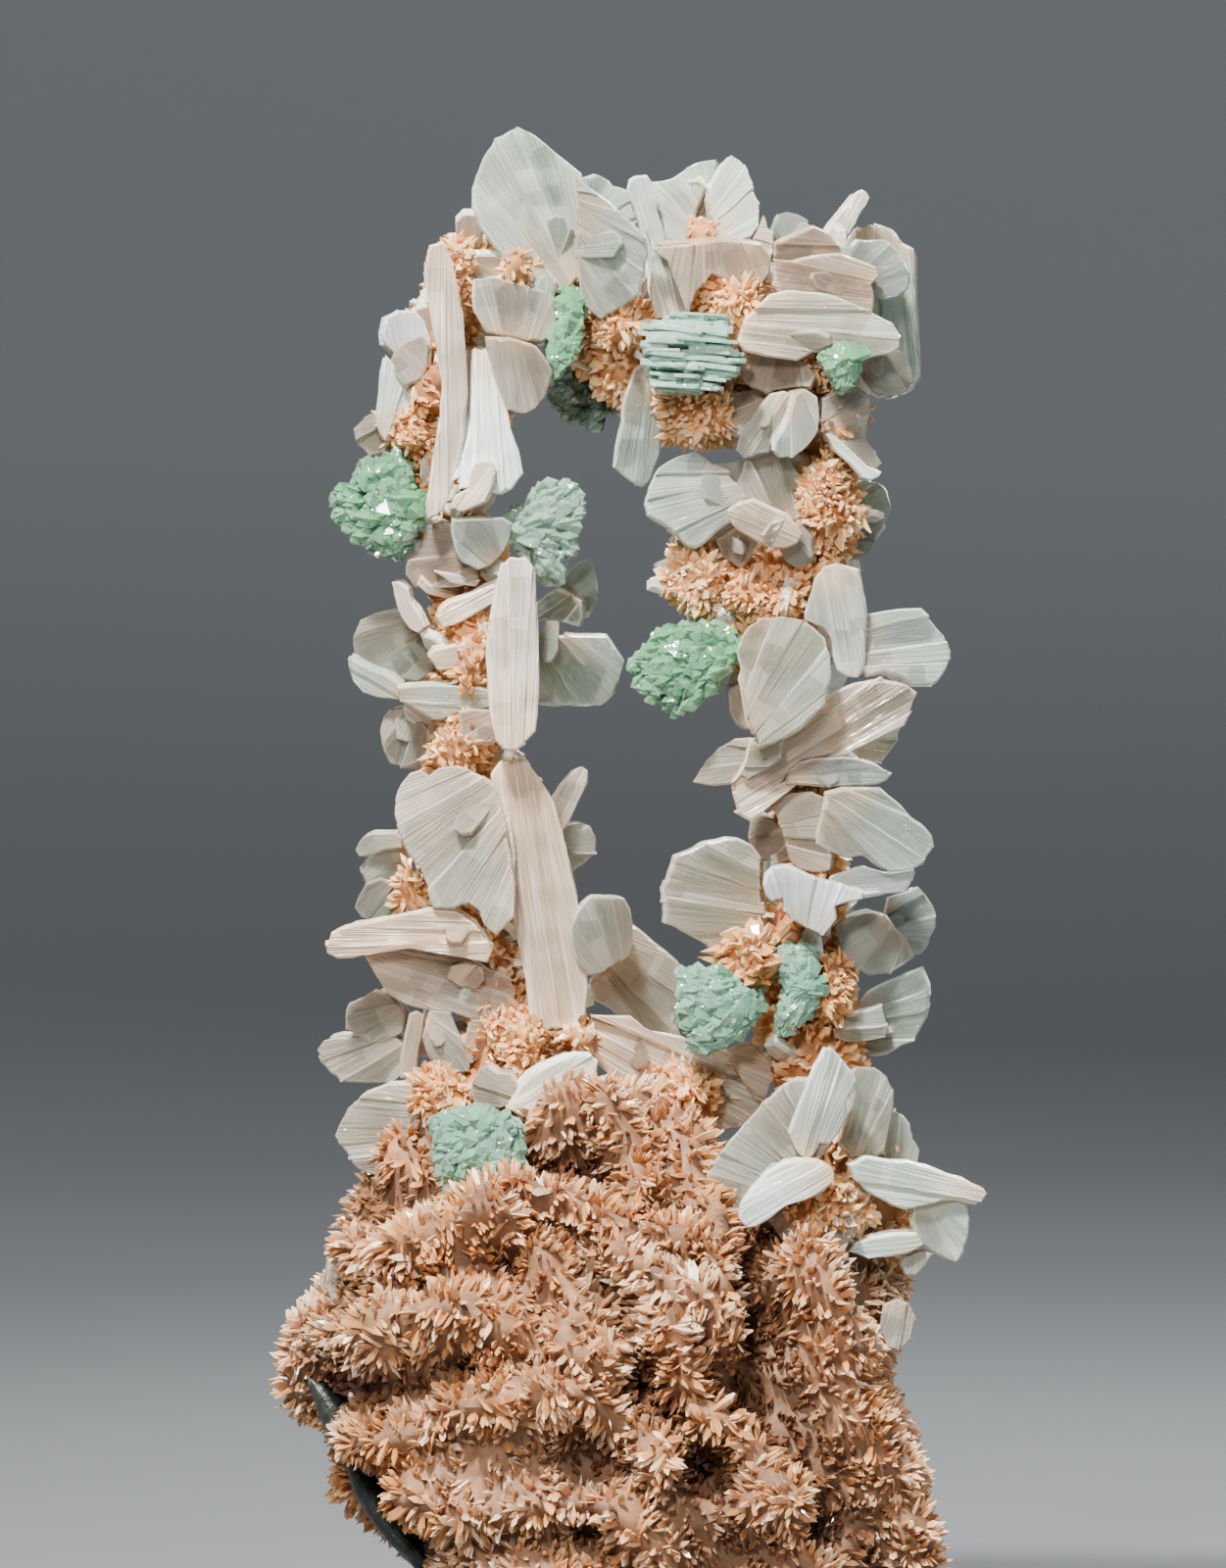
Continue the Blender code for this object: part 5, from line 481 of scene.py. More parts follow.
def vertex_normals(verts, tris):
    cr = np.cross(verts[tris[:, 1]] - verts[tris[:, 0]], verts[tris[:, 2]] - verts[tris[:, 0]])
    n = np.zeros_like(verts)
    for k in range(3):
        np.add.at(n, tris[:, k], cr)
    return unit(n)


def foot_surface():
    rows, cols = 130, 220
    table = np.array(FOOT, float)
    t = np.linspace(0, 1, rows)
    vs = 1100 + (1700 - 1100) * t
    get = [np.interp(vs, table[:, 0], table[:, k]) for k in (1, 2, 3, 4)]
    for k in range(4):
        g = get[k]
        pad = np.concatenate([[g[0]] * 4, g, [g[-1]] * 4])
        get[k] = np.convolve(pad, np.array([1, 2, 3, 4, 5, 4, 3, 2, 1]) / 25.0, "valid")
    ul, ur, yf, yb = get
    a = np.linspace(0, 2 * math.pi, cols, endpoint=False)
    ca, sa = np.cos(a), np.sin(a)
    x = np.sign(ca) * np.abs(ca) ** 0.82
    y = np.sign(sa) * np.abs(sa) ** 0.82
    U = ((ul + ur) / 2)[:, None] + ((ur - ul) / 2)[:, None] * x[None]
    Y = ((yf + yb) / 2)[:, None] + ((yb - yf) / 2)[:, None] * y[None]
    V = np.broadcast_to(vs[:, None], U.shape)
    shrink = np.clip((t - 0.0) / 0.05, 0, 1) ** 0.5
    U = ((ul + ur) / 2)[:, None] + (U - ((ul + ur) / 2)[:, None]) * shrink[:, None]
    Y = ((yf + yb) / 2)[:, None] + (Y - ((yf + yb) / 2)[:, None]) * shrink[:, None]
    verts = place(U, V, Y).reshape(-1, 3)
    tris = grid_faces(rows, cols)
    n = vertex_normals(verts, tris)
    mid = verts.mean(0)
    if np.mean(np.sum(n * (verts - mid), 1)) < 0:
        tris = tris[:, ::-1]
        n = -n
    uv = units(verts)
    front = np.clip(-n[:, 1] * 1.6, 0, 1)
    ridge = np.zeros(len(verts))
    for path in RIDGES:
        ridge = np.maximum(ridge, np.exp(-(near_path(uv, path) / 22.0) ** 2))
    hollow = np.zeros(len(verts))
    for hu, hv, hr, hd in HOLLOWS:
        hollow = np.maximum(hollow, hd * np.exp(-((uv[:, 0] - hu) ** 2 + (uv[:, 1] - hv) ** 2) / (hr * hr)))
    warp = verts + 0.003 * np.stack([noise(verts / 0.009, 3), noise(verts / 0.009, 4), noise(verts / 0.009, 5)], 1)
    worm = 1 - np.abs(noise(warp / 0.0085, 11))
    worm = np.clip((worm - 0.55) / 0.45, 0, 1)
    lump = noise(verts / 0.0042, 12)
    knob = 1.25 * noise(warp / 0.0105, 15) + 0.5 * noise(verts / 0.0052, 16) + 0.3
    out = front * (ridge * 4.0 - hollow * 1.3) + (1 - front * 0.55) * (worm * 1.3 - 0.4) + 0.9 * lump + 2.4 * knob - 1.5
    fade = np.clip(uv[:, 1] / 1.0 - 1100, 0, 30) / 30.0
    verts = verts + n * (out * fade * MM)[:, None]
    verts[:, 2] = np.maximum(verts[:, 2], 0.0)
    # painted shade: the amount rises where the surface sinks in, and the rock and druse materials darken their colour
    # by it
    deep = np.clip(0.42 - 0.27 * (out + 0.5), 0, 1)
    bottom = verts[(rows - 1) * cols:].mean(0)
    top = verts[:cols].mean(0)
    last = len(verts)
    verts = np.vstack([verts, [bottom[0], bottom[1], 0.0], top])
    # painted shade: the bottom cap on the floor gets the full amount, the top lid half
    deep = np.append(deep, [1.0, 0.5])
    j = np.arange(cols)
    k = (j + 1) % cols
    cap = np.stack([(rows - 1) * cols + j, (rows - 1) * cols + k, np.full(cols, last)], 1)
    lid = np.stack([k, j, np.full(cols, last + 1)], 1)
    if tris[0, 0] != 0:
        cap, lid = cap[:, ::-1], lid[:, ::-1]
    return verts, np.vstack([tris, cap, lid]), deep, len(tris)


def tube_surface(path, seed, sides=44, step=0.0011):
    pts = np.array([place(u, v, y) for u, v, y, r in path])
    rad = np.array([r for *_, r in path]) * MM
    seg = np.linalg.norm(np.diff(pts, axis=0), axis=1)
    s = np.concatenate([[0], np.cumsum(seg)])
    n = int(s[-1] / step)
    q = np.linspace(0, s[-1], n)
    line = np.stack([np.interp(q, s, pts[:, k]) for k in range(3)], 1)
    r = np.interp(q, s, rad)
    ker = np.hanning(9)
    ker /= ker.sum()
    for k in range(3):
        line[:, k] = np.convolve(np.pad(line[:, k], 4, "edge"), ker, "valid")
    tang = unit(np.gradient(line, axis=0))
    side = np.zeros_like(line)
    side[:] = np.array([0, -1.0, 0])
    side = unit(side - tang * np.sum(side * tang, 1, keepdims=True))
    up = np.cross(tang, side)
    a = np.linspace(0, 2 * math.pi, sides, endpoint=False)
    end = np.sqrt(np.clip(np.minimum(q, s[-1] - q) / (0.0025), 0.0, 1))
    ring = side[:, None] * np.cos(a)[None, :, None] + up[:, None] * np.sin(a)[None, :, None]
    verts = (line[:, None] + ring * (r * end)[:, None, None]).reshape(-1, 3)
    dirs = ring.reshape(-1, 3)
    lump = noise(verts / 0.0048, seed) * 0.9 + noise(verts / 0.0024, seed + 1) * 0.35
    verts = verts + dirs * ((lump - 0.35) * np.repeat(end, sides) * MM)[:, None]
    # painted shade: darker where the lumps sink in
    deep = np.clip(0.12 - 0.30 * lump, 0, 1)
    tris = grid_faces(n, sides)
    nn = vertex_normals(verts, tris)
    if np.mean(np.sum(nn * dirs, 1)) < 0:
        tris = tris[:, ::-1]
    return verts, tris, deep


def druse(rng, pile, verts, tris, deep, count, size, keep=None, lean=0.55, stub=0.0, slim=1.0):
    """Blades that stand on a surface in small radiating tufts."""
    p, nrm, pick, w = scatter(rng, verts, tris, count)
    shade_at = deep[tris[pick, 0]] * w[0] + deep[tris[pick, 1]] * w[1] + deep[tris[pick, 2]] * w[2]
    if keep is not None:
        ok = keep(p, nrm)
        p, nrm, shade_at = p[ok], nrm[ok], shade_at[ok]
    n = len(p)
    smooth = vertex_normals(verts, tris)
    sm = smooth[tris[pick, 0]]
    if keep is not None:
        sm = sm[ok]
    field = np.stack([noise(p / 0.0021, 21), noise(p / 0.0021, 22), noise(p / 0.0021, 23)], 1)
    axis = unit(unit(nrm + sm) + lean * field + 0.38 * rng.normal(size=(n, 3)) * 0.6)
    side = rng.normal(size=(n, 3))
    grow = 0.75 + 0.5 * rng.random(n) ** 1.5 + 0.22 * noise(p / 0.006, 31)
    length = size * grow * (1.0 - 0.25 * shade_at)
    width = size * (0.34 + 0.28 * rng.random(n)) * grow * slim
    thick = width * (0.28 + 0.30 * rng.random(n) + 0.35 * stub)
    if stub:
        axis = unit(axis + stub * 0.75 * rng.normal(size=(n, 3)))
        length = length * (1.0 - 0.30 * stub) * np.exp(0.28 * rng.normal(size=n))
    shoulder = 0.50 + 0.28 * rng.random(n)
    edge = 0.05 + 0.35 * rng.random(n) ** 2
    hue = np.clip(0.5 + 0.35 * noise(p / 0.011, 41) + 0.22 * rng.normal(size=n), 0, 1)
    laths(pile, p - axis * length[:, None] * (0.2 + 0.2 * stub), axis, side, length, width, thick, shoulder, edge, hue, shade_at)


# ---- flat crystals ---------------------------------------------------------------
def resample(poly, step):
    out, corner = [], []
    n = len(poly)
    for i in range(n):
        a, b = poly[i], poly[(i + 1) % n]
        m = max(1, int(round(np.linalg.norm(b - a) / step)))
        for k in range(m):
            out.append(a + (b - a) * k / m)
            corner.append(k == 0)
    return np.array(out), np.array(corner)


def outward(poly):
    nxt, prv = np.roll(poly, -1, 0), np.roll(poly, 1, 0)
    d = unit(nxt - prv)
    area = np.sum(poly[:, 0] * nxt[:, 1] - nxt[:, 0] * poly[:, 1])
    nrm = np.stack([d[:, 1], -d[:, 0]], 1)
    return nrm if area > 0 else -nrm


def plane_of(outline, depth, su, sv):
    pts = np.array(outline, float)
    uc, vc = pts.mean(0)
    at = place(uc, vc, depth)
    du = place(uc + 1, vc, depth + su * 0.11) - at
    dv = place(uc, vc + 1, depth + sv * 0.11) - at
    nrm = unit(np.cross(dv, du))
    if nrm[1] > 0:
        nrm = -nrm
    xa = unit(du)
    ya = np.cross(nrm, xa)
    ray = place(pts[:, 0], pts[:, 1], 0.0) - EYE
    q = EYE + ray * (((at - EYE) @ nrm) / (ray @ nrm))[:, None] - at
    return at, xa, ya, nrm, np.stack([q @ xa, q @ ya], 1) / MM


def blade(pile, rng, outline2d, at, xa, ya, nrm, thick, focus, serrate, hue, milk, layers=1, wavy=0.05, tilt=0.0, step=0.8):
    """One closed plate in its own plane (mm): a layered edge, a bevelled rim
    and softly wavy faces."""
    poly = np.asarray(outline2d, float)
    ring, corner = resample(poly, step)
    out = outward(ring)
    rel = ring - focus
    ang = np.arctan2(rel[:, 1], rel[:, 0])
    far = np.linalg.norm(rel, axis=1)
    grow_dir = unit(rel)
    e = np.clip(np.sum(out * grow_dir, 1), 0, 1) ** 1.5
    seed = int(rng.integers(1, 10000))
    saw = np.abs(((ang * far.mean() / 1.6 + seed * 0.1) % 1.0) - 0.5) * 2
    rough = noise(np.column_stack([ring / 1.5, np.full(len(ring), seed * 0.37)]), 7)
    ring = ring + out * (e * serrate * (saw - 0.6) + 0.07 * rough * np.where(corner, 0.2, 1.0))[:, None]
    half = thick / 2
    size = np.sqrt(abs(np.sum(ring[:, 0] * np.roll(ring[:, 1], -1) - np.roll(ring[:, 0], -1) * ring[:, 1])) / 2)
    bevel = min(0.22, 0.06 * size, half * 0.7)
    levels = [(-1.0, bevel)]
    zs = np.linspace(-0.66, 0.66, 2 * layers + 1)
    for k, z in enumerate(zs):
        levels.append((z, 0.0 if k % 2 == 0 else rng.uniform(0.04, 0.14)))
    levels.append((1.0, bevel))
    n = len(ring)
    centre = ring.mean(0)
    dirn = unit(centre - focus)
    rows, zrow = [], []
    for li, (z, o) in enumerate(levels):
        wob = noise(np.column_stack([ring / 1.6, np.full(n, li * 3.7 + seed)]), 9) * 0.05
        rows.append(ring - out * np.clip(o + wob, -0.05, 0.5)[:, None])
        zrow.append(np.full(n, z * half))
    def cap(edge, z, sgn):
        lo, hi = edge.min(0), edge.max(0)
        step = max(1.7, size / 9)
        gx, gy = np.meshgrid(np.arange(lo[0] + step / 2, hi[0], step), np.arange(lo[1] + step / 2, hi[1], step))
        inner = np.column_stack([gx.ravel(), gy.ravel()]) + rng.uniform(-0.3, 0.3, (gx.size, 2)) * step
        x, y = inner[:, 0], inner[:, 1]
        inside = np.zeros(len(inner), bool)
        nx, ny = np.roll(edge[:, 0], -1), np.roll(edge[:, 1], -1)
        for i in range(len(edge)):
            cond = (edge[i, 1] > y) != (ny[i] > y)
            xi = (nx[i] - edge[i, 0]) * (y - edge[i, 1]) / (ny[i] - edge[i, 1] + 1e-12) + edge[i, 0]
            inside ^= cond & (x < xi)
        inner = inner[inside]
        if len(inner):
            d = np.min(np.linalg.norm(inner[:, None] - edge[None], axis=2), axis=1)
            inner = inner[d > step * 0.45]
        allp = np.vstack([edge, inner]) if len(inner) else edge
        loop = [(i, (i + 1) % len(edge)) for i in range(len(edge))]
        res = delaunay_2d_cdt([Vector(q) for q in allp], loop, [], 1, 1e-7)
        if len(res[0]) != len(allp) or not res[2]:
            c = centre[None]
            pts = np.vstack([edge, c])
            tris = np.array([(i, (i + 1) % len(edge), len(edge)) for i in range(len(edge))])
            inner = c
        else:
            pts = np.array([(q.x, q.y) for q in res[0]])
            order = [o[0] for o in res[3]]
            tris = np.array([[order[i] for i in f] for f in res[2]])
            pts = allp
        zin = np.full(len(inner), z)
        if len(inner):
            d = np.min(np.linalg.norm(inner[:, None] - edge[None], axis=2), axis=1)
            relin = inner - focus
            an = np.arctan2(relin[:, 1], relin[:, 0]) * far.mean()
            zin = zin + sgn * wavy * np.clip(d / 2.0, 0, 1) * (noise(np.column_stack([inner / 3.2, np.full(len(inner), seed * 1.3)]), 13) + 0.8 * noise(np.column_stack([an / 1.1, an * 0 + 0.3, np.full(len(inner), seed * 1.7 + sgn)]), 14))
        return inner, zin, tris
    verts2, zz = [np.vstack(rows)], [np.concatenate(zrow)]
    rims = [np.concatenate([np.full(n, 0.0 if 0 < r < len(levels) - 1 else bevel) for r in range(len(levels))])]
    m = len(levels)
    faces = []
    i = np.arange(n)
    k = (i + 1) % n
    for r in range(m - 1):
        a, b, c, d = r * n + i, r * n + k, (r + 1) * n + k, (r + 1) * n + i
        faces.append(np.column_stack([a, b, c]))
        faces.append(np.column_stack([a, c, d]))
    count = m * n
    nextp = np.roll(ring, -1, 0)
    ccw = np.sum(ring[:, 0] * nextp[:, 1] - nextp[:, 0] * ring[:, 1]) > 0
    for r, sgn in ((0, -1), (m - 1, 1)):
        inner, zin, tris = cap(rows[r], levels[r][0] * half, sgn)
        idx = np.concatenate([r * n + np.arange(n), count + np.arange(len(inner))])
        pts = np.vstack([rows[r], inner]) if len(inner) else rows[r]
        a2, b2, c2 = pts[tris[:, 0]], pts[tris[:, 1]], pts[tris[:, 2]]
        cr = (b2[:, 0] - a2[:, 0]) * (c2[:, 1] - a2[:, 1]) - (b2[:, 1] - a2[:, 1]) * (c2[:, 0] - a2[:, 0])
        flip = (cr < 0) if sgn > 0 else (cr > 0)
        tris = np.where(flip[:, None], tris[:, ::-1], tris)
        faces.append(idx[tris])
        verts2.append(inner)
        zz.append(zin)
        if len(inner):
            rims.append(np.min(np.linalg.norm(inner[:, None] - ring[None], axis=2), axis=1))
        count += len(inner)
    side_count = (m - 1) * 2
    if not ccw:
        for q in range(side_count):
            faces[q] = faces[q][:, ::-1]
    p2 = np.vstack([q for q in verts2 if len(q)])
    z = np.concatenate([q for q in zz if len(q)])
    faces = np.vstack(faces)
    lean = tilt * ((p2 - centre) @ dirn)
    world = at + (p2[:, 0:1] * xa + p2[:, 1:2] * ya + (z + lean)[:, None] * nrm) * MM
    local = np.column_stack([p2 - focus, z])
    relc = np.linalg.norm(p2 - focus, axis=1)
    reach = (relc - relc.min()) / max(relc.max() - relc.min(), 1e-6)
    pile.add(world, faces, local=local, hue=hue, milk=milk, tip=reach, rim=np.concatenate(rims))


def roots_of(piece):
    return [(u, v, y) for name, u, v, y, r in ROOTS if name == piece]


CORE = [q[:2] for path in (LEFT_PILLAR, RIGHT_PILLAR, BRIDGE, BRIDGE_TOP, WINDOW_STUB) for q in path]


def root_for(piece, outline):
    c = np.array(outline, float).mean(0)
    found = [(u, v) for u, v, y in roots_of(piece)]
    pool = found if found else CORE
    d = [math.dist(c, q) for q in pool]
    r = np.array(pool[int(np.argmin(d))], float)
    if math.dist(c, r) < 6:
        d = [math.dist(c, q) for q in CORE]
        r = np.array(CORE[int(np.argmin(d))], float)
    return r


def satellites(pile, rng, poly, r2, c2, at, xa, ya, nrm, thick, hue, milk, area, style):
    """Small tablets that grow from the same root, at steeper leans."""
    main = c2 - r2
    a0 = math.atan2(main[1], main[0])
    shape = [tuple(q) for q in poly]
    for _ in range(style.get("satellites", int(rng.random() < 0.45))):
        ang = a0 + rng.uniform(-1.2, 1.2)
        start = r2 * rng.uniform(0.5, 1.0) + c2 * 0.0
        start = r2 + (c2 - r2) * rng.uniform(0.0, 0.35) + rng.uniform(-1.2, 1.2, 2)
        L = rng.uniform(2.2, 5.2)
        w = L * rng.uniform(0.26, 0.42)
        d = np.array([math.cos(ang), math.sin(ang)])
        tip = start + d * L
        if not point_inside(tip, shape):
            continue
        sd2 = np.array([-d[1], d[0]])
        lean = rng.uniform(0.15, 0.5)
        face = 1 if rng.random() < 0.75 else -1
        ax = unit(xa * d[0] + ya * d[1] + nrm * face * lean)
        sx = unit(xa * sd2[0] + ya * sd2[1] + nrm * rng.uniform(-0.7, 0.7))
        sx = unit(sx - ax * (sx @ ax))
        nz = np.cross(sx, ax)
        org = at + (start[0] * xa + start[1] * ya + nrm * face * thick * 0.30) * MM
        b, e = rng.uniform(0.10, 0.3), rng.uniform(0.62, 0.82)
        q = np.array([(-w * 0.7, -0.6), (w * 0.7, -0.6), (w, e * L), (w * 0.45, L * 0.97), (-w * b, L), (-w * 0.95, L * (e - 0.05))])
        blade(pile, rng, q, org, sx, ax, nz, rng.uniform(0.5, 1.1), np.array([0.0, -L * 0.8]), 0.1, float(np.clip(hue + rng.uniform(-0.1, 0.15), 0, 1)), float(np.clip(milk + rng.uniform(-0.15, 0.15), 0.02, 1)), 1, 0.03, 0.0, 1.2)


def clip_half(poly, point, normal):
    """The part of a polygon on the side that the normal points to."""
    out = []
    n = len(poly)
    for i in range(n):
        a, b = poly[i], poly[(i + 1) % n]
        da, db = (a - point) @ normal, (b - point) @ normal
        if da >= 0:
            out.append(a)
        if (da >= 0) != (db >= 0):
            out.append(a + (b - a) * (da / (da - db)))
    return np.array(out)


def turned(axis, angle, *vectors):
    c, s = math.cos(angle), math.sin(angle)
    return [v * c + np.cross(axis, v) * s + axis * (axis @ v) * (1 - c) for v in vectors]


def sheaf(pile, rng, poly, at, xa, ya, nrm, t, focus, serrate, hue, milk, pitch=2.3):
    """One tablet made of laths that fan out from a common root, with tips
    that end at slightly different lengths."""
    rel = poly - focus
    c2 = poly.mean(0)
    mean = c2 - focus
    a0 = math.atan2(mean[1], mean[0])
    ang = np.arctan2(rel[:, 1], rel[:, 0]) - a0
    ang = (ang + math.pi) % (2 * math.pi) - math.pi
    lo, hi = ang.min(), ang.max()
    far = np.linalg.norm(mean)
    n = int(np.clip(round((hi - lo) * far / pitch), 1, 7))
    if n < 2 or hi - lo > 2.4:
        blade(pile, rng, poly, at, xa, ya, nrm, t, focus, serrate, hue, milk, 1, 0.14, 0.0)
        return
    cuts = lo + (hi - lo) * (np.arange(n + 1) + np.concatenate([[0], rng.uniform(-0.28, 0.28, n - 1), [0]])) / n
    full = int(rng.integers(n))
    for i in range(n):
        over = 0.34 / far
        part = poly
        for a, sgn in ((cuts[i] - over, 1.0), (cuts[i + 1] + over, -1.0)):
            w = a0 + a
            if (sgn > 0 and i == 0) or (sgn < 0 and i == n - 1):
                continue
            part = clip_half(part, focus, np.array([-math.sin(w), math.cos(w)]) * sgn)
            if len(part) < 3:
                break
        if len(part) < 3:
            continue
        area = abs(np.sum(part[:, 0] * np.roll(part[:, 1], -1) - np.roll(part[:, 0], -1) * part[:, 1])) / 2
        if area < 0.8:
            continue
        s = 1.0 if i == full else rng.uniform(0.955, 1.0)
        mid2 = part.mean(0)
        part = mid2 + (part - mid2) * s
        d = unit(mid2 - focus)
        d3 = unit(xa * d[0] + ya * d[1])
        xr, yr, nr = turned(d3, rng.normal() * 0.07, xa, ya, nrm)
        centre = at + (mid2[0] * xa + mid2[1] * ya) * MM + nrm * rng.uniform(-0.12, 0.12) * MM
        org = centre - (mid2[0] * xr + mid2[1] * yr) * MM
        blade(pile, rng, part, org, xr, yr, nr, t * rng.uniform(0.75, 1.1), focus, serrate, float(np.clip(hue + rng.uniform(-0.10, 0.10), 0, 1)), float(np.clip(milk + rng.uniform(-0.16, 0.16), 0, 1)), 1, 0.10, rng.normal() * 0.02, 0.9)


def crystal_plate(pile, rng, piece, depth, thick, su, sv, outline, style):
    at, xa, ya, nrm, poly = plane_of(outline, depth, su, sv)
    root = style.get("root")
    if root is None:
        root = root_for(piece, outline)
    ray = place(root[0], root[1], 0.0) - EYE
    q = EYE + ray * (((at - EYE) @ nrm) / (ray @ nrm)) - at
    r2 = np.array([q @ xa, q @ ya]) / MM
    c2 = poly.mean(0)
    d = c2 - r2
    if np.linalg.norm(d) < 0.5:
        d = np.array([0.0, 1.0])
    span = np.max(np.linalg.norm(poly - r2, axis=1))
    w, ev = np.linalg.eigh(np.cov((resample(poly, 0.8)[0] - c2).T))
    stretch = math.sqrt(w[1] / max(w[0], 1e-9))
    if "grow" in style:
        ga = math.radians(style["grow"])
        focus = c2 - np.array([math.cos(ga), math.sin(ga)]) * span * 3.5
    elif stretch > 1.75:
        axis = ev[:, 1] * (1.0 if ev[:, 1] @ d >= 0 else -1.0)
        focus = c2 - axis * span * 2.6
    else:
        focus = c2 - unit(d) * span * style.get("focus", 1.2)
    hue, milk = style.get("hue", 0.5), style.get("milk", 0.5)
    serrate = style.get("serrate", 0.16)
    area = abs(np.sum(poly[:, 0] * np.roll(poly[:, 1], -1) - np.roll(poly[:, 0], -1) * poly[:, 1])) / 2
    sheets = style.get("sheets", 2 if area > 22 else 1)
    thick = thick * 0.86
    offs = np.linspace(0.5, -0.5, sheets) if sheets > 1 else np.zeros(1)
    for k in range(sheets):
        t = thick / sheets * rng.uniform(0.88, 1.04)
        off = offs[k] * (thick - t)
        main = k == (0 if nrm[1] < 0 else sheets - 1)
        s = 1.0 if main else (rng.uniform(0.95, 0.985) if k % 2 == 0 else rng.uniform(0.86, 0.95))
        turn = 0.0 if main else rng.uniform(-0.035, 0.035)
        rot = np.array([[math.cos(turn), -math.sin(turn)], [math.sin(turn), math.cos(turn)]])
        small = r2 + ((poly - r2) * s) @ rot.T
        if not main:
            small = small + rng.uniform(-0.12, 0.12, small.shape)
        at2 = at + nrm * off * MM
        if sheets == 2 and area > 70 and not main and rng.random() < 0.5:
            inner = c2 * 0.62 + r2 * 0.38 + rng.uniform(-0.1, 0.1, 2) * span
            if point_inside(inner, [tuple(q) for q in poly]):
                small = inner + ((poly - c2) * rng.uniform(0.42, 0.66)) @ rot.T
                blade(pile, rng, small, at2, xa, ya, nrm, t, focus, serrate, float(np.clip(hue + 0.22, 0, 1)), float(np.clip(milk + 0.30, 0, 1)), 1, 0.12, rng.uniform(-0.05, 0.05))
                continue
        if main:
            sheaf(pile, rng, small, at2, xa, ya, nrm, t, focus, serrate, hue, milk)
            continue
        blade(pile, rng, small, at2, xa, ya, nrm, t, focus, serrate, float(np.clip(hue + rng.uniform(-0.12, 0.12), 0, 1)), float(np.clip(milk + rng.uniform(-0.18, 0.18), 0, 1)), 1, 0.16, 0.0 if main else rng.uniform(-0.03, 0.03))
    satellites(pile, rng, poly, r2, c2, at, xa, ya, nrm, thick, hue, milk, area, style)


# ---- fluorapophyllite -------------------------------------------------------------
def point_inside(q, poly):
    inside = False
    n = len(poly)
    for i in range(n):
        x1, y1 = poly[i]
        x2, y2 = poly[(i + 1) % n]
        if (y1 > q[1]) != (y2 > q[1]) and q[0] < (x2 - x1) * (q[1] - y1) / (y2 - y1) + x1:
            inside = not inside
    return inside


def reach(outline, root, angle):
    d = np.array([math.cos(angle), math.sin(angle)])
    best = 0.0
    n = len(outline)
    for i in range(n):
        p0, q0 = np.array(outline[i], float), np.array(outline[(i + 1) % n], float)
        e = q0 - p0
        den = d[0] * e[1] - d[1] * e[0]
        if abs(den) < 1e-9:
            continue
        w = p0 - np.array(root)
        t = (w[0] * e[1] - w[1] * e[0]) / den
        k = (w[0] * d[1] - w[1] * d[0]) / den
        if t > 0 and -1e-6 <= k <= 1 + 1e-6:
            best = max(best, t)
    return best


def prisms(pile, base, tip, width, roll, pyramid, hue, sides=4, flat=1.0):
    """Closed square prisms with a low pyramid at the far end."""
    n = len(base)
    axis = tip - base
    length = np.linalg.norm(axis, axis=1)
    axis = unit(axis)
    ref = np.tile(np.array([0.11, 0.93, 0.31]), (n, 1))
    side = unit(np.cross(axis, ref))
    up = np.cross(axis, side)
    c, s = np.cos(roll)[:, None], np.sin(roll)[:, None]
    side, up = side * c + up * s, up * c - side * s
    rows = []
    for t, w in ((0.0, 0.62), (None, 1.0)):
        tt = (1 - pyramid)[:, None] if t is None else t
        mid = base + axis * length[:, None] * tt
        for q in range(sides):
            a = 2 * math.pi * (q + 0.5) / sides
            rows.append(mid + (side * math.cos(a) + up * math.sin(a) * flat) * (width * 0.7071 * w)[:, None])
    rows.append(base + axis * (length * 0.995)[:, None])
    rows.append(base - axis * (width * 0.2)[:, None])
    verts = np.stack(rows, 1)
    m = 2 * sides + 2
    f = []
    for q in range(sides):
        r = (q + 1) % sides
        f += [(q, r, sides + r), (q, sides + r, sides + q), (sides + q, sides + r, 2 * sides), (r, q, 2 * sides + 1)]
    f = np.array(f)
    # outward winding
    a = verts[0]
    cr = np.cross(a[f[0, 1]] - a[f[0, 0]], a[f[0, 2]] - a[f[0, 0]])
    if cr @ (a[f[0]].mean(0) - a.mean(0)) < 0:
        f = f[:, ::-1]
    faces = (f[None] + (np.arange(n) * m)[:, None, None]).reshape(-1, 3)
    t = np.tile(np.concatenate([np.zeros(sides), np.full(sides, 0.8), [1.0, 0.0]]), n)
    pile.add(verts.reshape(-1, 3), faces, tip=t, hue=np.repeat(hue, m))


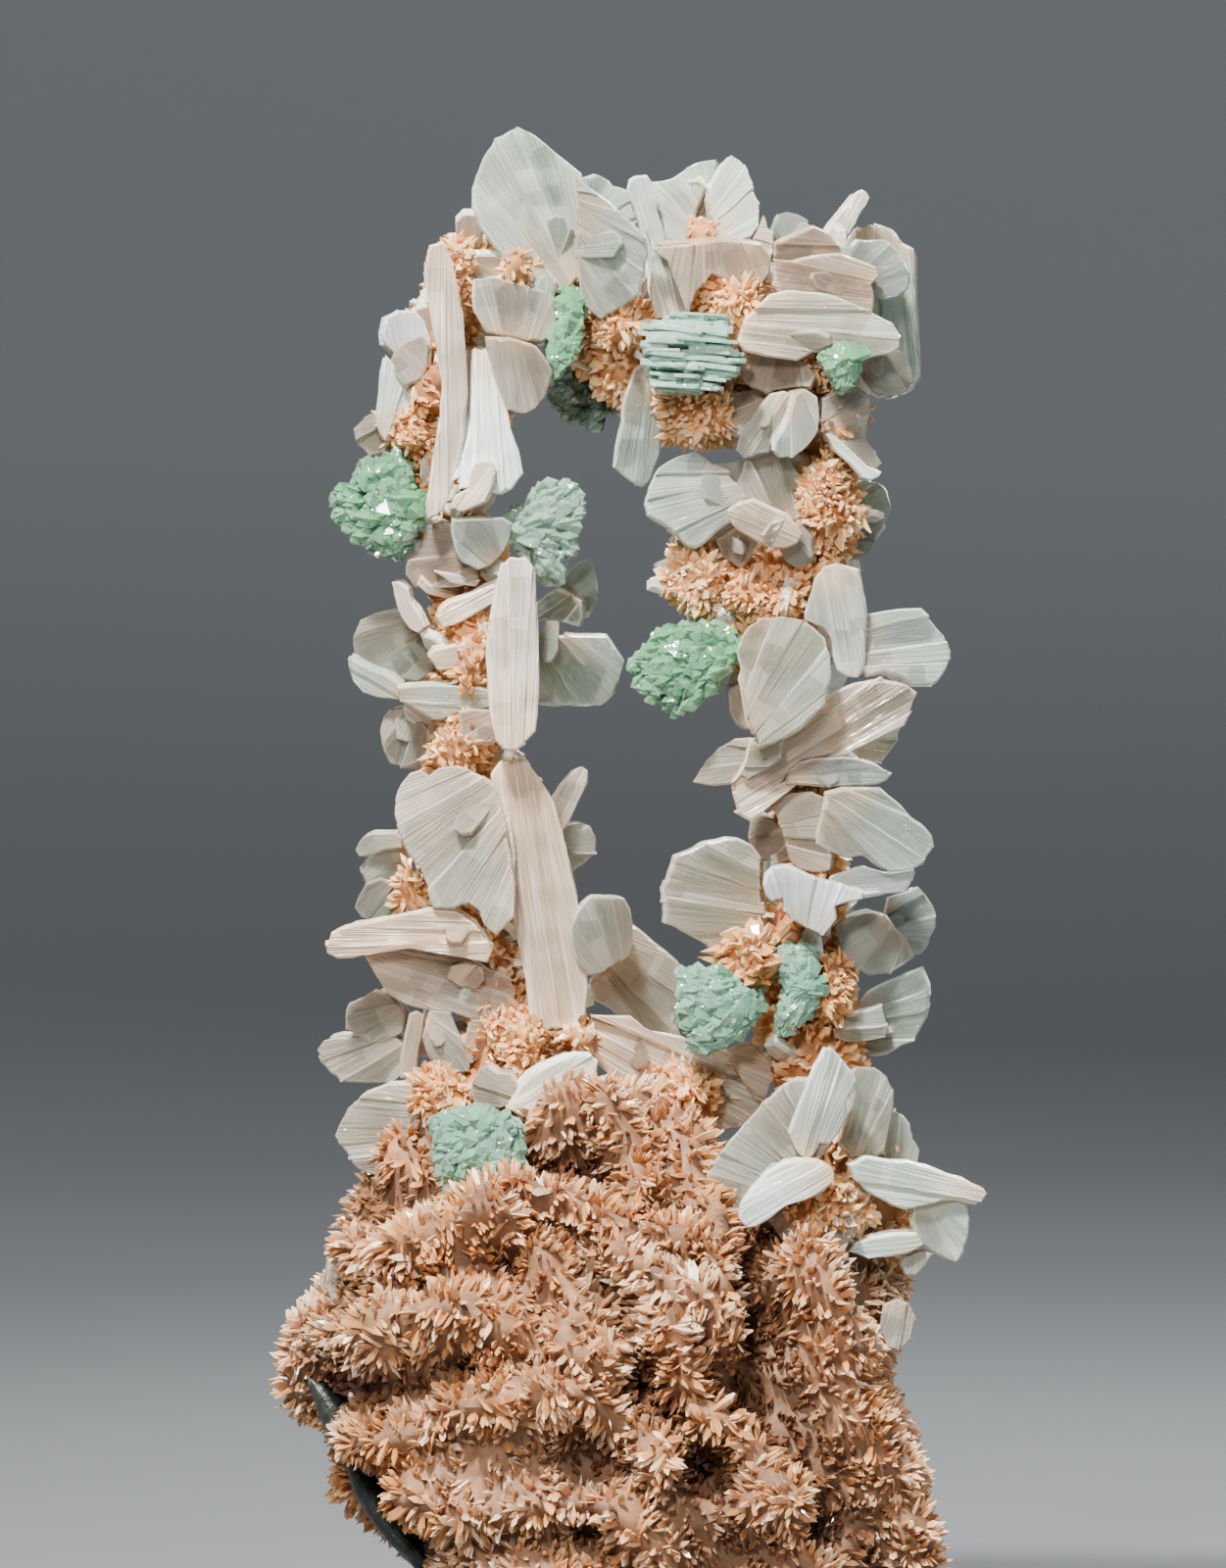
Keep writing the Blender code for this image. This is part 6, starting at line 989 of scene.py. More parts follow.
def apophyllite(pile, rng, outline, root, depth, thick, style):
    poly = [tuple(q) for q in outline]
    pts = np.array(poly, float)
    uc, vc = pts.mean(0)
    main = math.atan2(vc - root[1], uc - root[0])
    spread = style.get("spread", 1.9)
    rays = style.get("rays", 60)
    base, tip, width, roll, pyr, hue = [], [], [], [], [], []
    for i in range(rays):
        ang = main + (i / (rays - 1) - 0.5) * 2 * spread + rng.normal() * 0.04
        r = reach(poly, root, ang)
        if r < 8:
            continue
        layer = rng.uniform(-1, 1)
        r *= rng.uniform(0.72, 1.0) if abs(layer) > 0.35 else rng.uniform(0.9, 1.02)
        r *= math.sqrt(max(0.15, 1 - 0.55 * layer * layer))
        lift = layer * thick * 0.42
        off = rng.uniform(-0.10, 0.10) * r
        px, py = -math.sin(ang), math.cos(ang)
        s = rng.uniform(0.0, 0.45)
        b = (root[0] + math.cos(ang) * r * s + px * off * 0.5, root[1] + math.sin(ang) * r * s + py * off * 0.5, depth + lift * (0.15 + 0.85 * s))
        t = (root[0] + math.cos(ang) * r + px * off * 0.3, root[1] + math.sin(ang) * r + py * off * 0.3, depth + lift)
        if not point_inside((t[0] * 0.94 + root[0] * 0.06, t[1] * 0.94 + root[1] * 0.06), poly):
            continue
        base.append(place(*b))
        tip.append(place(*t))
        w = rng.uniform(0.55, 0.95) * style.get("size", 1.0)
        width.append(w * MM)
        roll.append(rng.uniform(0, 1.5))
        pyr.append(min(0.45, w * 0.11 * 6.0 / max(r * 0.11, 1)))
        hue.append(np.clip(0.5 + 0.25 * rng.normal(), 0, 1))
    prisms(pile, np.array(base), np.array(tip), np.array(width), np.array(roll), np.array(pyr), np.array(hue))
    # a leaf-like body that carries them
    at, xa, ya, nrm, poly2 = plane_of(outline, depth, 0.04, 0.03)
    c = poly2.mean(0)
    body = c + (poly2 - c) * 0.80
    ring, _ = resample(body, 0.9)
    n = len(ring)
    rows = []
    prof = ((-1, 0.45), (-0.7, 0.85), (0, 1.0), (0.7, 0.85), (1, 0.45))
    for z, s in prof:
        q = c + (ring - c) * s
        zz = z * thick * 0.20 + 0.25 * noise(np.column_stack([q / 1.2, np.full(n, z * 3.0 + depth)]), 17)
        rows.append(at + (q[:, 0:1] * xa + q[:, 1:2] * ya + zz[:, None] * nrm) * MM)
    verts = np.vstack(rows + [[at + (c[0] * xa + c[1] * ya - nrm * thick * 0.22) * MM], [at + (c[0] * xa + c[1] * ya + nrm * thick * 0.22) * MM]])
    f = []
    for r in range(4):
        for i in range(n):
            k = (i + 1) % n
            f += [(r * n + i, r * n + k, (r + 1) * n + k), (r * n + i, (r + 1) * n + k, (r + 1) * n + i)]
    for i in range(n):
        k = (i + 1) % n
        f += [(k, i, 5 * n), (4 * n + i, 4 * n + k, 5 * n + 1)]
    f = np.array(f)
    nextp = np.roll(ring, -1, 0)
    if np.sum(ring[:, 0] * nextp[:, 1] - nextp[:, 0] * ring[:, 1]) < 0:
        f = f[:, ::-1]
    pile.add(verts, f, tip=0.3, hue=0.5)
    # pointed scales that overlap outward over both faces
    poly2d = [tuple(q) for q in poly2]
    ray = place(root[0], root[1], 0.0) - EYE
    q = EYE + ray * (((at - EYE) @ nrm) / (ray @ nrm))[..., None] - at
    r2 = np.array([q @ xa, q @ ya]) / MM
    lo, hi = poly2.min(0), poly2.max(0)
    pick = rng.uniform(lo, hi, (style.get("scales", 300) * 3, 2))
    pick = pick[[point_inside(p, poly2d) for p in pick]][: style.get("scales", 300)]
    m = len(pick)
    face = np.where(rng.random(m) < 0.6, 1.0, -1.0)
    rel = (pick - c) / np.maximum(np.abs(poly2 - c).max(0), 1e-6)
    dome = np.sqrt(np.clip(1 - np.sum((rel * 0.95) ** 2, 1), 0.0, 1))
    h = thick * (0.10 + 0.34 * dome) * face
    dirs = unit(pick - r2)
    turn = rng.normal(size=m) * 0.22
    dirs = np.column_stack([dirs[:, 0] * np.cos(turn) - dirs[:, 1] * np.sin(turn), dirs[:, 0] * np.sin(turn) + dirs[:, 1] * np.cos(turn)])
    lift = rng.uniform(0.15, 1.1, m) * face
    axis = unit(dirs[:, 0:1] * xa + dirs[:, 1:2] * ya + lift[:, None] * nrm)
    side = unit(np.cross(axis, np.broadcast_to(nrm, axis.shape)) + 0.35 * rng.normal(size=(m, 3)))
    size = style.get("size", 1.0)
    L = rng.uniform(2.0, 3.6, m) * size * MM
    W = L * rng.uniform(0.34, 0.62, m)
    tipp = at + (pick[:, 0:1] * xa + pick[:, 1:2] * ya + h[:, None] * nrm) * MM
    base_p = tipp - axis * L[:, None]
    prisms(pile, base_p, tipp, W, rng.uniform(0, 1.57, m), rng.uniform(0.22, 0.5, m), np.clip(0.5 + 0.25 * rng.normal(size=m), 0, 1), 4, 0.85)


def lamellae(pile, rng, outline, depth, thick, style):
    """A pile of thin split plates seen edge-on, cracked across into blocks."""
    poly = [tuple(q) for q in outline]
    pts = np.array(poly, float)
    cen = pts.mean(0)
    tilt = math.radians(style.get("tilt", -4.0))
    ct, st_ = math.cos(tilt), math.sin(tilt)
    rel = pts - cen
    local = np.column_stack([rel[:, 0] * ct - rel[:, 1] * st_, rel[:, 0] * st_ + rel[:, 1] * ct])
    k = VIEW / UNITS / MM
    v = local[:, 1].min() + 2.0
    top, bottom = local[:, 1].min(), local[:, 1].max()
    n = len(local)
    rings = 8
    while v < bottom - 2:
        hh = rng.uniform(1.8, 4.6)
        xs = []
        vm = min(v + hh * 0.5, bottom - 1)
        for i in range(n):
            a, b = local[i], local[(i + 1) % n]
            if (a[1] > vm) != (b[1] > vm):
                xs.append(a[0] + (vm - a[1]) * (b[0] - a[0]) / (b[1] - a[1]))
        if len(xs) >= 2:
            u0, u1 = min(xs) + rng.uniform(-7, 9), max(xs) + rng.uniform(-8, 4)
            u = u0
            mid_v = (vm - (top + bottom) / 2) / ((bottom - top) / 2)
            while u < u1 - 4:
                wd = min(rng.uniform(10, 60), u1 - u)
                if u1 - u - wd < 9:
                    wd = u1 - u
                mid_u = ((u + wd / 2) - (u0 + u1) / 2) / max((u1 - u0) / 2, 1)
                dome = math.sqrt(max(0.12, 1 - 0.55 * mid_u ** 2 - 0.45 * mid_v ** 2))
                ridge = noise(np.array([[(u + wd / 2) / 13.0, vm / 9.0, 3.0]]), 91)[0]
                front = thick * 0.46 * dome + 0.9 * ridge + rng.uniform(-0.5, 0.3)
                back = -thick * 0.44 * dome + rng.uniform(-0.3, 0.3)
                hw, hd = wd * 0.5 * k, (front - back) / 2
                cut = min(0.45, hw * 0.4)
                base = np.array([(-hw + cut, -hd), (hw - cut, -hd), (hw, -hd + cut), (hw, hd - cut), (hw - cut, hd), (-hw + cut, hd), (-hw, hd - cut), (-hw, -hd + cut)])
                base = base + rng.uniform(-0.30, 0.30, base.shape)
                t = hh * 0.5 * k * rng.uniform(1.2, 1.9)
                bev = min(0.10, t * 0.4)
                lean_x, lean_y = 0.03 * math.sin(vm * 0.35) + rng.normal() * 0.03, rng.normal() * 0.20
                rows = []
                for z, inset in ((-t, bev), (-t + bev, 0.0), (t - bev, 0.0), (t, bev)):
                    s_ = 1 - inset / np.maximum(np.linalg.norm(base, axis=1), 0.3)
                    q = base * s_[:, None]
                    rows.append(np.column_stack([q[:, 0], q[:, 1], z + q[:, 0] * lean_x + q[:, 1] * lean_y]))
                loc = np.vstack(rows + [[[0, 0, -t]], [[0, 0, t]]])
                uu, vv = u + wd / 2, vm
                cu, cv = uu * ct + vv * st_, -uu * st_ + vv * ct
                at = place(cen[0] + cu, cen[1] + cv, depth - (front + back) / 2)
                w = at + np.column_stack([loc[:, 0] * ct - loc[:, 2] * (-st_) * -1.0, -loc[:, 1], loc[:, 2] * ct + loc[:, 0] * st_]) * MM
                f = []
                for r in range(3):
                    for i in range(rings):
                        j = (i + 1) % rings
                        f += [(r * rings + i, r * rings + j, (r + 1) * rings + j), (r * rings + i, (r + 1) * rings + j, (r + 1) * rings + i)]
                for i in range(rings):
                    j = (i + 1) % rings
                    f += [(j, i, 4 * rings), (3 * rings + i, 3 * rings + j, 4 * rings + 1)]
                f = np.array(f)
                cr = np.cross(w[f[:, 1]] - w[f[:, 0]], w[f[:, 2]] - w[f[:, 0]])
                if np.mean(np.sum(cr * (w[f].mean(1) - w.mean(0)), 1)) < 0:
                    f = f[:, ::-1]
                pile.add(w, f, tip=0.25 + 0.5 * rng.random(), hue=float(np.clip(0.5 + 0.3 * rng.normal(), 0, 1)))
                u += wd + rng.uniform(-2.0, 1.2)
        v += hh * rng.uniform(0.75, 1.0)


# ---- materials -----------------------------------------------------------------
def new_material(name):
    mat = bpy.data.materials.new(name)
    mat.use_nodes = True
    tree = mat.node_tree
    tree.nodes.clear()
    out = tree.nodes.new("ShaderNodeOutputMaterial")
    bsdf = tree.nodes.new("ShaderNodeBsdfPrincipled")
    tree.links.new(bsdf.outputs["BSDF"], out.inputs["Surface"])
    return mat, tree, bsdf, out


def attribute(tree, name):
    node = tree.nodes.new("ShaderNodeAttribute")
    node.attribute_name = name
    return node


def ramp(tree, value, stops):
    node = tree.nodes.new("ShaderNodeValToRGB")
    el = node.color_ramp.elements
    while len(el) > len(stops):
        el.remove(el[-1])
    while len(el) < len(stops):
        el.new(0.5)
    for e, (pos, col) in zip(el, stops):
        e.position = pos
        e.color = (*col, 1.0) if len(col) == 3 else col
    tree.links.new(value, node.inputs["Fac"])
    return node.outputs["Color"]


def math_node(tree, op, a, b=None, clamp=False):
    node = tree.nodes.new("ShaderNodeMath")
    node.operation = op
    node.use_clamp = clamp
    for i, q in enumerate((a, b)):
        if q is None:
            continue
        if isinstance(q, (int, float)):
            node.inputs[i].default_value = q
        else:
            tree.links.new(q, node.inputs[i])
    return node.outputs[0]


def mix(tree, fac, a, b, blend="MIX"):
    node = tree.nodes.new("ShaderNodeMix")
    node.data_type = "RGBA"
    node.blend_type = blend
    for key, q in (("Factor", fac), ("A", a), ("B", b)):
        sock = [s for s in node.inputs if s.name == key and (s.type == ("VALUE" if key == "Factor" else "RGBA"))][0]
        if isinstance(q, (int, float)):
            sock.default_value = q
        elif isinstance(q, tuple):
            sock.default_value = (*q, 1.0)
        else:
            tree.links.new(q, sock)
    return [s for s in node.outputs if s.type == "RGBA"][0]


def noise_node(tree, vector, scale, detail=2.0, rough=0.5):
    node = tree.nodes.new("ShaderNodeTexNoise")
    node.inputs["Scale"].default_value = scale
    node.inputs["Detail"].default_value = detail
    node.inputs["Roughness"].default_value = rough
    if vector is not None:
        tree.links.new(vector, node.inputs["Vector"])
    return node.outputs["Fac"]


def object_coords(tree):
    return tree.nodes.new("ShaderNodeTexCoord").outputs["Object"]


def bump(tree, bsdf, height, distance, strength=1.0):
    node = tree.nodes.new("ShaderNodeBump")
    node.inputs["Distance"].default_value = distance
    node.inputs["Strength"].default_value = strength
    tree.links.new(height, node.inputs["Height"])
    tree.links.new(node.outputs["Normal"], bsdf.inputs["Normal"])


def druse_material(name, body_stops, tip_stops, shade):
    mat, tree, bsdf, out = new_material(name)
    tip, hue, deep = (attribute(tree, k).outputs["Fac"] for k in ("tip", "hue", "deep"))
    co = object_coords(tree)
    patch = noise_node(tree, co, 140.0, 1.0)
    h = math_node(tree, "ADD", math_node(tree, "MULTIPLY", hue, 0.7), math_node(tree, "MULTIPLY", patch, 0.4))
    body = ramp(tree, h, body_stops)
    tipc = ramp(tree, h, tip_stops)
    f = math_node(tree, "POWER", tip, 1.4)
    col = mix(tree, f, body, tipc)
    # painted shade: the colour is pulled towards dark brown by the shade amount
    col = mix(tree, math_node(tree, "MULTIPLY", deep, shade, clamp=True), col, (0.15, 0.06, 0.028))
    tree.links.new(col, bsdf.inputs["Base Color"])
    bsdf.inputs["Roughness"].default_value = 0.22
    bsdf.inputs["IOR"].default_value = 1.5
    return mat


def rind_material():
    mat, tree, bsdf, out = new_material("rind")
    co = object_coords(tree)
    a = noise_node(tree, co, 900.0, 3.0, 0.6)
    col = ramp(tree, a, [(0.3, (0.010, 0.012, 0.010)), (0.6, (0.030, 0.038, 0.030)), (0.8, (0.10, 0.10, 0.075))])
    tree.links.new(col, bsdf.inputs["Base Color"])
    bsdf.inputs["Roughness"].default_value = 0.38
    bump(tree, bsdf, a, 0.0004, 0.8)
    return mat


def rock_material(name, stops):
    mat, tree, bsdf, out = new_material(name)
    deep = attribute(tree, "deep").outputs["Fac"]
    co = object_coords(tree)
    a = noise_node(tree, co, 300.0, 3.0, 0.6)
    b = noise_node(tree, co, 60.0, 3.0)
    col = ramp(tree, a, stops)
    # painted shade: the colour is pulled towards dark brown by the shade amount
    col = mix(tree, math_node(tree, "MULTIPLY", deep, 0.7, clamp=True), col, (0.16, 0.075, 0.035))
    col = mix(tree, math_node(tree, "MULTIPLY", b, 0.15), col, (0.30, 0.24, 0.15))
    tree.links.new(col, bsdf.inputs["Base Color"])
    bsdf.inputs["Roughness"].default_value = 0.7
    bump(tree, bsdf, a, 0.0004, 0.8)
    return mat


def stilbite_material(name="stilbite", clear=True):
    mat, tree, bsdf, out = new_material(name)
    hue, milk, tip = (attribute(tree, k).outputs["Fac"] for k in ("hue", "milk", "tip"))
    local = attribute(tree, "local").outputs["Vector"]
    sep = tree.nodes.new("ShaderNodeSeparateXYZ")
    tree.links.new(local, sep.inputs[0])
    ang = math_node(tree, "ARCTAN2", sep.outputs["Y"], sep.outputs["X"])
    length = tree.nodes.new("ShaderNodeVectorMath")
    length.operation = "LENGTH"
    tree.links.new(local, length.inputs[0])
    far = length.outputs["Value"]
    def streak(freq, along, seed, detail=3.0):
        comb = tree.nodes.new("ShaderNodeCombineXYZ")
        tree.links.new(math_node(tree, "MULTIPLY", ang, freq), comb.inputs[0])
        tree.links.new(math_node(tree, "MULTIPLY", far, along), comb.inputs[1])
        tree.links.new(math_node(tree, "ADD", math_node(tree, "MULTIPLY", sep.outputs["Z"], 0.9), seed), comb.inputs[2])
        return noise_node(tree, comb.outputs[0], 1.0, detail, 0.55)
    fine = streak(420.0, 0.12, 1.7, 0.0)
    broad = streak(80.0, 0.10, 9.1, 0.0)
    co = object_coords(tree)
    cloud = noise_node(tree, co, 190.0, 1.0, 0.6)
    rim = attribute(tree, "rim").outputs["Fac"]
    tint = ramp(tree, hue, [(0.0, (0.93, 0.99, 0.97)), (0.24, (0.86, 0.98, 0.85)), (0.42, (0.985, 0.95, 0.79)), (0.60, (0.99, 0.82, 0.65)), (0.82, (0.975, 0.72, 0.50)), (1.0, (0.94, 0.55, 0.28))])
    # White streaks along the growth lines: partly the crystal's own striation, partly painted pearly glints from the
    # cleavage; they whiten the colour and make the plate less see-through
    streaks_and_glints = ramp(tree, fine, [(0.60, (0.0, 0.0, 0.0)), (0.67, (1.0, 1.0, 1.0))])
    bands = ramp(tree, broad, [(0.40, (0.0, 0.0, 0.0)), (0.66, (1.0, 1.0, 1.0))])
    veil = ramp(tree, cloud, [(0.44, (0.0, 0.0, 0.0)), (0.70, (1.0, 1.0, 1.0))])
    # painted highlight: a whiter, less see-through band along each rim stands in for the bright edges
    edge = ramp(tree, rim, [(0.06, (1.0, 1.0, 1.0)), (0.32, (0.0, 0.0, 0.0))])
    rooty = math_node(tree, "MULTIPLY", math_node(tree, "SUBTRACT", 0.50, tip, clamp=True), math_node(tree, "MULTIPLY", cloud, 2.8), clamp=True)
    col = mix(tree, math_node(tree, "MULTIPLY", streaks_and_glints, 0.45), tint, (0.99, 0.99, 0.985))
    col = mix(tree, rooty, col, (0.96, 0.70, 0.46))
    tree.links.new(col, bsdf.inputs["Base Color"])
    body = math_node(tree, "ADD", 0.46, math_node(tree, "MULTIPLY", bands, 0.08))
    body = math_node(tree, "ADD", body, math_node(tree, "MULTIPLY", veil, 0.24))
    body = math_node(tree, "ADD", body, math_node(tree, "MULTIPLY", math_node(tree, "POWER", milk, 2.0), 0.75))
    solid = math_node(tree, "MULTIPLY", milk, body)
    solid = math_node(tree, "ADD", solid, math_node(tree, "MULTIPLY", streaks_and_glints, 0.12))
    solid = math_node(tree, "ADD", solid, math_node(tree, "MULTIPLY", edge, 0.34))
    solid = math_node(tree, "ADD", solid, math_node(tree, "MULTIPLY", rooty, 0.28), clamp=True)
    if clear:
        tree.links.new(math_node(tree, "SUBTRACT", 1.0, solid, clamp=True), bsdf.inputs["Transmission Weight"])
    rough = math_node(tree, "MULTIPLY", cloud, 0.10)
    tree.links.new(rough, bsdf.inputs["Roughness"])
    bsdf.inputs["IOR"].default_value = 1.50
    h = math_node(tree, "ADD", math_node(tree, "MULTIPLY", fine, 0.6), math_node(tree, "MULTIPLY", broad, 0.9))
    h = math_node(tree, "ADD", h, math_node(tree, "MULTIPLY", cloud, 2.4))
    bump(tree, bsdf, h, 0.00040, 0.9)
    return mat


def apophyllite_material(name, light, dark, absorb, density, trans, rough):
    mat, tree, bsdf, out = new_material(name)
    hue, tip = (attribute(tree, k).outputs["Fac"] for k in ("hue", "tip"))
    co = object_coords(tree)
    cloud = noise_node(tree, co, 230.0, 2.0, 0.55)
    fine = noise_node(tree, co, 1500.0, 1.0, 0.5)
    h = math_node(tree, "ADD", math_node(tree, "MULTIPLY", hue, 0.5), math_node(tree, "MULTIPLY", cloud, 0.6))
    col = ramp(tree, h, [(0.25, dark), (0.75, light)])
    col = mix(tree, math_node(tree, "MULTIPLY", math_node(tree, "POWER", tip, 2.0), 0.30), col, (0.80, 0.97, 0.86))
    tree.links.new(col, bsdf.inputs["Base Color"])
    tree.links.new(math_node(tree, "ADD", math_node(tree, "MULTIPLY", cloud, rough), 0.02), bsdf.inputs["Roughness"])
    bsdf.inputs["IOR"].default_value = 1.535
    bsdf.inputs["Coat Weight"].default_value = 0.9
    bsdf.inputs["Coat Roughness"].default_value = 0.04
    bsdf.inputs["Transmission Weight"].default_value = trans
    vol = tree.nodes.new("ShaderNodeVolumeAbsorption")
    vol.inputs["Color"].default_value = (*absorb, 1.0)
    vol.inputs["Density"].default_value = density
    tree.links.new(vol.outputs["Volume"], out.inputs["Volume"])
    bump(tree, bsdf, math_node(tree, "ADD", fine, math_node(tree, "MULTIPLY", cloud, 3.0)), 0.00016, 0.8)
    return mat


# ---- build: matrix -----------------------------------------------------------
rng = np.random.default_rng(20)
ROCK = rock_material("matrix_rock", [(0.3, (0.24, 0.08, 0.025)), (0.5, (0.50, 0.20, 0.06)), (0.72, (0.70, 0.35, 0.14))])
# The foot copies of the rock and the druse are darker, with a stronger shade factor: partly the foot's own darker
# colour, partly painted shade for the lower foot, which gets less light.
FOOT_ROCK = rock_material("matrix_rock_foot", [(0.3, (0.10, 0.045, 0.022)), (0.5, (0.24, 0.11, 0.05)), (0.72, (0.44, 0.23, 0.12))])
DRUSE = druse_material("druse_orange", [(0.15, (0.62, 0.17, 0.03)), (0.45, (0.80, 0.29, 0.06)), (0.7, (0.87, 0.42, 0.13)), (0.95, (0.88, 0.58, 0.28))], [(0.1, (0.88, 0.44, 0.15)), (0.6, (0.92, 0.60, 0.31)), (1.0, (0.94, 0.80, 0.60))], 0.8)
FOOT_DRUSE = druse_material("druse_foot", [(0.15, (0.30, 0.085, 0.02)), (0.45, (0.46, 0.155, 0.042)), (0.7, (0.58, 0.25, 0.09)), (0.95, (0.66, 0.40, 0.22))], [(0.1, (0.62, 0.26, 0.08)), (0.5, (0.74, 0.40, 0.18)), (0.9, (0.90, 0.74, 0.55))], 1.25)
RIND = rind_material()
STILB = stilbite_material()
MILKY = stilbite_material("stilbite_milky", False)

verts, tris, deep, wall = foot_surface()
pile = Pile()
pile.add(verts, tris, deep=deep)
pile.make("foot_rock", FOOT_ROCK, sharp=50, slot="matrix_druse", replaces=("matrix_foot",))


def on_foot(front):
    def keep(p, n):
        ok = p[:, 2] > 0.0004
        return ok & ((n[:, 1] < 0.15) if front else (n[:, 1] >= 0.15))
    return keep


side = tris[:wall]
fp = Pile()
druse(rng, fp, verts, side, deep, 18300, 2.25 * MM, on_foot(True), 1.0, 0.0, 0.62)
bp = Pile()
druse(rng, bp, verts, side, deep, 12500, 2.4 * MM, on_foot(False), 1.0, 0.0, 0.68)
for p in (fp, bp):
    p.v = [np.column_stack([q[:, 0], q[:, 1], np.maximum(q[:, 2], 0.0)]) for q in p.v]
fp.make("foot_druse_front", FOOT_DRUSE, slot="matrix_druse")
bp.make("foot_druse_back", FOOT_DRUSE, slot="matrix_druse")

# The thin dark rind under the broken left edge of the foot.
rp = Pile()
for k, y in enumerate((-9.5, -7.8, -6.1, -4.4, -2.7, -1.0, 0.7)):
    w = 1.0 - (y / 20.0) ** 2
    path = [(306 + 26 * (1 - w), 1400, y, 0.7), (320 + 22 * (1 - w), 1420, y, 0.95), (342 + 16 * (1 - w), 1444, y, 1.0), (356, 1484, y, 1.0), (374, 1520, y, 1.05), (398, 1560, y, 1.1), (430, 1590, y, 1.05), (456, 1628, y, 1.1), (482, 1676, y, 1.1), (494, 1694, y, 0.9)]
    v, t, d = tube_surface(path, 90 + k, sides=16, step=0.0012)
    v[:, 2] = np.maximum(v[:, 2], 0.0)
    rp.add(v, t, deep=d)
rp.make("foot_rind", RIND, slot="matrix_druse")

for name, paths, count in (
    ("left_pillar", (LEFT_PILLAR,), 3200),
    ("right_pillar", (RIGHT_PILLAR, WINDOW_STUB), 4200),
    ("arch_bridge", (BRIDGE, BRIDGE_TOP), 3300),
):
    rock, cry = Pile(), Pile()
    total = sum(len(q) for q in paths)
    for i, path in enumerate(paths):
        v, t, d = tube_surface(path, 60 + i)
        rock.add(v, t, deep=d)
        druse(rng, cry, v, t, d, int(count * len(path) / total), 1.9 * MM)
    rock.make(name + "_rock", ROCK, sharp=50, slot="matrix_druse", replaces=(name,))
    cry.make(name + "_druse", DRUSE, slot="matrix_druse")

# Knobs of druse between the blades: u, v, depth, half width, half height (units),
# half depth (mm), crystal size (mm), number, piece.
PATCHES = [
    (468, 258, -5.0, 16, 20, 3.0, 1.7, 190, "left"),
    (527, 272, -4.6, 11, 20, 3.0, 1.5, 120, "arch"),
    (628, 335, -3.0, 34, 26, 4.5, 1.6, 420, "arch"),
    (717, 232, -3.4, 12, 14, 2.5, 1.4, 90, "arch"),
    (750, 300, -5.0, 38, 26, 4.0, 1.7, 460, "arch"),
    (706, 424, -4.0, 46, 34, 4.5, 1.6, 620, "arch"),
    (422, 442, -5.4, 22, 32, 4.5, 1.5, 420, "left"),
    (448, 400, -5.0, 12, 22, 3.5, 1.5, 150, "left"),
    (838, 512, -4.4, 32, 56, 4.0, 1.9, 700, "right"),
    (706, 588, -3.6, 32, 42, 4.2, 1.9, 620, "right"),
    (786, 606, -4.4, 44, 36, 4.2, 1.7, 640, "right"),
    (470, 757, -5.6, 30, 30, 4.0, 1.8, 420, "left"),
    (482, 668, -4.0, 22, 60, 4.0, 1.7, 420, "left"),
    (418, 906, -3.6, 12, 22, 3.2, 1.8, 130, "left"),
    (534, 1056, -5.6, 30, 34, 4.4, 2.0, 420, "left"),
    (590, 1058, -4.0, 16, 14, 3.4, 1.7, 110, "left"),
    (764, 972, -8.4, 22, 24, 3.6, 2.6, 170, "right"),
    (850, 1010, -5.0, 18, 44, 4.0, 1.7, 330, "right"),
    (838, 900, -5.4, 22, 20, 3.4, 1.6, 170, "right"),
    (500, 440, -3.5, 14, 40, 3.0, 1.5, 170, "left"),
    (470, 300, -5.4, 12, 34, 3.0, 1.5, 140, "left"),
    (852, 440, -3.0, 24, 36, 3.6, 1.6, 260, "right"),
    (822, 372, -4.0, 24, 22, 3.6, 1.5, 180, "arch"),
    (850, 1240, -12.0, 46, 34, 4.6, 1.9, 520, "right"),
    (900, 1160, -5.4, 22, 30, 4.0, 1.7, 200, "right"),
    (700, 1110, -5.0, 40, 26, 4.0, 1.9, 300, "right"),
    (450, 1120, -8.0, 40, 26, 4.4, 1.8, 300, "left"),
]
for key in ("left", "right", "arch"):
    rock, cry = Pile(), Pile()
    for u, v, y, ru, rv, ry, size, count, where in PATCHES:
        if where != key:
            continue
        rows_, cols_ = 14, 22
        th = np.linspace(0.02, math.pi - 0.02, rows_)[:, None]
        ph = np.linspace(0, 2 * math.pi, cols_, endpoint=False)[None, :]
        k = VIEW / UNITS
        x = np.sin(th) * np.cos(ph) * ru * k
        z = np.cos(th) * rv * k * np.ones_like(ph)
        d = np.sin(th) * np.sin(ph) * ry * MM
        pts = np.stack([x, d, z], -1).reshape(-1, 3) * 0.82
        at = place(u, v, y)
        w = at + pts
        w = w + unit(pts) * ((2.0 * noise(w / 0.0034, 77) + 1.1 * noise(w / 0.0015, 79)) * MM)[:, None]
        t = grid_faces(rows_, cols_)
        top, bot = w[:cols_].mean(0), w[-cols_:].mean(0)
        j = np.arange(cols_)
        q = (j + 1) % cols_
        m = len(w)
        t = np.vstack([t, np.stack([q, j, np.full(cols_, m)], 1), np.stack([(rows_ - 1) * cols_ + j, (rows_ - 1) * cols_ + q, np.full(cols_, m + 1)], 1)])
        w = np.vstack([w, top, bot])
        cr = np.cross(w[t[:, 1]] - w[t[:, 0]], w[t[:, 2]] - w[t[:, 0]])
        if np.mean(np.sum(cr * (w[t].mean(1) - at), 1)) < 0:
            t = t[:, ::-1]
        # shade amount for the painted-shade mix of rock and druse, from a noise of its own: darker in random patches
        shade_at = np.clip(0.15 - 0.3 * noise(w / 0.003, 78), 0, 1)
        rock.add(w, t, deep=shade_at)
        druse(rng, cry, w, t, shade_at, int(count * 0.95), size * 0.98 * MM, lean=1.2, stub=0.35, slim=0.78)
    rock.make("knob_rock_" + key, ROCK, sharp=50, slot="matrix_druse")
    cry.make("knob_druse_" + key, DRUSE, slot="matrix_druse")

